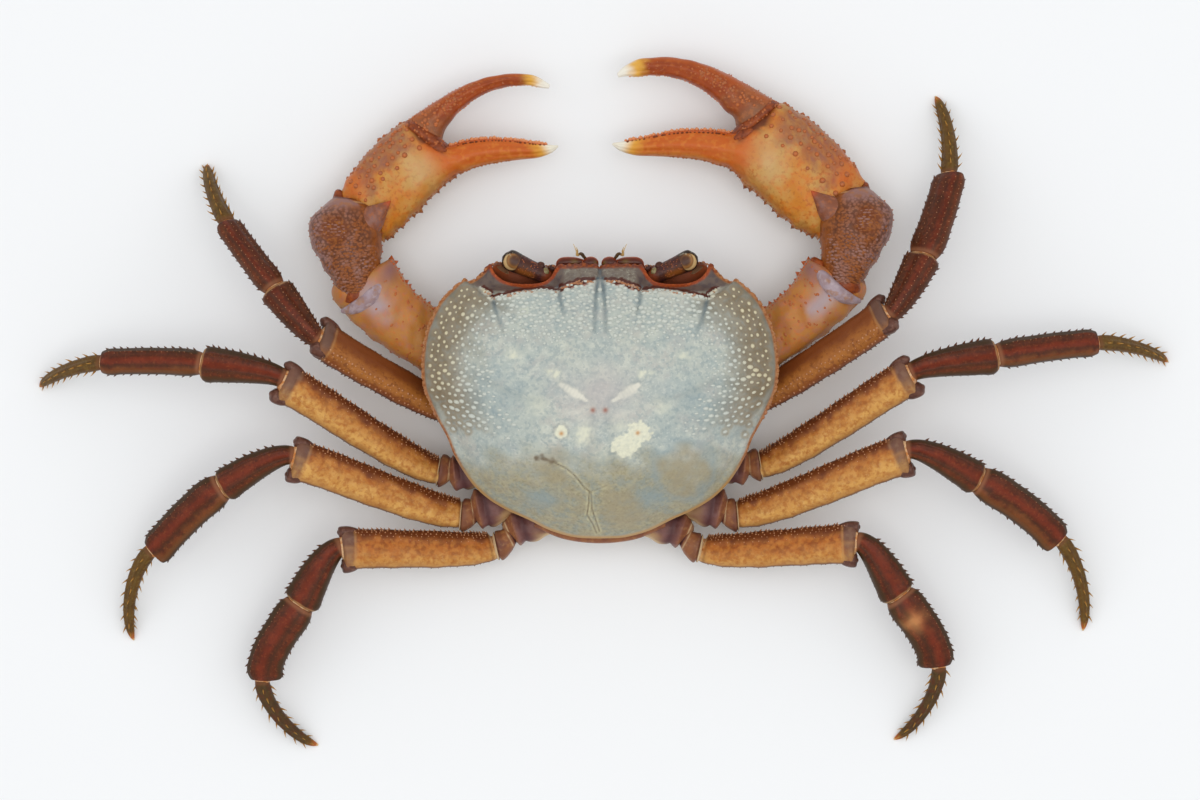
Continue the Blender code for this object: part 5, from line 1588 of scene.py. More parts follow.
    def forms(self, s: Array, c: Array, sn: Array) -> Array:
        """Height of the segment's own ridges and grooves, in millimetres.

        Args:
            s: Shares of the length.
            c: Places across the section, 1 at its first edge and -1 at its second.
            sn: Places through the section, 1 at the top.

        Returns:
            Height at each point.
        """
        length = np.linalg.norm(self.end - self.start)
        top = smooth(0.1, 0.5, sn)
        body = smooth(0.03, 0.15, s) * smooth(0.99, 0.93, s)
        if self.part is Part.MERUS:
            cuff = (s - self.cuff_start(length)) * length
            return (0.14 * bell(c - 0.62, 0.12) * top * body - 0.10 * bell(c - 0.36, 0.14) * top * body
                    - 0.16 * bell(cuff, 0.22) + 0.10 * smooth(0.0, 1.2, cuff) * smooth(1.0, 0.97, s)
                    + 0.07 * ripple(s * length, c * 4.0, 3.0, 5) * body)
        if self.part is Part.CARPUS:
            ridges = 0.32 * bell(c - 0.45, 0.14) + 0.3 * bell(c + 0.3, 0.14) - 0.16 * bell(c - 0.08, 0.16)
            return ridges * top * body
        if self.part is Part.PROPODUS:
            ridges = 0.22 * bell(c - 0.62, 0.12) + 0.16 * bell(c + 0.62, 0.12) + 0.12 * bell(c, 0.18)
            return (ridges - 0.1 * bell(c - 0.34, 0.12) - 0.1 * bell(c + 0.32, 0.12)) * top * body
        if self.part is Part.DACTYLUS:
            return (0.14 * bell(c, 0.22) - 0.08 * bell(np.abs(c) - 0.5, 0.16)) * top * body
        groove = -0.5 * bell((s - 0.66) * length, 0.5) + 0.3 * bell(s - 0.45, 0.14)
        return groove + 0.12 * ripple(s * 8.0, c * 3.0, 3.0, 4)

    @staticmethod
    def cuff_start(length: float) -> float:
        """Share of the merus where its knee cuff begins."""
        return 1.0 - 3.1 / length

    def masks(self, s: Array, angle: Array, co: Array) -> dict:
        """Masks of the segment's pigment zones, laid out as seen from above whatever its roll.

        Args:
            s: Shares of the length.
            angle: Angles round the axis in radians.
            co: Points in millimetres.

        Returns:
            Shares of the points by the mask's name.
        """
        angle = angle - math.radians(self.roll)
        c, sn = power(np.cos(angle), 2.0 / SQUARENESS), power(np.sin(angle), 2.0 / SQUARENESS)
        length = np.linalg.norm(self.end - self.start)
        wave = ripple(co[:, 0], co[:, 1], 2.2, 12, co[:, 2])
        under = smooth(0.0, -0.5, sn)
        if self.part is Part.MERUS:
            cuff = (s - self.cuff_start(length)) * length
            line = bell(cuff + 0.1, 0.16)
            split = bell(c + 0.05, 0.07) * smooth(0.0, 0.4, cuff) * (1.0 if self.number > 3 else 0.0)
            low = -0.9 if self.number == 5 else -0.4
            return {
                "rust": smooth(low, low + 1.35, c + 0.18 * wave + 0.2 * s) * (1.0 - under),
                "edge": smooth(0.32, 0.74, c + 0.1 * wave) * smooth(1.0, 0.9, s) * (1.0 - under),
                "under": under,
                "rim_line": np.maximum(smooth(-0.86, -0.97, c), 0.7 * bell(c - 0.98, 0.06)),
                "ventral": smooth(-0.5, -0.85, c + 0.1 * wave),
                "cuff": smooth(-0.7, 0.6, cuff + 0.3 * wave) * (0.45 + 0.55 * smooth(-0.8, 0.2, c)),
                "suture": np.maximum(line, split),
                "root": bell((s - 0.035) * length, 0.55) * (1.0 - bell(c, 0.1)),
                "root_line": np.maximum(smooth(0.5, 0.1, s * length),
                                        0.5 * bell((s - 0.075) * length, 0.35)),
            }
        if self.part is Part.BASE:
            return {
                "swell": bell(s - 0.45 + 0.05 * wave, 0.12), "under": under,
                "dark": bell((s - 0.67) * length, 0.55),
                "pale": np.maximum(bell((s - 0.58) * length, 0.3),
                                   bell((s - 0.95) * length, 0.35) * smooth(-0.2, 0.4, wave + sn)),
            }
        warmth = ({2: 0.25, 3: 0.9, 4: 0.9, 5: 0.12}[self.number]
                  * (0.25 if self.part is Part.CARPUS else 1.0))
        masks = {
            "edge": smooth(0.6, 0.8, np.abs(c) + 0.06 * wave) * (1.0 - under)
            * (0.5 if self.number == 2 else 1.0), "under": under,
            "ridge": np.clip(0.7 * bell(c - 0.5, 0.14) + bell(c + 0.3, 0.16), 0.0, 1.0),
            "groove": bell(c - 0.1 + 0.1 * wave, 0.22) * (sn > 0.0) * (0.35 if self.number == 2 else 1.0),
            "warm": smooth(-0.3, -0.6, c + 0.14 * wave) * smooth(-0.97, -0.8, c) * (sn > 0.0) * warmth,
            "dusk": np.full(len(s), 0.85 if self.number == 5 else 0.25) * smooth(0.97, 0.7, s),
            "suture": bell((s - 1.0) * length + 0.35, 0.22) * (self.part is Part.CARPUS),
            "root": smooth(1.0, 0.3, s * length), "tip": smooth(0.86, 0.97, s),
            "point": smooth(0.965, 0.99, s),
            "patch": np.zeros(len(s)),
        }
        if self.name == "leg_right_5_propodus":
            masks["patch"] = (bell((s - 0.33) * 3.2 + 0.1 * wave, 0.35) * bell(c + 0.15 + 0.15 * wave, 0.45)
                              * (sn > 0.0))
        return masks

    def rows(self) -> tuple:
        """The segment's rows of teeth and spines.

        Returns:
            The rows, none for the base.
        """
        if self.number == 2 and self.part is Part.MERUS:
            return (Row(4, 0.1, 0.9, 26, 0.22, 0.26, 20, DARK_TEETH),
                    Row(96, 0.1, 0.88, 30, 0.3, 0.26, 5, PALE_TEETH),
                    Row(112, 0.14, 0.84, 22, 0.22, 0.18, 5, PALE_TEETH),
                    Row(140, 0.1, 0.9, 30, 0.3, 0.28, 10, PALE_TEETH),
                    Row(176, 0.1, 0.9, 28, 0.26, 0.3, 20, DARK_TEETH))
        if self.part is Part.MERUS:
            return (Row(0, 0.06, 0.92, 34, 0.3, 0.38, 25, PALE_TEETH),
                    Row(20, 0.08, 0.9, 33, 0.28, 0.26, 10, PALE_TEETH),
                    Row(36, 0.1, 0.88, 30, 0.26, 0.2, 5, PALE_TEETH),
                    Row(50, 0.12, 0.84, 24, 0.22, 0.15, 5, PALE_TEETH),
                    Row(64, 0.15, 0.75, 14, 0.18, 0.12, 5, PALE_TEETH),
                    Row(180, 0.1, 0.88, 24, 0.16, 0.16, 20, DARK_TEETH),
                    Row(0, 0.93, 0.985, 3, 0.2, 0.22, 20, DARK_TEETH))
        if self.number == 2 and self.part in (Part.CARPUS, Part.PROPODUS):
            rows = tuple(Row(angle, 0.1, 0.95, 11, 0.28, 0.45, 35, DARK_TEETH) for angle in (2, 178))
            return (rows + tuple(Row(angle, 0.1, 0.92, 14, 0.13, 0.12, 15, PALE_TEETH)
                                 for angle in (32, 60, 92, 128)))
        if self.part is Part.CARPUS:
            return (Row(0, 0.24, 0.94, 10, 0.32, 0.6, 35, DARK_TEETH),
                    Row(60, 0.2, 0.9, 14, 0.13, 0.12, 15, DARK_TEETH),
                    Row(180, 0.4, 0.92, 8, 0.16, 0.18, 25, DARK_TEETH),
                    Row(108, 0.25, 0.9, 12, 0.13, 0.12, 15, DARK_TEETH))
        if self.part is Part.PROPODUS:
            return (Row(0, 0.08, 0.94, 13, 0.27, 0.5, 40, DARK_TEETH),
                    Row(180, 0.1, 0.95, 11, 0.22, 0.42, 40, DARK_TEETH),
                    Row(50, 0.1, 0.9, 15, 0.11, 0.1, 20, PALE_TEETH),
                    Row(130, 0.1, 0.9, 15, 0.11, 0.1, 20, DARK_TEETH))
        if self.part is Part.DACTYLUS:
            return (Row(8, 0.06, 0.95, 9, 0.22, 1.15, 38, GOLD_SPINES),
                    Row(172, 0.1, 0.93, 9, 0.22, 1.15, 38, GOLD_SPINES),
                    Row(90, 0.1, 0.9, 8, 0.19, 0.8, 45, GOLD_SPINES),
                    Row(330, 0.2, 0.8, 5, 0.18, 0.8, 52, GOLD_SPINES),
                    Row(210, 0.2, 0.8, 5, 0.18, 0.8, 52, GOLD_SPINES))
        return ()

    def teeth(self, seeds: Seeds, slot: str) -> None:
        """Set the rows of teeth and spines on the segment, one piece for each finish.

        Args:
            seeds: The small shapes to copy.
            slot: The record's material slot.
        """
        draw = np.random.default_rng(sum(map(ord, self.name)))
        groups: dict = {}
        for row in self.rows():
            s = np.linspace(row.first, row.last, row.count) + draw.normal(0.0, 0.004, row.count)
            angle = np.radians(row.angle + self.roll) + draw.normal(0.0, 0.04, row.count)
            here, out, along = self.spots(s, angle)
            lean = math.radians(row.lean)
            ways = out * math.cos(lean) + along * math.sin(lean)
            kept = here[:, 2] > 0.9
            size = draw.uniform(0.75, 1.2, row.count)
            groups.setdefault(row.finish, []).append((here[kept], ways[kept], (row.radius * size)[kept],
                                                      (row.height * size)[kept], along[kept]))
        for finish, found in groups.items():
            here, ways, radii, heights, turn = (np.concatenate(rows) for rows in zip(*found))
            tall = finish is GOLD_SPINES
            piece = scatter(f"{self.name}_{'spines' if tall else finish.name.split('_')[-1] + '_teeth'}",
                            seeds.spine if tall else seeds.tooth, here, ways, radii, heights, turn=turn,
                            sink=1.2,
                            bend=0.3 if tall else 0.1)
            dress(piece, finish, slot)


@dataclass
class Membrane(Tube):
    """Joint skin stretched between two segments, hidden inside their ends."""

    name: str
    inner: Tube
    outer: Tube
    reach: tuple[float, float] = (0.97, 0.03)
    share: tuple[float, float] = (0.8, 0.8)
    sides: int = 28
    cuts: int = 9

    def dress(self, slot: str) -> None:
        """Build and dress the skin."""
        dress(self.piece(self.sides, self.cuts), JOINT_SKIN, slot)

    def skin(self, s: Array, angle: Array, radial: Array) -> Array:
        """Points between the two segments' ends, with folds.

        Args:
            s: Shares of the length.
            angle: Angles round the axis in radians.
            radial: Shares of the way from the axis to the skin.

        Returns:
            One point in millimetres for each share.
        """
        fold = 1.0 + 0.05 * np.sin(s * 6.0 * math.pi)
        one = np.ones(len(s))
        near = self.inner.skin(one * self.reach[0], angle, radial * self.share[0] * fold)
        far = self.outer.skin(one * self.reach[1], angle, radial * self.share[1] * fold)
        return near * (1.0 - s)[:, None] + far * s[:, None]


@dataclass
class Pod(Tube):
    """A round or oval tapering body along a few points."""

    name: str
    path: tuple
    radii: tuple
    flat: float = 1.0
    bulge: float = 0.5

    def masks(self, s: Array, angle: Array, co: Array) -> dict:
        """Mask of the far end."""
        return {"tip": smooth(0.72, 0.95, s)}

    def skin(self, s: Array, angle: Array, radial: Array) -> Array:
        """Points of the pod, with round ends.

        Args:
            s: Shares of the length.
            angle: Angles round the axis in radians.
            radial: Shares of the way from the axis to the skin.

        Returns:
            One point in millimetres for each share.
        """
        knots = np.linspace(0.0, 1.0, len(self.path))
        point = spline(knots, self.path, s)
        high, low = np.clip(s + 0.02, 0.0, 1.0), np.clip(s - 0.02, 0.0, 1.0)
        ahead = spline(knots, self.path, high) - spline(knots, self.path, low)
        along = unit(ahead)
        across = unit(np.cross(along, UP))
        up = np.cross(across, along)
        radius = spline(np.linspace(0.0, 1.0, len(self.radii)), self.radii, s)[:, 0]
        out = across * (np.cos(angle) * radius * radial)[:, None]
        out = out + up * (np.sin(angle) * radius * radial * self.flat)[:, None]
        cap = ((1.0 - radial ** 2) * radius * self.bulge * ((s > 1.0 - END) * 1.0 - (s < END) * 1.0)
               * (radial < SKIN))
        return point + out + along * cap[:, None]


@dataclass
class RibBody(Tube):
    """A flat-lying body over ribs, each an outer and an inner edge point, a height and half thickness."""

    name: str
    ribs: tuple
    origin: tuple
    side: Side
    turn: float = 0.0
    kind: Body = Body.ARM

    def __post_init__(self) -> None:
        """Place the ribs in the frame and space them along the body."""
        spin = math.radians(self.turn)
        place = np.array(((math.cos(spin), -math.sin(spin)), (math.sin(spin), math.cos(spin))))
        first = np.array([rib[0] for rib in self.ribs], float) @ place.T
        second = np.array([rib[1] for rib in self.ribs], float) @ place.T
        for edge in (first, second):
            edge[:, 0] *= self.side.value
        self.data = np.concatenate([first + np.array(self.origin[:2]), second + np.array(self.origin[:2]),
                                    np.array([rib[2] + self.origin[2] for rib in self.ribs])[:, None],
                                    np.array([rib[3] for rib in self.ribs], float)[:, None]], 1)
        middle = (first + second) / 2.0
        run = np.concatenate([[0.0], np.cumsum(np.linalg.norm(np.diff(middle, axis=0), axis=1) + 0.3)])
        self.length = run[-1]
        self.stations = run / run[-1]

    def station(self, rib: float) -> float:
        """Share of the length at a rib, or between two ribs."""
        return float(np.interp(rib, np.arange(len(self.stations)), self.stations))

    def skin(self, s: Array, angle: Array, radial: Array) -> Array:
        """Points of the body's skin with its own forms.

        Args:
            s: Shares of the length.
            angle: Angles round the axis in radians.
            radial: Shares of the way from the axis to the skin.

        Returns:
            One point in millimetres for each share.
        """
        row = spline(self.stations, self.data, s)
        first, second, height, half = row[:, :2], row[:, 2:4], row[:, 4], row[:, 5]
        c, sn = power(np.cos(angle), 2.0 / SQUARENESS), power(np.sin(angle), 2.0 / SQUARENESS)
        rise = self.forms(s, c, sn) * np.minimum(radial * 1.4, 1.0)
        middle, reach = (first + second) / 2.0, (first - second) / 2.0
        wide = np.linalg.norm(reach, axis=1)
        across = reach / np.maximum(wide, 1e-6)[:, None]
        out = across * (c * radial * (wide + rise * np.abs(np.cos(angle))))[:, None]
        up = height + sn * radial * (half + rise * np.abs(np.sin(angle)))
        high, low = np.clip(s + 0.01, 0.0, 1.0), np.clip(s - 0.01, 0.0, 1.0)
        ahead = spline(self.stations, self.data, high) - spline(self.stations, self.data, low)
        along = unit(ahead[:, :2] + ahead[:, 2:4])
        cap = ((1.0 - radial ** 2) * ((s < END) * -0.3 - (s > 1.0 - END) * self.kind.hollow)
               * (radial < SKIN))
        flat = middle + out + along * cap[:, None]
        return np.concatenate([flat, up[:, None]], 1)

    @staticmethod
    def oval(s: Array, c: Array) -> Array:
        """Distance from the middle of the wrist's sunken oval, about 0.45 at its edge."""
        return np.hypot((s - 0.66) * 3.6, c + 0.28)

    def forms(self, s: Array, c: Array, sn: Array) -> Array:
        """Height of the body's own swellings and grooves, in millimetres.

        Args:
            s: Shares of the length.
            c: Places across the section, 1 at its first edge and -1 at its second.
            sn: Places through the section, 1 at the top.

        Returns:
            Height at each point.
        """
        wave = ripple(s * self.length, c * 6.0, 4.0, 14, sn * 3.0)
        if self.kind is Body.COXA:
            return 0.12 * wave + 0.35 * bell(s - 0.86, 0.04) - 0.3 * bell(s - 0.74, 0.035)
        if self.kind is Body.ISCHIUM:
            return 0.06 * wave - 0.35 * bell(s - 0.84, 0.03) + 0.2 * bell(s - 0.93, 0.04)
        if self.kind is Body.HAND:
            root = bell(s - self.station(0.4), 0.02)
            hinge = (smooth(self.station(4.7), self.station(5.3), s)
                     * smooth(self.station(6.3), self.station(5.7), s))
            finger = smooth(self.station(6.5), self.station(8.0), s)
            return (0.16 * wave * (1.0 - finger) - 0.35 * root - 0.3 * hinge * smooth(0.1, 0.5, c)
                    + 0.2 * finger * bell(c + 0.1, 0.3) * smooth(1.0, 0.85, s)
                    - 0.12 * finger * bell(np.abs(c + 0.1) - 0.45, 0.16))
        if self.kind is Body.FINGER:
            rib = bell(c - 0.05, 0.22) - 0.6 * bell(np.abs(c) - 0.5, 0.14)
            return 0.2 * rib * smooth(0.05, 0.2, s) * smooth(1.0, 0.85, s) + 0.05 * wave
        if self.kind is Body.WRIST:
            oval = self.oval(s, c)
            return 0.14 * wave - (0.5 * smooth(0.5, 0.3, oval) - 0.2 * bell(oval - 0.5, 0.14)) * (sn > 0.0)
        return 0.18 * wave - 0.3 * bell(s - 0.86, 0.03) * smooth(0.4, -0.2, c) * (sn > 0.0)

    def masks(self, s: Array, angle: Array, co: Array) -> dict:
        """Masks of the body's pigment zones.

        Args:
            s: Shares of the length.
            angle: Angles round the axis in radians.
            co: Points in millimetres.

        Returns:
            Shares of the points by the mask's name.
        """
        c, sn = power(np.cos(angle), 2.0 / SQUARENESS), power(np.sin(angle), 2.0 / SQUARENESS)
        wave = ripple(co[:, 0], co[:, 1], 3.5, 24, co[:, 2])
        fine = ripple(co[:, 0], co[:, 1], 1.2, 25, co[:, 2])
        under = smooth(0.0, -0.5, sn)
        if self.kind is Body.COXA:
            return {
                "swell": smooth(0.2, 0.5, s + 0.05 * wave) * smooth(0.9, 0.78, s),
                "dark": bell(s - 0.7, 0.07) * 0.8,
                "flame": smooth(0.8, 0.88, s + 0.02 * wave), "under": under,
                "tan": smooth(-0.1, -0.8, c + 0.3 * wave) * smooth(0.66, 0.4, s),
                "pale": np.maximum(smooth(-0.8, -0.97, c) * smooth(0.75, 0.5, s), bell(s - 0.985, 0.012)),
            }
        if self.kind is Body.ISCHIUM:
            return {
                "flame": 0.7 * smooth(0.2, 0.35, s) * smooth(0.8, 0.68, s),
                "dark": np.maximum(smooth(0.16, 0.05, s), 0.45 * smooth(0.4, 0.75, s)),
                "pale": np.maximum(smooth(0.86, 0.9, s), bell(s - 0.2, 0.03) * (0.6 + 0.4 * fine)),
                "under": under,
            }
        if self.kind is Body.HAND:
            finger = smooth(self.station(6.0), self.station(7.4), s)
            hinge = (smooth(self.station(4.75), self.station(5.2), s)
                     * smooth(self.station(7.0), self.station(6.2), s))
            return {
                "violet": smooth(0.0, 0.5, c + 0.2 * wave) * smooth(self.station(0.9), self.station(1.6), s)
                * smooth(self.station(5.0), self.station(4.2), s) * (0.75 + 0.3 * fine), "under": under,
                "orange": np.maximum(smooth(self.station(4.3), self.station(6.0), s + 0.02 * wave),
                                     0.8 * bell(s - self.station(1.0), 0.05) * smooth(0.0, 0.6, c))
                * (1.0 - finger),
                "finger": finger * (1.0 - 0.4 * smooth(0.5, 0.9, np.abs(c))),
                "hinge": hinge * smooth(0.2, 0.45, c + 0.1 * fine),
                "keel": smooth(-0.78, -0.93, c + 0.08 * fine) * (1.0 - finger),
                "cut": finger * smooth(0.6, 0.85, c),
                "cream": bell(np.hypot((s - self.station(4.3)) * 7.0, c + 0.25 + 0.2 * wave), 0.5)
                * (sn > 0.0),
                "pit": bell(s - self.station(6.3), 0.018) * bell(c - 0.35, 0.28) * (sn > 0.0),
                "tip": smooth(0.85, 0.93, s + 0.005 * fine), "point": smooth(0.91, 0.965, s),
            }
        if self.kind is Body.FINGER:
            return {
                "violet": smooth(0.34, 0.05, s + 0.05 * wave), "hinge": smooth(0.06, 0.01, s),
                "under": under,
                "keel": smooth(0.3, 0.8, c) * 0.8, "tip": smooth(0.78, 0.87, s + 0.01 * fine),
                "point": smooth(0.86, 0.96, s + 0.01 * fine),
            }
        if self.kind is Body.WRIST:
            oval = self.oval(s, c) + 0.06 * fine
            edge = np.maximum(smooth(0.32, 0.68, np.abs(c) + 0.14 * wave),
                              smooth(0.78, 0.9, s + 0.04 * wave))
            return {
                "lilac": np.maximum(edge * smooth(0.15, 0.35, s) * (c < 0.4),
                                    0.6 * bell(c - 0.1 - 0.2 * wave, 0.22)),
                "patch": smooth(0.46, 0.34, oval) * (sn > 0.0),
                "scaly": smooth(0.98, 0.7, np.abs(c + 0.1)) * smooth(0.92, 0.8, s) * (sn > -0.3),
                "flame": smooth(0.1, 0.7, c + 0.2 * wave) * smooth(0.95, 0.7, s),
                "under": under, "dark": np.maximum(smooth(0.07, 0.03, s), 0.8 * smooth(0.965, 0.99, s)),
                "cream": bell(s - 0.945, 0.012) * smooth(0.2, 0.5, c),
            }
        crescent = (smooth(0.58, 0.7, s + 0.04 * wave) * smooth(0.95, 0.8, s) * bell(c + 0.15, 0.34)
                    * (sn > 0.0))
        return {
            "crescent": crescent, "smudge": bell(np.hypot((s - 0.8) * 5.0, c - 0.72), 0.4),
            "flame": np.maximum(smooth(0.8, 0.93, c + 0.06 * fine) * smooth(0.78, 0.7, s),
                                0.8 * smooth(-0.85, -0.95, c) * (fine > 0.3)),
            "streak": smooth(0.3, 0.1, s)
            * smooth(-0.2, 0.5, np.sin(co[:, 0] * 3.0 + co[:, 1] * 4.0 + wave)),
            "under": under, "dark": smooth(0.965, 0.99, s),
        }


@dataclass(frozen=True)
class HipPieces:
    """The two pieces at a hip, over ribs as (front edge, rear edge, height, half thickness)."""

    hip: tuple
    coxa: tuple
    ischium: tuple


# Hip pieces of walking legs 3 to 5, with the hip that they are drawn for
HIP_PIECES = {
    3: HipPieces(
        (27.2, -12.4),
        (
            ((17.0, -8.0), (17.0, -13.0), 6.0, 2.6), ((21.0, -9.4), (19.8, -14.4), 6.2, 3.0),
            ((23.5, -10.2), (21.9, -15.2), 6.3, 3.2), ((24.6, -9.9), (23.7, -15.6), 6.3, 3.1),
            ((25.5, -9.9), (25.2, -15.1), 6.3, 2.8), ((26.0, -11.0), (26.1, -13.4), 6.3, 1.8),
        ),
        (
            ((25.2, -10.4), (25.6, -13.6), 6.3, 1.8), ((26.3, -9.5), (26.8, -14.6), 6.4, 2.3),
            ((27.2, -9.5), (28.0, -14.9), 6.5, 2.4), ((27.5, -10.0), (28.3, -14.3), 6.5, 2.0),
        ),
    ),
    4: HipPieces(
        (23.2, -19.6),
        (
            ((13.0, -13.5), (13.0, -18.5), 6.0, 2.6), ((17.0, -14.6), (15.4, -20.4), 6.1, 3.0),
            ((18.8, -15.6), (17.2, -21.4), 6.2, 3.3), ((20.4, -15.4), (19.0, -22.0), 6.2, 3.3),
            ((21.8, -15.8), (20.6, -21.7), 6.2, 2.9), ((22.4, -17.3), (21.8, -20.0), 6.2, 1.9),
        ),
        (
            ((21.5, -17.4), (21.0, -20.9), 6.2, 1.8), ((22.6, -17.0), (22.4, -22.1), 6.3, 2.3),
            ((23.6, -17.2), (24.0, -22.6), 6.3, 2.4), ((23.9, -17.8), (24.3, -22.0), 6.3, 2.0),
        ),
    ),
    5: HipPieces(
        (17.9, -25.1),
        (
            ((6.5, -17.0), (5.5, -21.0), 6.0, 2.6), ((9.0, -18.6), (7.6, -22.6), 6.1, 2.9),
            ((11.4, -19.4), (9.8, -23.8), 6.1, 3.1), ((13.6, -19.1), (12.0, -24.6), 6.1, 3.2),
            ((15.8, -19.4), (14.1, -24.5), 6.1, 2.8), ((16.7, -20.9), (15.6, -23.2), 6.1, 1.8),
        ),
        (
            ((15.7, -21.9), (14.3, -24.4), 6.1, 1.7), ((17.1, -22.4), (15.3, -26.2), 6.1, 2.2),
            ((18.2, -22.6), (17.0, -27.6), 6.2, 2.3), ((18.5, -23.1), (17.8, -27.2), 6.2, 2.0),
        ),
    ),
}


@dataclass(frozen=True)
class SegmentSize:
    """A leg segment's length, azimuth and pitch in degrees, greatest width and thickness."""

    length: float
    azimuth: float
    pitch: float
    width: float
    thick: float

    def way(self) -> Array:
        """Unit vector along the segment."""
        a, p = math.radians(self.azimuth), math.radians(self.pitch)
        return np.array((math.cos(a) * math.cos(p), math.sin(a) * math.cos(p), math.sin(p)))


@dataclass
class WalkingLeg:
    """One walking leg from its hip inside the thorax to its toe tip."""

    number: int
    side: Side
    root: tuple
    hip: tuple
    roll: float
    knee_skew: float
    toe_skew: float
    toe_lean: float
    knee_reach: float
    merus: SegmentSize
    carpus: SegmentSize
    propodus: SegmentSize
    dactylus: SegmentSize
    leans: tuple = (0.35, 0.12, 0.5)
    toe_height: float = 0.15
    base_size: float = 5.0

    def segments(self) -> list[LegSegment]:
        """Work out the segments from the joints, as the solids have them.

        Returns:
            The five segments from the base to the toe.
        """
        name = f"leg_{self.side.label}_{self.number}"
        sizes = (self.merus, self.carpus, self.propodus, self.dactylus)
        heads = [size.way() for size in sizes]
        joints = [np.array(self.hip, float)]
        for size, head in zip(sizes, heads):
            joints.append(joints[-1] + head * size.length)
        joints[-1][2] = self.toe_height
        heads[-1] = unit(joints[-1] - joints[-2])
        root = np.array(self.root, float)
        first = unit(joints[0] - root)
        faces = [unit(a * (1.0 - lean) + b * lean) for a, b, lean in
                 zip([first] + heads, heads, self.leans + (self.toe_lean,))]
        faces.append(2.0 * heads[-1].dot(faces[-1]) * heads[-1] - faces[-1])
        made = [LegSegment(
            Part.BASE, name + "_base", self.side, root, joints[0] - faces[0] * GAP / 2.0, first, faces[0],
            0.0, self.base_size, self.base_size, number=self.number)]
        skews = (self.knee_skew, 0.0, self.toe_skew, 0.0)
        parts = (Part.MERUS, Part.CARPUS, Part.PROPODUS, Part.DACTYLUS)
        for i, (part, size, skew) in enumerate(zip(parts, sizes, skews)):
            end = joints[i + 1] - (0.0 if part is Part.DACTYLUS else 1.0) * faces[i + 1] * GAP / 2.0
            made.append(LegSegment(
                part, f"{name}_{part.value}", self.side, joints[i] + faces[i] * GAP / 2.0, end,
                faces[i], faces[i + 1], self.roll, size.width, size.thick, skew, self.number))
        return made

    def finish(self, part: Part) -> tuple[Shell, str]:
        """A segment's finish and its material slot.

        Args:
            part: Which segment of the limb.

        Returns:
            The finish and the slot.
        """
        merus = RUSTY_MERUS if self.number == 2 else OCHRE_MERUS
        return {Part.BASE: (HIP_SHELL, "leg_ochre_shell"), Part.MERUS: (merus, "leg_ochre_shell"),
                Part.CARPUS: (DARK_SHELL, "leg_dark_shell"), Part.PROPODUS: (DARK_SHELL, "leg_dark_shell"),
                Part.DACTYLUS: (TOE_SHELL, "toe_shell")}[part]

    def hips(self) -> list[RibBody]:
        """The two hip pieces that show beside the shell, moved to this leg's hip.

        Returns:
            The base piece and the ring beyond it.
        """
        name = f"leg_{self.side.label}_{self.number}"
        pieces = HIP_PIECES[self.number]
        shift = np.array((self.hip[0] * self.side.value, self.hip[1])) - np.array(pieces.hip)
        made = []
        for kind, label, ribs in ((Body.COXA, "base", pieces.coxa),
                                  (Body.ISCHIUM, "hip_ring", pieces.ischium)):
            moved = tuple((tuple(np.array(a) + shift), tuple(np.array(b) + shift), z, half)
                          for a, b, z, half in ribs)
            made.append(RibBody(f"{name}_{label}", moved, (0.0, 0.0, 0.0), self.side, 0.0, kind))
        return made

    def dress(self, seeds: Seeds) -> None:
        """Build and dress the segments, their teeth, the knee lobes and the joint skins.

        Args:
            seeds: The small shapes to copy.
        """
        segments = self.segments()
        if self.number > 2:
            coxa, ring = self.hips()
            dress(coxa.piece(52, 48), HIP_SHELL, "leg_ochre_shell", coxa.name)
            dress(ring.piece(52, 48), HIP_SHELL, "leg_ochre_shell")
            Membrane(f"{coxa.name}_hip_skin", coxa, ring, (0.96, 0.1), (0.6, 0.8)).dress("leg_ochre_shell")
            Membrane(f"{ring.name}_joint_skin", ring, segments[1], (0.9, 0.05),
                     (0.7, 0.8)).dress("leg_ochre_shell")
            segments = segments[1:]
        for segment in segments:
            finish, slot = self.finish(segment.part)
            piece = segment.piece(44, 56 if segment.part is Part.MERUS else 40)
            co = points_of(piece)
            co[:, 2] = np.maximum(co[:, 2], 0.0)
            piece.data.vertices.foreach_set("co", co.ravel())
            dress(piece, finish, slot, segment.name)
            segment.teeth(seeds, slot)
        for near, far in zip(segments, segments[1:]):
            Membrane(f"{far.name}_joint_skin", near, far).dress(self.finish(far.part)[1])
        self.dress_lobes(next(segment for segment in segments if segment.part is Part.MERUS))

    def dress_lobes(self, merus: LegSegment) -> None:
        """Build and dress the two lobes that the merus sends over the knee.

        Args:
            merus: The segment that carries them.
        """
        point, along, across, _ = (rows[0] for rows in merus.frames(np.array([1.0])))
        for label, share in (("upper", 0.46), ("lower", -0.48)):
            middle = point + across * (share + merus.skew) * merus.width
            steps = (-3.2, -1.6, self.knee_reach * 0.2, self.knee_reach)
            wide = 1.25 if share < 0.0 else 0.95
            path = tuple(middle + along * step - across * share * 0.5 * wide for step in steps)
            lobe = Pod(f"{merus.name}_{label}_knee_lobe", path, (0.2, 0.9 * wide, wide, 0.45), 1.2)
            dress(lobe.piece(26, 20), KNEE_SHELL, "leg_ochre_shell")


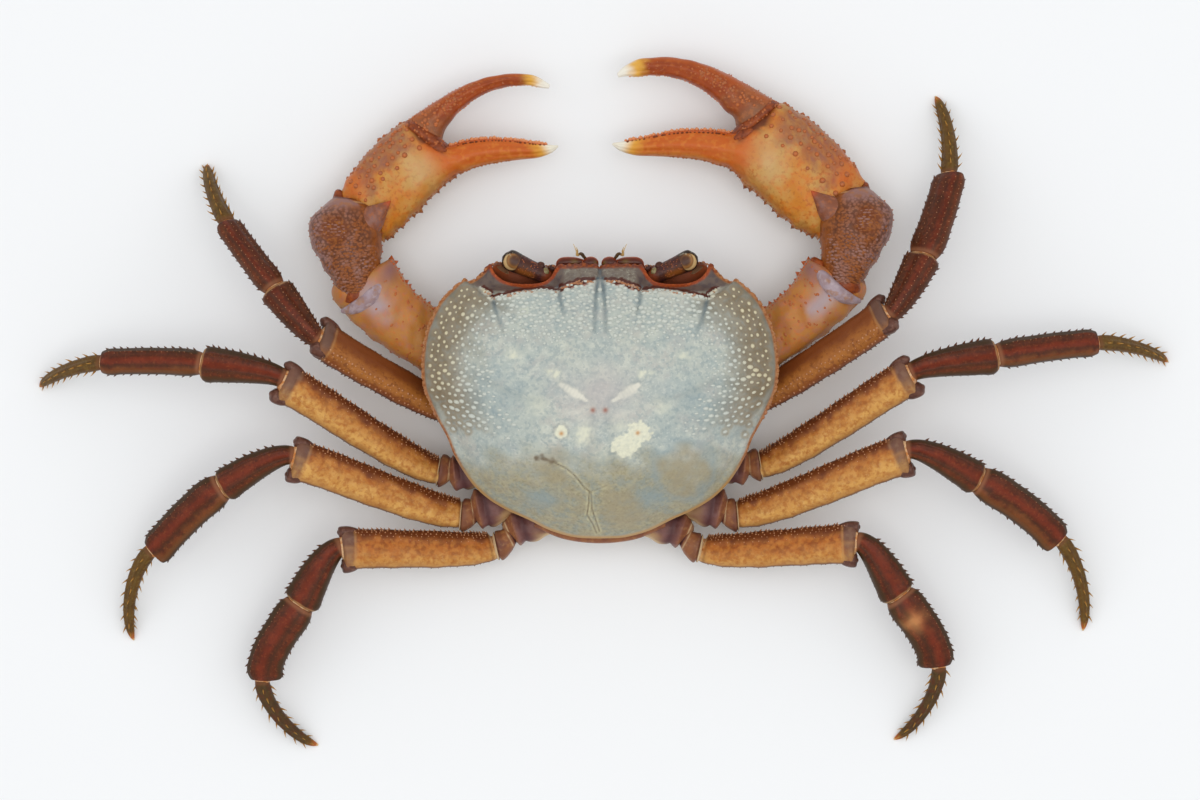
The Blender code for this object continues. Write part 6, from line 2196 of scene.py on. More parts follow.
def walking_legs() -> tuple[WalkingLeg, ...]:
    """All eight walking legs, with the sizes of the solids.

    Returns:
        The legs of the left side, then those of the right.
    """
    size = SegmentSize
    left, right = Side.LEFT, Side.RIGHT
    return (
        WalkingLeg(2, left, (-13.8, -1.6, 5.0), (-24.6, -2.0, 6.8), 38.0, 0.14, -0.04, 0.3, 0.8,
                   size(27.9, 151.9, 18.9, 6.7, 4.4), size(11.4, 130.4, -5.0, 6.0, 4.0),
                   size(14.7, 126.8, -17.8, 4.8, 3.4), size(15.4, 113.2, -42.0, 3.0, 2.2)),
        WalkingLeg(3, left, (-13.0, -7.4, 4.9), (-27.2, -12.4, 6.6), 6.0, -0.05, 0.0, 0.3, 0.9,
                   size(33.0, 148.9, 20.2, 6.4, 4.4), size(14.1, 169.5, -8.1, 5.8, 4.0),
                   size(18.3, 179.0, -15.9, 4.5, 3.4), size(16.8, 198.5, -40.0, 2.7, 2.2)),
        WalkingLeg(4, left, (-10.4, -11.6, 4.8), (-23.2, -19.6, 6.2), 0.0, -0.05, -0.1, 0.05, 0.5,
                   size(32.2, 160.8, 17.7, 6.7, 4.4), size(13.5, 203.7, -10.7, 5.5, 3.9),
                   size(17.6, 220.7, -18.2, 5.8, 3.4), size(18.1, 256.0, -25.0, 2.6, 2.2)),
        WalkingLeg(5, left, (-6.2, -14.4, 4.8), (-17.9, -25.1, 6.2), 0.0, -0.03, -0.1, 0.45, 0.4,
                   size(26.9, 180.3, 12.4, 6.7, 4.2), size(12.2, 233.5, -9.4, 6.1, 3.8),
                   size(15.2, 242.5, -13.4, 6.2, 3.3), size(16.2, 307.8, -22.0, 2.6, 2.1)),
        WalkingLeg(2, right, (13.8, -1.6, 5.0), (24.4, -0.9, 6.8), 38.0, 0.10, -0.05, 0.3, 0.8,
                   size(30.4, 32.2, 16.2, 6.7, 4.4), size(11.8, 59.0, -11.2, 6.2, 4.0),
                   size(15.7, 71.6, -18.6, 6.2, 3.4), size(16.0, 96.2, -28.4, 3.0, 2.2)),
        WalkingLeg(3, right, (13.0, -7.4, 4.9), (27.0, -11.4, 6.6), 6.0, -0.05, 0.0, 0.3, 0.9,
                   size(32.1, 31.9, 19.0, 6.3, 4.4), size(15.0, 11.2, -7.6, 5.8, 4.0),
                   size(18.5, 7.4, -15.7, 4.7, 3.4), size(17.0, 347.0, -35.0, 2.6, 2.2)),
        WalkingLeg(4, right, (10.4, -11.6, 4.8), (22.9, -19.6, 6.2), 0.0, -0.05, -0.1, 0.3, 0.5,
                   size(32.7, 20.6, 16.6, 6.7, 4.4), size(13.7, 337.7, -12.7, 5.5, 3.9),
                   size(18.6, 324.6, -17.2, 5.8, 3.4), size(18.0, 286.5, -21.5, 2.6, 2.2)),
        WalkingLeg(5, right, (6.2, -14.4, 4.8), (17.2, -25.5, 6.2), 0.0, -0.03, -0.1, 0.45, 0.4,
                   size(27.3, 2.6, 12.2, 6.6, 4.2), size(11.9, 308.7, -9.7, 6.0, 3.8),
                   size(14.6, 300.3, -13.9, 6.3, 3.3), size(16.3, 241.1, -22.0, 2.5, 2.1)),
    )


# Hand: ochre-yellow cuticle, purple-brown on the outer back with rusty tubercles, orange fingers
PALM_SHELL = Shell(
    "claw_hand_cuticle", "BE7624",
    layers=(
        Mottle(4.0, "BC9450", 0.5, 0.14, 0.7), Mottle(1.2, "C4661A", 0.55, 0.1, 0.6),
        Mottle(0.6, "94551E", 0.6, 0.07, 0.45),
        Zone("violet", "855448", 0.85), Mottle(1.0, "A05C2A", 0.54, 0.1, 0.55, "violet"),
        Zone("orange", "C0561A", 0.8),
        Zone("finger", "BC541A", 0.85), Mottle(1.0, "CE7E30", 0.58, 0.08, 0.45, "finger"),
        Zone("hinge", "4E2012", 0.9),
        Zone("cream", "C2A270", 0.65), Zone("keel", "8E5A28", 0.45), Zone("cut", "CC5A1E", 0.8),
        Zone("under", "B08A5C", 0.6), Zone("pit", "3A1A10", 0.9),
        Zone("tip", "D9A03C", 0.95), Zone("point", "E6E2D2", 0.95),
    ),
    reliefs=(Relief(Pattern.GRAIN, 0.4, 0.04), Relief(Pattern.CELLS, 1.1, 0.05),
             Relief(Pattern.GRAIN, 2.0, 0.08)),
    roughness=(0.33, 0.5), coat=0.15,
)
FINGER_SHELL = Shell(
    "claw_finger_cuticle", "9A4418",
    layers=(
        Mottle(2.0, "843614", 0.5, 0.12, 0.6), Mottle(0.8, "B0602A", 0.6, 0.07, 0.5),
        Mottle(0.5, "C48A64", 0.66, 0.04, 0.5),
        Zone("violet", "7A5236", 0.8), Mottle(0.8, "A86030", 0.56, 0.1, 0.5, "violet"),
        Zone("hinge", "5A2414", 0.8), Zone("keel", "C4662A", 0.4), Zone("under", "A86A3A", 0.5),
        Zone("tip", "DCA640", 0.95), Zone("point", "E9E6DA", 0.95),
    ),
    reliefs=(Relief(Pattern.GRAIN, 0.4, 0.04), Relief(Pattern.GRAIN, 1.6, 0.07)),
    roughness=(0.3, 0.46), coat=0.18,
)
WRIST_SHELL = Shell(
    "claw_wrist_cuticle", "8A4A1A",
    layers=(
        Mottle(2.4, "8E5224", 0.5, 0.12, 0.7), Mottle(0.8, "5E3018", 0.55, 0.1, 0.5),
        Zone("lilac", "8E6A64", 0.85), Mottle(1.1, "A0642E", 0.57, 0.08, 0.5, "lilac"),
        Mottle(0.6, "4E2612", 0.5, 0.16, 0.7, "scaly", pattern=Pattern.CELLS), Zone("patch", "6E3614", 0.9),
        Mottle(0.6, "9A5A20", 0.56, 0.08, 0.7, "patch"), Zone("flame", "B4521A", 0.85),
        Zone("under", "A88058", 0.7), Zone("dark", "4E2616", 0.85), Zone("cream", "D0A878", 0.7),
    ),
    reliefs=(Relief(Pattern.GRAIN, 0.4, 0.05), Relief(Pattern.CELLS, 0.6, -0.22, "scaly")),
    roughness=(0.34, 0.5), coat=0.14,
)
ARM_SHELL = Shell(
    "claw_arm_cuticle", "AE6E32",
    layers=(
        Mottle(3.0, "B47E3C", 0.5, 0.14, 0.7), Mottle(1.6, "A86A58", 0.56, 0.1, 0.5),
        Mottle(0.7, "C4682A", 0.6, 0.08, 0.45),
        Zone("crescent", "A0939A", 0.85), Zone("smudge", "7E5A5E", 0.8), Zone("flame", "B04A20", 0.85),
        Zone("streak", "B9A096", 0.5), Zone("under", "B4906A", 0.7), Zone("dark", "582A18", 0.8),
    ),
    reliefs=(Relief(Pattern.GRAIN, 0.4, 0.04), Relief(Pattern.GRAIN, 1.8, 0.08)),
    roughness=(0.34, 0.5), coat=0.14,
)
# Tubercles and scales of the claws: rusty cuticle polished at the top
RUST_BEADS = Shell("tubercle_cuticle_rust", "824424",
                   layers=(Zone("tip", "C06A34", 0.85), Mottle(0.8, "8C5A3E", 0.55, 0.1, 0.5)),
                   roughness=(0.28, 0.4), coat=0.2)
SCALE_BEADS = Shell("scale_cuticle_brown", "7E441C",
                    layers=(Zone("tip", "9C5C28", 0.5), Mottle(2.4, "8E6C66", 0.52, 0.12, 0.75)),
                    roughness=(0.36, 0.48), coat=0.08)
FLAME_TEETH = Shell("tooth_cuticle_flame", "9A4A24", layers=(Zone("tip", "C4602C", 0.8),),
                    roughness=(0.3, 0.42), coat=0.15)
MARGIN_TEETH = Shell("margin_tooth_cuticle", "8A5028",
                     layers=(Zone("tip", "B46C3A", 0.8), Mottle(1.0, "6A3A30", 0.54, 0.1, 0.6)),
                     roughness=(0.32, 0.46), coat=0.12)
CUTTING_TEETH = Shell("cutting_tooth_cuticle", "B04C14", layers=(Zone("tip", "EBA878", 0.9),),
                      roughness=(0.3, 0.42), coat=0.12)
TOOTH_PITS = Shell("cutting_tooth_pit_cuticle", "6E3214", roughness=(0.4, 0.5))
# Inner spine of the wrist: the wrist's colours, orange at the point
SPINE_SHELL = Shell(
    "wrist_spine_cuticle", "7E4A34",
    layers=(Mottle(1.2, "84605A", 0.5, 0.12, 0.6), Mottle(0.6, "A05A2C", 0.56, 0.08, 0.6),
            Zone("tip", "B04A1C", 0.9)),
    roughness=(0.32, 0.45), coat=0.15,
)
# Knuckles and the hinge band: dense red-brown pigment
KNUCKLE_SHELL = Shell(
    "claw_knuckle_cuticle", "7C3818",
    layers=(Mottle(1.0, "9C4C1E", 0.5, 0.1, 0.7), Mottle(0.5, "501E0E", 0.56, 0.08, 0.6)),
    reliefs=(Relief(Pattern.GRAIN, 0.4, 0.07), Relief(Pattern.CELLS, 0.8, 0.08)),
    roughness=(0.34, 0.5), coat=0.14,
)
# Collar of the arm: thin pale-lilac cuticle round the wrist's root
COLLAR_SHELL = Shell(
    "claw_arm_collar_cuticle", "A08E96",
    layers=(Mottle(2.0, "8A6E6C", 0.5, 0.12, 0.7), Mottle(0.8, "B8A8AC", 0.56, 0.1, 0.5),
            Mottle(1.4, "9A6A3C", 0.6, 0.08, 0.6)),
    reliefs=(Relief(Pattern.GRAIN, 0.4, 0.03),), roughness=(0.32, 0.46), coat=0.15,
)


@dataclass
class Cheliped:
    """One claw arm: base, arm, wrist, hand with its fixed finger, and movable finger."""

    side: Side
    root: tuple
    hip: tuple
    elbow: tuple
    wrist: tuple
    hand_length: float
    hand_angle: float
    knuckle: float
    stout: float
    arm_spread: float
    # Arm ribs from the hip: inner edge (out, forward), outer edge, height, half thickness
    arm: tuple = (
        ((1.2, 2.6), (1.4, -2.6), 0.0, 2.2), ((3.6, 5.4), (4.6, -2.4), 0.2, 2.6),
        ((7.8, 10.5), (9.2, 0.5), 1.6, 3.6), ((11.6, 13.9), (15.8, 4.6), 2.4, 4.2),
        ((14.2, 17.3), (20.6, 8.3), 2.8, 4.4), ((15.5, 19.4), (23.8, 11.4), 2.9, 4.1),
        ((17.5, 18.6), (25.5, 14.2), 2.5, 3.4), ((20.2, 17.6), (25.2, 15.7), 2.1, 2.4),
    )
    # Wrist ribs from the elbow: inner edge (out, forward), outer edge, height, half thickness
    carpus: tuple = (
        ((-3.0, -1.5), (-0.8, -1.5), 0.8, 1.4), ((-4.6, 0.3), (1.3, 0.6), 0.9, 3.0),
        ((-5.3, 3.4), (3.3, 3.4), 0.7, 4.0), ((-5.6, 6.8), (5.5, 7.0), 0.5, 4.5),
        ((-5.7, 10.4), (6.8, 11.0), 0.5, 4.6), ((-5.6, 13.2), (6.2, 14.0), 0.3, 4.2),
        ((-4.4, 15.4), (3.6, 16.2), 0.0, 3.2), ((-1.0, 16.8), (2.6, 17.2), 0.0, 2.0),
    )
    # Hand ribs in shares of its length: outer edge (along, out), inner edge, thickness
    hand: tuple = (
        ((-0.062, 0.152), (0.065, -0.150), 0.080), ((0.010, 0.208), (0.100, -0.136), 0.108),
        ((0.100, 0.262), (0.165, -0.108), 0.122), ((0.200, 0.314), (0.260, -0.068), 0.126),
        ((0.290, 0.347), (0.350, -0.020), 0.124), ((0.385, 0.360), (0.430, 0.012), 0.116),
        ((0.448, 0.272), (0.490, 0.034), 0.100), ((0.505, 0.196), (0.550, 0.040), 0.086),
        ((0.600, 0.176), (0.630, 0.038), 0.072), ((0.700, 0.150), (0.720, 0.023), 0.062),
        ((0.800, 0.108), (0.820, 0.000), 0.050), ((0.900, 0.054), (0.910, -0.020), 0.036),
        ((0.965, 0.022), (0.975, -0.016), 0.022), ((1.000, 0.006), (1.002, -0.004), 0.009),
    )
    finger: tuple = (
        ((0.385, 0.360), (0.505, 0.205), 0.084), ((0.420, 0.374), (0.530, 0.246), 0.086),
        ((0.490, 0.390), (0.572, 0.281), 0.080), ((0.580, 0.410), (0.634, 0.318), 0.070),
        ((0.675, 0.426), (0.707, 0.344), 0.060), ((0.765, 0.430), (0.780, 0.357), 0.052),
        ((0.850, 0.421), (0.852, 0.355), 0.045), ((0.935, 0.397), (0.922, 0.340), 0.037),
        ((1.010, 0.362), (0.990, 0.315), 0.028), ((1.050, 0.320), (1.030, 0.288), 0.019),
        ((1.067, 0.291), (1.056, 0.275), 0.011),
    )
    knuckle_ribs: tuple = (5, 6, 7)
    stout_ribs: tuple = (2, 3, 4, 5)
    root_depth: float = 1.3
    # Ribs of the hand under its hinge band
    band_ribs: tuple = (4.7, 5.1, 5.7, 6.4, 7.1)
    band_beads: int = 46
    finger_beads: int = 70
    arm_beads: int = 60
    scale_tries: int = 3500
    scale_spacing: float = 0.56
    spine: tuple = ((-1.4, 11.2, 1.2), (-3.9, 13.2, 2.2), (-5.9, 15.0, 2.9), (-7.3, 16.3, 3.1))
    # Collar on the arm round the wrist's root, as (out, forward, up) from the elbow
    collar: tuple = (
        (1.0, -2.5, 2.3), (-0.8, -2.1, 3.1), (-2.5, -1.3, 3.6), (-4.1, 0.0, 3.8), (-5.4, 1.6, 3.5),
        (-6.2, 3.1, 2.6),
    )

    def palm_body(self) -> RibBody:
        """Palm and fixed finger, with the finger joint moved as this hand has it.

        Returns:
            The body over the hand's ribs.
        """
        ribs = []
        for i, (outer, inner, thick) in enumerate(self.hand):
            shift = self.knuckle if i in self.knuckle_ribs else 0.0
            drop = self.stout if i in self.stout_ribs else 0.0
            ribs.append(((outer[0] + shift, outer[1]), (inner[0], inner[1] - drop), thick))
        return self.hand_body("propodus", Body.HAND, ribs)

    def finger_body(self) -> RibBody:
        """Movable finger, its root let into the palm under the knuckle.

        Returns:
            The body over the finger's ribs.
        """
        last = len(self.finger) - 1
        ribs = []
        for i, (outer, inner, thick) in enumerate(self.finger):
            shift = self.knuckle * (1.0 - i / last)
            drop = self.stout if 1 < i < last - 1 else 0.0
            ribs.append(((outer[0] + shift, outer[1]), (inner[0] + shift, inner[1] - drop), thick))
        edges = np.array(ribs[0][:2])
        line = unit(edges[1] - edges[0])
        inward = np.array((line[1], -line[0])) * self.root_depth / self.hand_length
        squeeze = (edges - edges.mean(0)) * 0.9 + edges.mean(0) + inward
        ribs.insert(0, (tuple(squeeze[0]), tuple(squeeze[1]), ribs[0][2] * 0.85))
        return self.hand_body("dactylus", Body.FINGER, ribs)

    def hand_body(self, part: str, kind: Body, ribs: list) -> RibBody:
        """A body over hand ribs, mirrored so that the hand runs back towards the midline.

        Args:
            part: The segment's name.
            kind: Kind of the body.
            ribs: Outer edge, inner edge and thickness in shares of the hand's length.

        Returns:
            The body, placed at the wrist's far joint.
        """
        size = self.hand_length
        scaled = tuple(((-a[0] * size, a[1] * size), (-b[0] * size, b[1] * size), 0.0, t * size)
                       for a, b, t in ribs)
        return RibBody(f"cheliped_{self.side.label}_{part}", scaled, self.wrist, self.side,
                       -self.hand_angle, kind)

    def arm_body(self) -> RibBody:
        """The arm, widened in its middle where this one is wider.

        Returns:
            The body over the arm's ribs.
        """
        ribs = []
        for i, (inner, outer, height, half) in enumerate(self.arm):
            spread = self.arm_spread * math.sin(math.pi * i / (len(self.arm) - 1))
            out = unit(np.array(outer) - np.array(inner)) * spread
            ribs.append((inner, tuple(np.array(outer) + out), height, half))
        return RibBody(f"cheliped_{self.side.label}_merus", tuple(ribs), self.hip, self.side)

    def beads(self, body: RibBody, label: str, s: Array, c: Array, radii: Array, tall: float, seed: tuple,
              finish: Shell, stretch: Array | None = None, crosswise: bool = False,
              sink: float = 0.35) -> None:
        """Beads, scales or teeth set on a body.

        Args:
            body: The body that carries them.
            label: End of the piece's name.
            s: Shares of the body's length.
            c: Places across it, 1 at its first edge and -1 at its second.
            radii: Root radius of each.
            tall: Height as a share of the radius.
            seed: The shape to copy.
            finish: Their finish.
            stretch: Root length as a share of the radius.
            crosswise: Whether the longer root axis runs across the body.
            sink: How far their roots go in, in radii.
        """
        angle = np.arccos(np.clip(power(c, SQUARENESS / 2.0), -1.0, 1.0))
        here, out, along = body.spots(s, angle)
        turn = np.cross(out, along) if crosswise else along
        piece = scatter(f"{body.name}_{label}", seed, here, out, radii, radii * tall, stretch, turn, sink)
        dress(piece, finish, "claw_orange_shell")

    def edge_teeth(self, body: RibBody, label: str, first: float, last: float, edge: float, count: int,
                   radius: float, tall: float, finish: Shell, seed: tuple, sink: float = 0.8) -> None:
        """A row of teeth along an edge of a body, between two ribs.

        Args:
            body: The body that carries them.
            label: End of the piece's name.
            first: The rib where the row starts.
            last: The rib where it ends.
            edge: Place across the body, 1 at its first edge and -1 at its second.
            count: How many there are.
            radius: Root radius of a tooth.
            tall: Height as a share of the radius.
            finish: Their finish.
            seed: The shape to copy.
            sink: How far the roots go in, in radii.
        """
        draw = np.random.default_rng(count + len(body.name))
        shift = draw.normal(0.0, 0.15, count) / body.length
        s = np.linspace(body.station(first), body.station(last), count) + shift
        radii = radius * draw.uniform(0.6, 1.3, count)
        self.beads(body, label, s, np.full(count, edge), radii, tall, seed, finish, sink=sink)

    def dress(self, seeds: Seeds) -> None:
        """Build and dress the whole claw arm.

        Args:
            seeds: The small shapes to copy.
        """
        name = f"cheliped_{self.side.label}"
        hand, finger, arm = self.palm_body(), self.finger_body(), self.arm_body()
        wrist = RibBody(name + "_carpus", self.carpus, self.elbow, self.side, 0.0, Body.WRIST)
        shells = (
            (hand, PALM_SHELL, "claw_orange_shell", 84, 100),
            (finger, FINGER_SHELL, "claw_finger_shell", 60, 90),
            (wrist, WRIST_SHELL, "claw_orange_shell", 84, 80),
            (arm, ARM_SHELL, "claw_orange_shell", 72, 90),
        )
        for body, finish, slot, sides, cuts in shells:
            dress(body.piece(sides, cuts), finish, slot, body.name)
        inner, outer, height, _ = self.arm[0]
        face = (np.array(inner) + np.array(outer)) / 2.0
        out = np.array((self.side.value, 0.0, 0.0))
        end = np.array(self.hip) + (face[0] * self.side.value, face[1], height) - out * GAP
        base = LegSegment(Part.BASE, name + "_base", self.side, np.array(self.root), end, out, out, 0.0,
                          5.0, 5.0)
        dress(base.piece(44, 30), HIP_SHELL, "claw_orange_shell", base.name)
        self.dress_knobs()
        self.hinge(hand, seeds.bead)
        links = (
            (base, arm, (0.95, 0.03)), (arm, wrist, (0.93, 0.06)), (wrist, hand, (0.9, 0.05)),
            (hand, finger, (hand.station(5.4), 0.05)),
        )
        for near, far, reach in links:
            share = (0.45, 0.8) if near is hand else (0.7, 0.75)
            Membrane(far.name + "_joint_skin", near, far, reach, share, 32, 11).dress("claw_orange_shell")
        self.dress_beads(hand, finger, wrist, arm, seeds)

    def dress_knobs(self) -> None:
        """Build and dress the rounded bodies at the joints, each through points given from a joint."""
        # Name, joint, points as (out, forward, up), radii, height as a share of the width, finish, rings
        knobs = (
            ("wrist_spine", self.elbow, self.spine, (2.8, 2.5, 1.15, 0.1), 0.8, SPINE_SHELL, 24),
            ("arm_collar", self.elbow, self.collar, (0.4, 1.0, 1.3, 1.35, 1.15, 0.4), 0.9,
             COLLAR_SHELL, 40),
            ("wrist_root", self.elbow, ((-3.6, 1.6, 1.8), (-1.6, 0.4, 2.2), (0.4, -0.5, 1.8)),
             (1.5, 2.1, 1.3), 0.9,
             KNUCKLE_SHELL, 26),
            ("wrist_inner_knuckle", self.elbow, ((-4.9, 3.0, 1.0), (-6.0, 3.5, 1.6), (-6.9, 4.6, 1.4)),
             (0.9, 1.3, 0.7), 1.0, KNUCKLE_SHELL, 18),
            ("hand_outer_knuckle", self.wrist, ((2.6, 1.6, 0.6), (3.6, 3.0, 0.9), (3.9, 4.6, 0.7)),
             (0.9, 1.25, 0.7), 1.3, KNUCKLE_SHELL, 18),
        )
        for label, joint, points, radii, flat, finish, cuts in knobs:
            path = tuple(np.array(joint) + (p[0] * self.side.value, p[1], p[2]) for p in points)
            knob = Pod(f"cheliped_{self.side.label}_{label}", path, radii, flat, 0.7)
            dress(knob.piece(32, cuts), finish, "claw_orange_shell")

    def hinge(self, hand: RibBody, bead: tuple) -> None:
        """Dark granular band of the palm over the root of the movable finger.

        Args:
            hand: The body of the palm.
            bead: Points and triangles of one bead.
        """
        rows = spline(hand.stations, hand.data, np.array([hand.station(rib) for rib in self.band_ribs]))
        inward = unit(rows[:, 2:4] - rows[:, :2])
        path = np.concatenate([rows[:, :2] + inward * 0.9, rows[:, 4:5] + 0.5], 1)
        band = Pod(f"{hand.name}_hinge_band", tuple(path), (0.5, 1.3, 1.5, 1.45, 0.7), 2.2, 0.5)
        dress(band.piece(40, 44), KNUCKLE_SHELL, "claw_orange_shell")
        spots, _, _ = hand.spots(np.array([hand.station(rib) for rib in (5.8, 6.3, 6.8)]), np.full(3, 1.2))
        knob = Pod(f"{hand.name}_hinge_knob", tuple(spots - UP * 0.2), (0.45, 0.95, 0.5), 0.8, 0.6)
        dress(knob.piece(28, 20), KNUCKLE_SHELL, "claw_orange_shell")
        draw = np.random.default_rng(90)
        here, out, _ = band.spots(draw.uniform(0.08, 0.9, self.band_beads),
                                  draw.uniform(0.2, 2.9, self.band_beads))
        radii = draw.uniform(0.16, 0.3, self.band_beads)
        dress(scatter(f"{hand.name}_hinge_beads", bead, here, out, radii, radii * 0.55),
              RUST_BEADS, "claw_orange_shell")

    def dress_beads(self, hand: RibBody, finger: RibBody, wrist: RibBody, arm: RibBody,
                    seeds: Seeds) -> None:
        """Tubercles of the hand, teeth of the fingers, scales of the wrist and spots of the arm.

        Args:
            hand: The body of the palm.
            finger: The body of the movable finger.
            wrist: The body of the wrist.
            arm: The body of the arm.
            seeds: The small shapes to copy.
        """
        draw = np.random.default_rng(40 + self.side.value)
        rows = []
        for level, count in ((0.86, 15), (0.66, 12), (0.42, 9), (0.18, 6)):
            s = np.linspace(hand.station(1.0), hand.station(4.8), count) + draw.normal(0.0, 0.006, count)
            rows.append(np.stack([s, level + draw.normal(0.0, 0.05, count)], 1))
        spots = np.concatenate(rows)
        radii = draw.uniform(0.34, 0.56, len(spots))
        self.beads(hand, "tubercles", spots[:, 0], spots[:, 1], radii, 0.6, seeds.bead, RUST_BEADS)
        s = draw.uniform(finger.station(1.3), finger.station(6.0), self.finger_beads)
        c = draw.uniform(-0.5, 0.95, self.finger_beads) * (1.0 - s * 0.4)
        radii = draw.uniform(0.2, 0.46, self.finger_beads) * (1.1 - s)
        self.beads(finger, "tubercles", s, c, radii, 0.55, seeds.bead, RUST_BEADS)
        self.edge_teeth(hand, "outer_teeth", 0.9, 4.9, 1.0, 15, 0.5, 0.75, RUST_BEADS, seeds.bead)
        self.edge_teeth(hand, "lower_teeth", 0.7, 6.6, -1.0, 14, 0.78, 0.6, MARGIN_TEETH, seeds.tooth)
        self.edge_teeth(hand, "lower_beads", 0.7, 9.4, -0.98, 40, 0.34, 0.7, MARGIN_TEETH, seeds.bead)
        self.edge_teeth(
            hand, "cutting_teeth", 7.0, 11.7, 0.97, 34, 0.42, 1.15, CUTTING_TEETH, seeds.bead, 0.3)
        self.edge_teeth(hand, "cutting_pits", 7.6, 11.6, 0.78, 24, 0.26, 0.35, TOOTH_PITS, seeds.bead, 0.3)
        self.edge_teeth(finger, "outer_teeth", 1.6, 5.0, 1.0, 14, 0.32, 0.7, FLAME_TEETH, seeds.tooth)
        self.edge_teeth(finger, "cutting_teeth", 3.6, 9.4, -1.0, 24, 0.22, 0.6, CUTTING_TEETH, seeds.bead)
        self.edge_teeth(arm, "inner_teeth", 1.6, 5.0, 1.0, 13, 0.62, 0.85, FLAME_TEETH, seeds.tooth)
        self.edge_teeth(arm, "inner_beads", 1.4, 4.8, 0.94, 22, 0.26, 0.7, FLAME_TEETH, seeds.bead)
        self.edge_teeth(arm, "outer_teeth", 1.0, 5.5, -1.0, 22, 0.26, 0.6, RUST_BEADS, seeds.bead)
        self.edge_teeth(wrist, "outer_teeth", 1.6, 5.6, -1.0, 14, 0.36, 0.6, RUST_BEADS, seeds.tooth)
        self.edge_teeth(wrist, "inner_teeth", 2.0, 4.6, 1.0, 9, 0.34, 0.6, FLAME_TEETH, seeds.tooth)
        s, c = draw.uniform(0.08, 0.92, self.scale_tries), draw.uniform(-0.85, 0.85, self.scale_tries)
        oval = wrist.oval(s, c)
        bare = ((0.36 < oval) & (oval < 0.52)) | ((oval > 0.4) & ((s > 0.74) | ((s > 0.55) & (c > 0.45))))
        s, c, oval = s[~bare], c[~bare], oval[~bare]
        kept = keep_apart(np.stack([s * wrist.length, c * 6.0], 1), np.full(len(s), self.scale_spacing))
        s, c, inner = s[kept], c[kept], oval[kept] < 0.4
        radii = draw.uniform(0.17, 0.27, len(s)) * np.where(inner, 0.7, 1.0)
        stretch = draw.uniform(1.2, 2.2, len(s)) * np.where(inner, 1.5, 1.0)
        self.beads(wrist, "scales", s, c, radii, 0.4, seeds.bead, SCALE_BEADS, stretch, True)
        s, c = draw.uniform(0.1, 0.85, self.arm_beads), draw.uniform(-0.95, 0.9, self.arm_beads)
        radii, stretch = draw.uniform(0.14, 0.26, self.arm_beads), draw.uniform(1.0, 2.2, self.arm_beads)
        self.beads(arm, "beads", s, c, radii, 0.45, seeds.bead, RUST_BEADS, stretch, True)


def chelipeds() -> tuple[Cheliped, Cheliped]:
    """Both claw arms, with the sizes of the solids.

    Returns:
        The left one and the right one.
    """
    return (
        Cheliped(Side.LEFT, (-12.2, 4.6, 5.2), (-20.2, 4.8, 5.6), (-43.1, 17.7, 8.3), (-41.1, 31.2, 6.4),
                 36.0, 20.2, -0.022, 0.0, 0.9),
        Cheliped(Side.RIGHT, (12.2, 4.6, 5.2), (20.2, 4.8, 5.6), (43.4, 19.4, 8.6), (41.6, 32.5, 6.8),
                 41.0, 16.3, 0.012, 0.018, 0.0),
    )


# Eyestalks: dark purple-brown cuticle, smooth and moist, with a painted warm highlight low on the rear side
STALK_SHELL = Shell(
    "eyestalk_cuticle", "4A281C",
    layers=(
        Mottle(1.2, "3E2024", 0.5, 0.12, 0.7), Mottle(0.5, "6E4238", 0.6, 0.06, 0.5),
        # Painted warm highlight along the low rear flank of the stalk
        Zone("warm", "8E5420", 0.8),
        Zone("base", "86401E", 0.8), Zone("dark", "2E1A14", 0.7),
    ),
    reliefs=(Relief(Pattern.GRAIN, 0.25, 0.03), Relief(Pattern.CELLS, 0.6, 0.03)),
    roughness=(0.3, 0.45), coat=0.1,
)
# Cornea: dark facetted lens with a pale golden crescent of reflecting pigment on its outer end
CORNEA_SHELL = Shell(
    "eye_cornea_facets", "50301F",
    layers=(Mottle(0.8, "3E2420", 0.5, 0.12, 0.5), Zone("glow", "9A6C38", 0.8),
            Zone("gold", "D2B27C", 0.95),
            Zone("rim", "20160E", 0.97), Mottle(0.5, "A8A088", 0.6, 0.05, 0.7, "crown")),
    reliefs=(Relief(Pattern.CELLS, 0.14, 0.008),), roughness=(0.3, 0.4), coat=0.12, gloss=0.2,
)
# Ball joint at the stalk's root: pale greenish skin
BALL_SHELL = Shell("eyestalk_root_skin", "827A52",
                   layers=(Mottle(0.5, "A39A72", 0.5, 0.1, 0.7), Mottle(0.8, "6A4A2C", 0.58, 0.1, 0.6)),
                   reliefs=(Relief(Pattern.GRAIN, 0.2, 0.04),), roughness=(0.3, 0.45), coat=0.2)
# Feeler bases: red-brown with an orange edge round a dark hollow
FEELER_SHELL = Shell(
    "feeler_base_cuticle", "6E2810",
    layers=(Mottle(1.2, "521C0C", 0.5, 0.1, 0.6), Zone("hollow", "40180A", 0.8),
            Zone("edge", "A24614", 0.8),
            Mottle(0.4, "C26A30", 0.58, 0.07, 0.6, "edge"), Zone("olive", "6E5A22", 0.5)),
    reliefs=(Relief(Pattern.GRAIN, 0.3, 0.04),), roughness=(0.26, 0.4), coat=0.25,
)
# Feeler whips: horn-like and golden, dark at the root
WHIP_SHELL = Shell(
    "feeler_whip_cuticle", "A8844A",
    layers=(Zone("root", "2E1A10", 0.95), Zone("tip", "D9C49A", 0.8),
            Mottle(0.3, "7A5A2C", 0.55, 0.1, 0.5)),
    roughness=(0.35, 0.5),
)
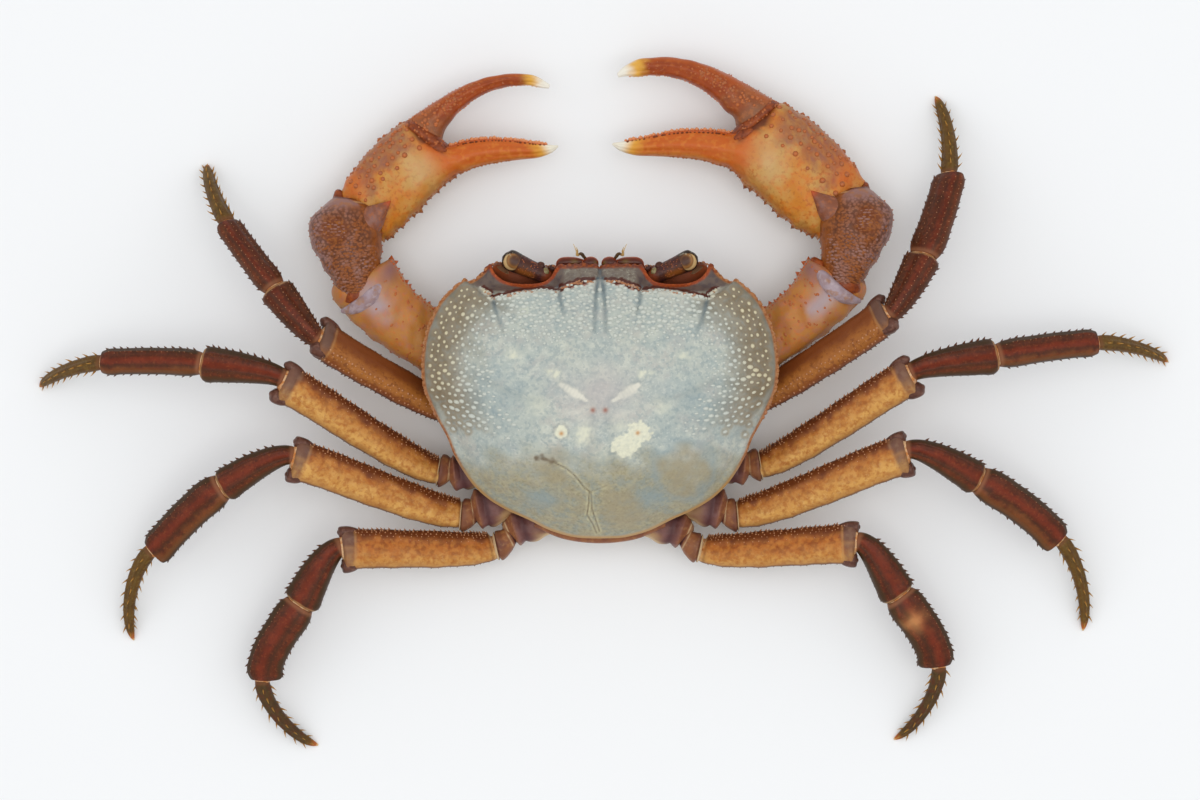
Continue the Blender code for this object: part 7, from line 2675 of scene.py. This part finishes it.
# Mouthparts: brown plates, worn paler along the edges, darker in the grooves
MOUTH_SHELL = Shell(
    "mouthpart_cuticle", "9C6C48",
    layers=(Mottle(2.4, "845644", 0.5, 0.12, 0.6), Mottle(0.7, "BE9060", 0.58, 0.08, 0.5),
            Zone("groove", "54301F", 0.8),
            Zone("edge", "C89A68", 0.6), Zone("hair", "6A4A2C", 0.6)),
    reliefs=(Relief(Pattern.GRAIN, 0.3, 0.04), Relief(Pattern.CELLS, 0.9, 0.05)),
    roughness=(0.34, 0.5), coat=0.15,
)
# Underside: tan cuticle, smooth, darker along the joints of its plates
BELLY_SHELL = Shell(
    "belly_cuticle", "BFA27A",
    layers=(Mottle(5.0, "A98662", 0.5, 0.14, 0.6), Mottle(1.0, "CDB892", 0.56, 0.1, 0.5),
            Zone("groove", "6A4630", 0.75),
            Zone("edge", "94684A", 0.55), Mottle(0.6, "8A6448", 0.62, 0.06, 0.4)),
    reliefs=(Relief(Pattern.GRAIN, 0.35, 0.035), Relief(Pattern.GRAIN, 2.2, 0.08)),
    roughness=(0.34, 0.5), coat=0.12,
)


@dataclass
class Eyestalk(Pod):
    """The stalk that carries an eye."""

    def masks(self, s: Array, angle: Array, co: Array) -> dict:
        """Painted warm highlight low on the rear side, rusty base and dark crown."""
        line = np.interp(s, [0.0, 1.0], [self.path[0][1] - 0.7, self.path[-1][1] - 1.2])
        # A painted warm highlight along the low rear flank
        low = bell(co[:, 1] - line, 0.5)
        return {"warm": low * smooth(0.25, 0.4, s) * smooth(0.8, 0.6, s), "base": smooth(0.2, 0.06, s),
                "dark": smooth(0.6, 0.75, s) * 0.7}


@dataclass
class Cornea(Pod):
    """The lens over the end of an eyestalk."""

    # Middle of the lens as seen from above, and of the dark disc that cuts the crescent out
    middle: tuple = (15.0, 23.45)
    inner: tuple = (14.45, 23.65)

    def masks(self, s: Array, angle: Array, co: Array) -> dict:
        """Golden crescent round the outer end, with its dark rim and speckled crown.

        Args:
            s: Shares of the length.
            angle: Angles round the axis in radians.
            co: Points in millimetres.

        Returns:
            Shares of the points by the mask's name.
        """
        x, y = np.abs(co[:, 0]) - self.middle[0], co[:, 1] - self.middle[1]
        away = np.hypot(x, y)
        cut = np.hypot(np.abs(co[:, 0]) - self.inner[0], co[:, 1] - self.inner[1])
        top = smooth(-0.4, 0.2, co[:, 2] - self.path[-1][2])
        outer = smooth(1.1, 1.4, cut)
        return {
            "gold": smooth(1.46, 1.36, away) * smooth(1.32, 1.55, cut) * top,
            "glow": smooth(1.46, 1.36, away) * bell(cut - 1.15, 0.3) * top,
            "rim": np.maximum(smooth(1.4, 1.5, away) * outer,
                              smooth(-0.3, -0.7, co[:, 2] - self.path[-1][2])),
            "crown": bell(y - 1.35, 0.4) * top,
        }


@dataclass
class FeelerLobe(Pod):
    """Folded base of a feeler, lying in the hollow under the front edge."""

    def masks(self, s: Array, angle: Array, co: Array) -> dict:
        """Orange edges round a dark hollow.

        Args:
            s: Shares of the length.
            angle: Angles round the axis in radians.
            co: Points in millimetres.

        Returns:
            Shares of the points by the mask's name.
        """
        side = np.abs(np.cos(angle))
        upper = smooth(-0.35, 0.05, np.sin(angle))
        return {"edge": upper * np.maximum(smooth(0.72, 0.94, side),
                                           np.maximum(smooth(0.1, 0.02, s), smooth(0.93, 0.99, s))),
                "hollow": smooth(0.7, 0.3, side) * smooth(0.06, 0.14, s) * (np.sin(angle) > 0.0),
                "olive": bell(s - 0.72, 0.1) * smooth(0.7, 0.3, side)}


@dataclass
class Whip(Pod):
    """The thin free end of a feeler."""

    def masks(self, s: Array, angle: Array, co: Array) -> dict:
        """Dark root and pale tip."""
        return {"root": smooth(0.42, 0.36, s) * (len(self.radii) > 3), "tip": smooth(0.5, 1.0, s)}


@dataclass
class MouthPlate(Tube):
    """Outer mouthpart: two hinged plates with a groove between them, lying over the mouth."""

    name: str
    side: Side
    half_thick: float = 0.85
    squareness: float = 3.0
    up: tuple = (0.0, -0.5, 0.87)
    # Stations as (forward, height of the middle, inner edge, outer edge)
    stations: tuple = (
        (10.1, 3.3, 0.4, 3.6), (11.6, 4.0, 0.25, 5.0), (14.6, 5.6, 0.25, 5.6), (16.6, 6.8, 0.25, 5.7),
        (18.6, 8.0, 0.4, 5.4), (19.8, 8.6, 1.0, 4.4),
    )

    def skin(self, s: Array, angle: Array, radial: Array) -> Array:
        """Points of the two plates with their groove and hinge line.

        Args:
            s: Shares of the length.
            angle: Angles round the axis in radians.
            radial: Shares of the way from the axis to the skin.

        Returns:
            One point in millimetres for each share.
        """
        row = spline(np.linspace(0.0, 1.0, len(self.stations)), self.stations, s)
        c, sn = power(np.cos(angle), 2.0 / self.squareness), power(np.sin(angle), 2.0 / self.squareness)
        middle, half = (row[:, 2] + row[:, 3]) / 2.0, (row[:, 3] - row[:, 2]) / 2.0
        hinge = bell(s - 0.62, 0.018)
        groove = bell(c + 0.25, 0.09) * smooth(0.6, 0.5, s) * smooth(0.02, 0.1, s)
        swell = 0.06 * ripple(s * 12.0, c * 2.5, 2.0, 51)
        thick = self.half_thick * (1.0 - 0.3 * hinge - 0.25 * groove + swell)
        x = (middle + c * half * radial * (1.0 - 0.05 * hinge)) * self.side.value
        lift = sn * thick * radial
        return np.stack([x, row[:, 0] - lift * self.up[1] * -1.0, row[:, 1] + lift * self.up[2]], 1)

    def masks(self, s: Array, angle: Array, co: Array) -> dict:
        """Dark groove and hinge, worn edges and short hair along the inner edge.

        Args:
            s: Shares of the length.
            angle: Angles round the axis in radians.
            co: Points in millimetres.

        Returns:
            Shares of the points by the mask's name.
        """
        c = power(np.cos(angle), 2.0 / self.squareness)
        groove = bell(c + 0.25, 0.1) * smooth(0.6, 0.5, s)
        return {
            "groove": np.maximum(bell(s - 0.62, 0.02), groove), "edge": smooth(0.8, 0.95, c),
            "hair": smooth(-0.75, -0.92, c),
        }


@dataclass
class Thorax(Tube):
    """Underside of the body: the fused breast plates, with the grooves between them."""

    name: str = "thorax_shell"
    # Outline of the right half as (out, forward)
    outline: tuple = (
        (0.0, 9.6), (6.5, 9.6), (11.5, 8.6), (14.6, 4.5), (15.6, -1.5), (14.8, -7.5),
        (12.2, -12.2), (8.0, -15.6), (0.0, -17.2),
    )
    middle: float = -3.5
    # Share of the length, share of the outline and height
    levels: tuple = (
        (0.0, 0.01, 1.6), (0.5, 0.72, 1.6), (0.68, 0.93, 3.4), (0.85, 1.0, 5.6), (1.0, 1.0, 8.0),
    )
    grooves: tuple = (6.4, 1.8, -3.0, -7.4, -11.2)

    def reach(self, angle: Array) -> Array:
        """Distance of the outline from the middle at angles from the front.

        Args:
            angle: Angles from the front in radians.

        Returns:
            Distance at each angle.
        """
        fine = along_path(np.array(self.outline), 300)
        turn = np.arctan2(fine[:, 0], fine[:, 1] - self.middle)
        return np.interp(np.abs(angle), turn, np.hypot(fine[:, 0], fine[:, 1] - self.middle))

    def ease(self, s: Array) -> Array:
        """Even rings all the way."""
        return s

    def skin(self, s: Array, angle: Array, radial: Array) -> Array:
        """Points from the middle of the underside out to its edge and up the side.

        Args:
            s: Shares of the length.
            angle: Angles round the axis in radians.
            radial: Shares of the way from the axis to the skin.

        Returns:
            One point in millimetres for each share.
        """
        levels = np.array(self.levels)
        share = np.interp(s, levels[:, 0], levels[:, 1]) * radial
        z = np.interp(s, levels[:, 0], levels[:, 2])
        turn = np.arctan2(np.sin(angle), np.cos(angle))
        run = self.reach(turn) * share
        x, y = np.sin(turn) * run, self.middle + np.cos(turn) * run
        z = z + self.groove(x, y) * 0.35 * smooth(0.75, 0.6, s)
        return np.stack([x, y, z + 0.3 * smooth(6.0, 0.0, np.abs(x)) * smooth(0.5, 0.3, s)], 1)

    def groove(self, x: Array, y: Array) -> Array:
        """Share of the grooves between the breast plates.

        Args:
            x: Plan positions to the right.
            y: Plan positions to the front.

        Returns:
            Share of a groove at each point.
        """
        far = np.abs(x)
        lines = [bell(y + 0.16 * far - place, 0.26) * smooth(1.5, 3.0, far) for place in self.grooves]
        return np.maximum(np.max(lines, axis=0), bell(x, 0.25) * (y < 2.0))

    def masks(self, s: Array, angle: Array, co: Array) -> dict:
        """Dark grooves and edge."""
        return {"groove": self.groove(co[:, 0], co[:, 1]) * smooth(0.75, 0.6, s),
                "edge": smooth(0.6, 0.8, s)}


@dataclass
class Abdomen(Tube):
    """Belly flap folded under the thorax, in seven plates."""

    name: str = "abdomen_shell"
    half_thick: float = 0.65
    # Stations as (forward, height of the middle, half width), from the front tip to the rear
    stations: tuple = (
        (4.2, 0.65, 0.8), (3.4, 0.65, 1.7), (1.0, 0.65, 2.2), (-3.0, 0.65, 2.9), (-8.0, 0.65, 4.6),
        (-12.5, 0.65, 6.4), (-15.6, 0.8, 6.4), (-18.2, 1.9, 5.6), (-19.8, 3.8, 5.0), (-20.5, 6.2, 4.8),
    )
    joints: tuple = (0.8, -2.6, -6.4, -10.2, -13.6, -16.6, -19.0)

    def skin(self, s: Array, angle: Array, radial: Array) -> Array:
        """Points of the flap with a groove at each joint.

        Args:
            s: Shares of the length.
            angle: Angles round the axis in radians.
            radial: Shares of the way from the axis to the skin.

        Returns:
            One point in millimetres for each share.
        """
        table = np.array(self.stations)
        run = np.concatenate([[0.0], np.cumsum(np.linalg.norm(np.diff(table[:, :2], axis=0), axis=1))])
        knots = run / run[-1]
        row = spline(knots, table, s)
        high, low = np.clip(s + 0.01, 0.0, 1.0), np.clip(s - 0.01, 0.0, 1.0)
        ahead = spline(knots, table, high) - spline(knots, table, low)
        way = unit(ahead[:, :2])
        c, sn = power(np.cos(angle), 0.8), power(np.sin(angle), 0.8)
        joint = self.joint(row[:, 0])
        lift = sn * self.half_thick * radial * (1.0 - 0.35 * joint)
        x = c * row[:, 2] * radial * (1.0 - 0.05 * joint)
        return np.stack([x, row[:, 0] + lift * way[:, 1], row[:, 1] - lift * way[:, 0]], 1)

    def joint(self, y: Array) -> Array:
        """Share of the grooves at the joints."""
        return np.max([bell(y - place, 0.22) for place in self.joints], axis=0)

    def masks(self, s: Array, angle: Array, co: Array) -> dict:
        """Dark joints and darker side edges."""
        return {"groove": self.joint(co[:, 1]),
                "edge": smooth(0.75, 0.95, np.abs(power(np.cos(angle), 0.8)))}


@dataclass
class Head:
    """Eyes, feelers and mouthparts of one side."""

    side: Side
    # Points as (out, forward, up)
    stalk: tuple = ((8.6, 20.9, 14.4), (12.4, 22.5, 14.7), (16.0, 24.1, 14.9))
    stalk_radii: tuple = (1.25, 1.45, 1.5, 1.54, 1.6, 1.68, 1.74, 1.62, 1.1)
    lens: tuple = ((13.5, 23.0, 14.8), (14.8, 23.6, 14.9), (16.1, 24.15, 14.9))
    lens_radii: tuple = (1.3, 1.7, 1.76, 1.8, 1.8, 1.66, 1.15)
    # Knobs of the ball joint as (place, radius)
    knobs: tuple = (
        ((9.1, 21.7, 15.5), 0.62), ((7.8, 22.3, 15.4), 0.5), ((9.8, 22.7, 15.3), 0.62),
        ((8.6, 20.7, 15.3), 0.5),
    )
    lobes: tuple = (
        ("outer", ((7.1, 22.5, 15.6), (6.4, 23.35, 15.9), (4.6, 23.45, 16.0), (2.75, 23.35, 16.0)),
         (0.5, 0.82, 0.86, 0.8, 0.5)),
        ("inner", ((2.8, 23.0, 15.9), (2.0, 23.3, 16.2), (1.1, 23.3, 16.2), (0.6, 22.7, 15.8)),
         (0.5, 0.92, 1.0, 0.8, 0.4)),
    )
    whips: tuple = (
        ("long", ((2.5, 24.0, 16.4), (3.2, 24.8, 16.9), (3.9, 24.5, 17.1), (4.0, 25.2, 17.3),
                  (4.5, 26.4, 17.6)),
         (0.26, 0.3, 0.2, 0.15, 0.1, 0.05)),
        ("short", ((3.9, 24.6, 17.1), (3.8, 25.2, 17.3), (4.0, 25.9, 17.5)), (0.14, 0.12, 0.04)),
    )
    # Rods round the mouth as (name, points, radii, flatness, bulge of the ends, sides, rings)
    rods: tuple = (
        ("palp", ((4.4, 18.9, 7.4), (3.0, 19.9, 7.6), (1.6, 19.2, 7.0), (1.0, 17.8, 6.2)),
         (0.7, 0.75, 0.6, 0.5, 0.3),
         0.7, 0.6, 28, 30),
        ("outer_branch", ((5.6, 11.4, 4.2), (6.5, 14.4, 5.8), (6.6, 17.4, 7.6), (5.8, 19.4, 8.8)),
         (0.5, 0.7, 0.65, 0.5, 0.25), 0.8, 0.6, 28, 40),
        ("frame", ((0.0, 20.6, 9.9), (3.4, 20.4, 9.7), (6.6, 19.8, 9.4), (9.0, 17.6, 8.6)),
         (0.7, 0.72, 0.7, 0.75, 0.5),
         1.2, 0.5, 36, 44),
    )
    seed: int = 70
    grains: int = 40
    bristles: int = 30

    def mirror(self, points: tuple) -> tuple:
        """Points on this side of the body."""
        return tuple((p[0] * self.side.value, p[1], p[2]) for p in points)

    def dress(self, seeds: Seeds) -> None:
        """Build and dress this side of the head.

        Args:
            seeds: The small shapes to copy.
        """
        draw = np.random.default_rng(self.seed)
        self.dress_eye(seeds.bead, draw)
        self.dress_feelers()
        self.dress_mouth(seeds.spine, draw)

    def dress_eye(self, bead: tuple, draw: np.random.Generator) -> None:
        """Build and dress the eyestalk with its lens, grains and ball joint.

        Args:
            bead: Points and triangles of one grain.
            draw: Source of the random places.
        """
        side = self.side.label
        stalk = Eyestalk(f"eyestalk_{side}", self.mirror(self.stalk), self.stalk_radii, 1.0, 0.5)
        dress(stalk.piece(48, 60), STALK_SHELL, "eye_shell", f"eye_{side}")
        cornea = Cornea(f"eye_cornea_{side}", self.mirror(self.lens), self.lens_radii, 1.0, 0.5)
        dress(cornea.piece(64, 60), CORNEA_SHELL, "eye_shell")
        here, out, _ = stalk.spots(draw.uniform(0.3, 0.75, self.grains),
                                   draw.uniform(0.5, 2.6, self.grains))
        radii = draw.uniform(0.06, 0.11, self.grains)
        dress(scatter(f"eyestalk_grains_{side}", bead, here, out, radii, radii * 0.6), RUST_BEADS,
              "eye_shell")
        for k, ((x, y, z), radius) in enumerate(self.knobs):
            path = self.mirror(((x, y, z), (x + 0.5, y + 0.3, z - 0.3)))
            knob = Pod(f"eyestalk_root_knob_{side}_{k}", path, (radius, radius * 1.1, radius), 0.8, 0.8)
            dress(knob.piece(20, 12), BALL_SHELL if k == 0 else STALK_SHELL, "eye_shell")

    def dress_feelers(self) -> None:
        """Build and dress the folded feeler bases and their whips."""
        side = self.side.label
        for name, path, radii in self.lobes:
            lobe = FeelerLobe(f"feeler_{name}_lobe_{side}", self.mirror(path), radii, 1.1, 0.7)
            nodes = (f"antenna_{side}",) if name == "outer" else ()
            dress(lobe.piece(36, 36), FEELER_SHELL, "mouth_shell", *nodes)
        for name, path, radii in self.whips:
            whip = Whip(f"feeler_whip_{name}_{side}", self.mirror(path), radii, 1.0, 0.8)
            dress(whip.piece(12, 24), WHIP_SHELL, "mouth_shell")

    def dress_mouth(self, spine: tuple, draw: np.random.Generator) -> None:
        """Build and dress the mouth plate with its bristles, the palp, the outer branch and the frame.

        Args:
            spine: Points and triangles of one bristle.
            draw: Source of the random places.
        """
        side = self.side.label
        plate = MouthPlate(f"mouth_plate_{side}", self.side)
        dress(plate.piece(60, 80), MOUTH_SHELL, "mouth_shell", f"maxilliped_{side}")
        count = 3 * self.bristles
        s = np.tile(np.linspace(0.06, 0.96, self.bristles), 3)
        here, out, along = plate.spots(s, np.repeat((2.75, 3.14, 3.5), self.bristles)
                                       + draw.normal(0.0, 0.08, count))
        ways = unit(out + along * 0.5 + draw.normal(0.0, 0.15, out.shape))
        hair = scatter(f"mouth_plate_bristles_{side}", spine, here, ways, np.full(count, 0.07),
                       draw.uniform(0.5, 0.95, count), turn=along, sink=1.0, bend=0.3)
        dress(hair, WHIP_SHELL, "mouth_shell")
        for name, path, radii, flat, bulge, sides, cuts in self.rods:
            rod = Pod(f"mouth_{name}_{side}", self.mirror(path), radii, flat, bulge)
            dress(rod.piece(sides, cuts), MOUTH_SHELL, "mouth_shell")


@dataclass
class Trunk:
    """Underside of the body: the flap's first plate at the rear edge, the thorax and the folded flap."""

    plate: tuple = (
        (-11.0, -21.3, 9.2), (-6.0, -23.0, 9.7), (0.0, -23.6, 9.8), (6.0, -23.0, 9.7), (11.0, -21.3, 9.2),
    )
    plate_radii: tuple = (0.5, 0.85, 0.95, 0.85, 0.5)

    def dress(self) -> None:
        """Build and dress the three pieces."""
        plate = Pod("abdomen_first_plate", self.plate, self.plate_radii, 1.3, 0.5)
        dress(plate.piece(36, 80), HIP_SHELL, "thorax_shell")
        dress(Thorax().piece(120, 80), BELLY_SHELL, "thorax_shell", "thorax")
        dress(Abdomen().piece(72, 96), BELLY_SHELL, "thorax_shell", "abdomen")


@dataclass
class Studio:
    """Pale floor, soft lights and the camera straight above."""

    height: float = 700.0
    lens: float = 120.9
    # Lights as (name, place, length of the sides, power, colour)
    lights: tuple = (
        ("key", (50.0, -60.0, 860.0), 640.0, 2.0, "FFFDF8"),
        ("fill", (-560.0, 60.0, 640.0), 620.0, 0.95, "F8FAFF"),
        ("rim", (520.0, 120.0, 640.0), 620.0, 0.75, "FAFBFF"),
    )

    def build(self) -> None:
        """Make the floor, the lights and the camera."""
        deselect()
        bpy.ops.mesh.primitive_plane_add(size=3.0)
        floor = bpy.context.active_object
        floor.name = "floor"
        material = bpy.data.materials.new("matt_white_board")
        material.use_nodes = True
        shader = material.node_tree.nodes["Principled BSDF"]
        shader.inputs["Base Color"].default_value = linear("EDEFF1")
        shader.inputs["Roughness"].default_value = 0.9
        shader.inputs["Specular IOR Level"].default_value = 0.1
        floor.data.materials.append(material)
        for light in self.lights:
            self.light(*light)
        world = bpy.data.worlds.new("soft_room")
        world.use_nodes = True
        backdrop = world.node_tree.nodes["Background"]
        backdrop.inputs["Color"].default_value = linear("F8F8F8")
        backdrop.inputs["Strength"].default_value = 0.78
        bpy.context.scene.world = world
        bpy.context.scene.view_settings.view_transform = "Standard"
        camera = bpy.data.cameras.new("camera")
        camera.lens = self.lens
        camera.sensor_width = 36.0
        item = bpy.data.objects.new("camera", camera)
        item.location = (0.0, 0.0, self.height * MM)
        bpy.context.scene.collection.objects.link(item)
        bpy.context.scene.camera = item

    @staticmethod
    def light(name: str, place: tuple, size: float, watts: float, colour: str) -> None:
        """Add one soft square light that faces the crab.

        Args:
            name: Name of the light.
            place: Its place in millimetres.
            size: Length of its sides.
            watts: Its power.
            colour: Its colour as sRGB.
        """
        lamp = bpy.data.lights.new(name, "AREA")
        lamp.size = size * MM
        lamp.energy = watts
        lamp.color = linear(colour)[:3]
        item = bpy.data.objects.new(name, lamp)
        item.location = Vector(place) * MM
        item.rotation_mode = "QUATERNION"
        item.rotation_quaternion = (-Vector(place)).to_track_quat("-Z", "Y")
        bpy.context.scene.collection.objects.link(item)


def main() -> None:
    """Build every part of the crab and its studio."""
    logging.basicConfig(level=logging.INFO, format="%(message)s")
    Studio().build()
    seeds = Seeds(seed_shape(8, 3, 0.0), seed_shape(6, 2, 0.7), seed_shape(6, 4, 1.0))
    Carapace().dress(seeds)
    for leg in walking_legs():
        leg.dress(seeds)
    for claw in chelipeds():
        claw.dress(seeds)
    for side in Side:
        Head(side).dress(seeds)
    Trunk().dress()


if __name__ == "__main__":
    main()
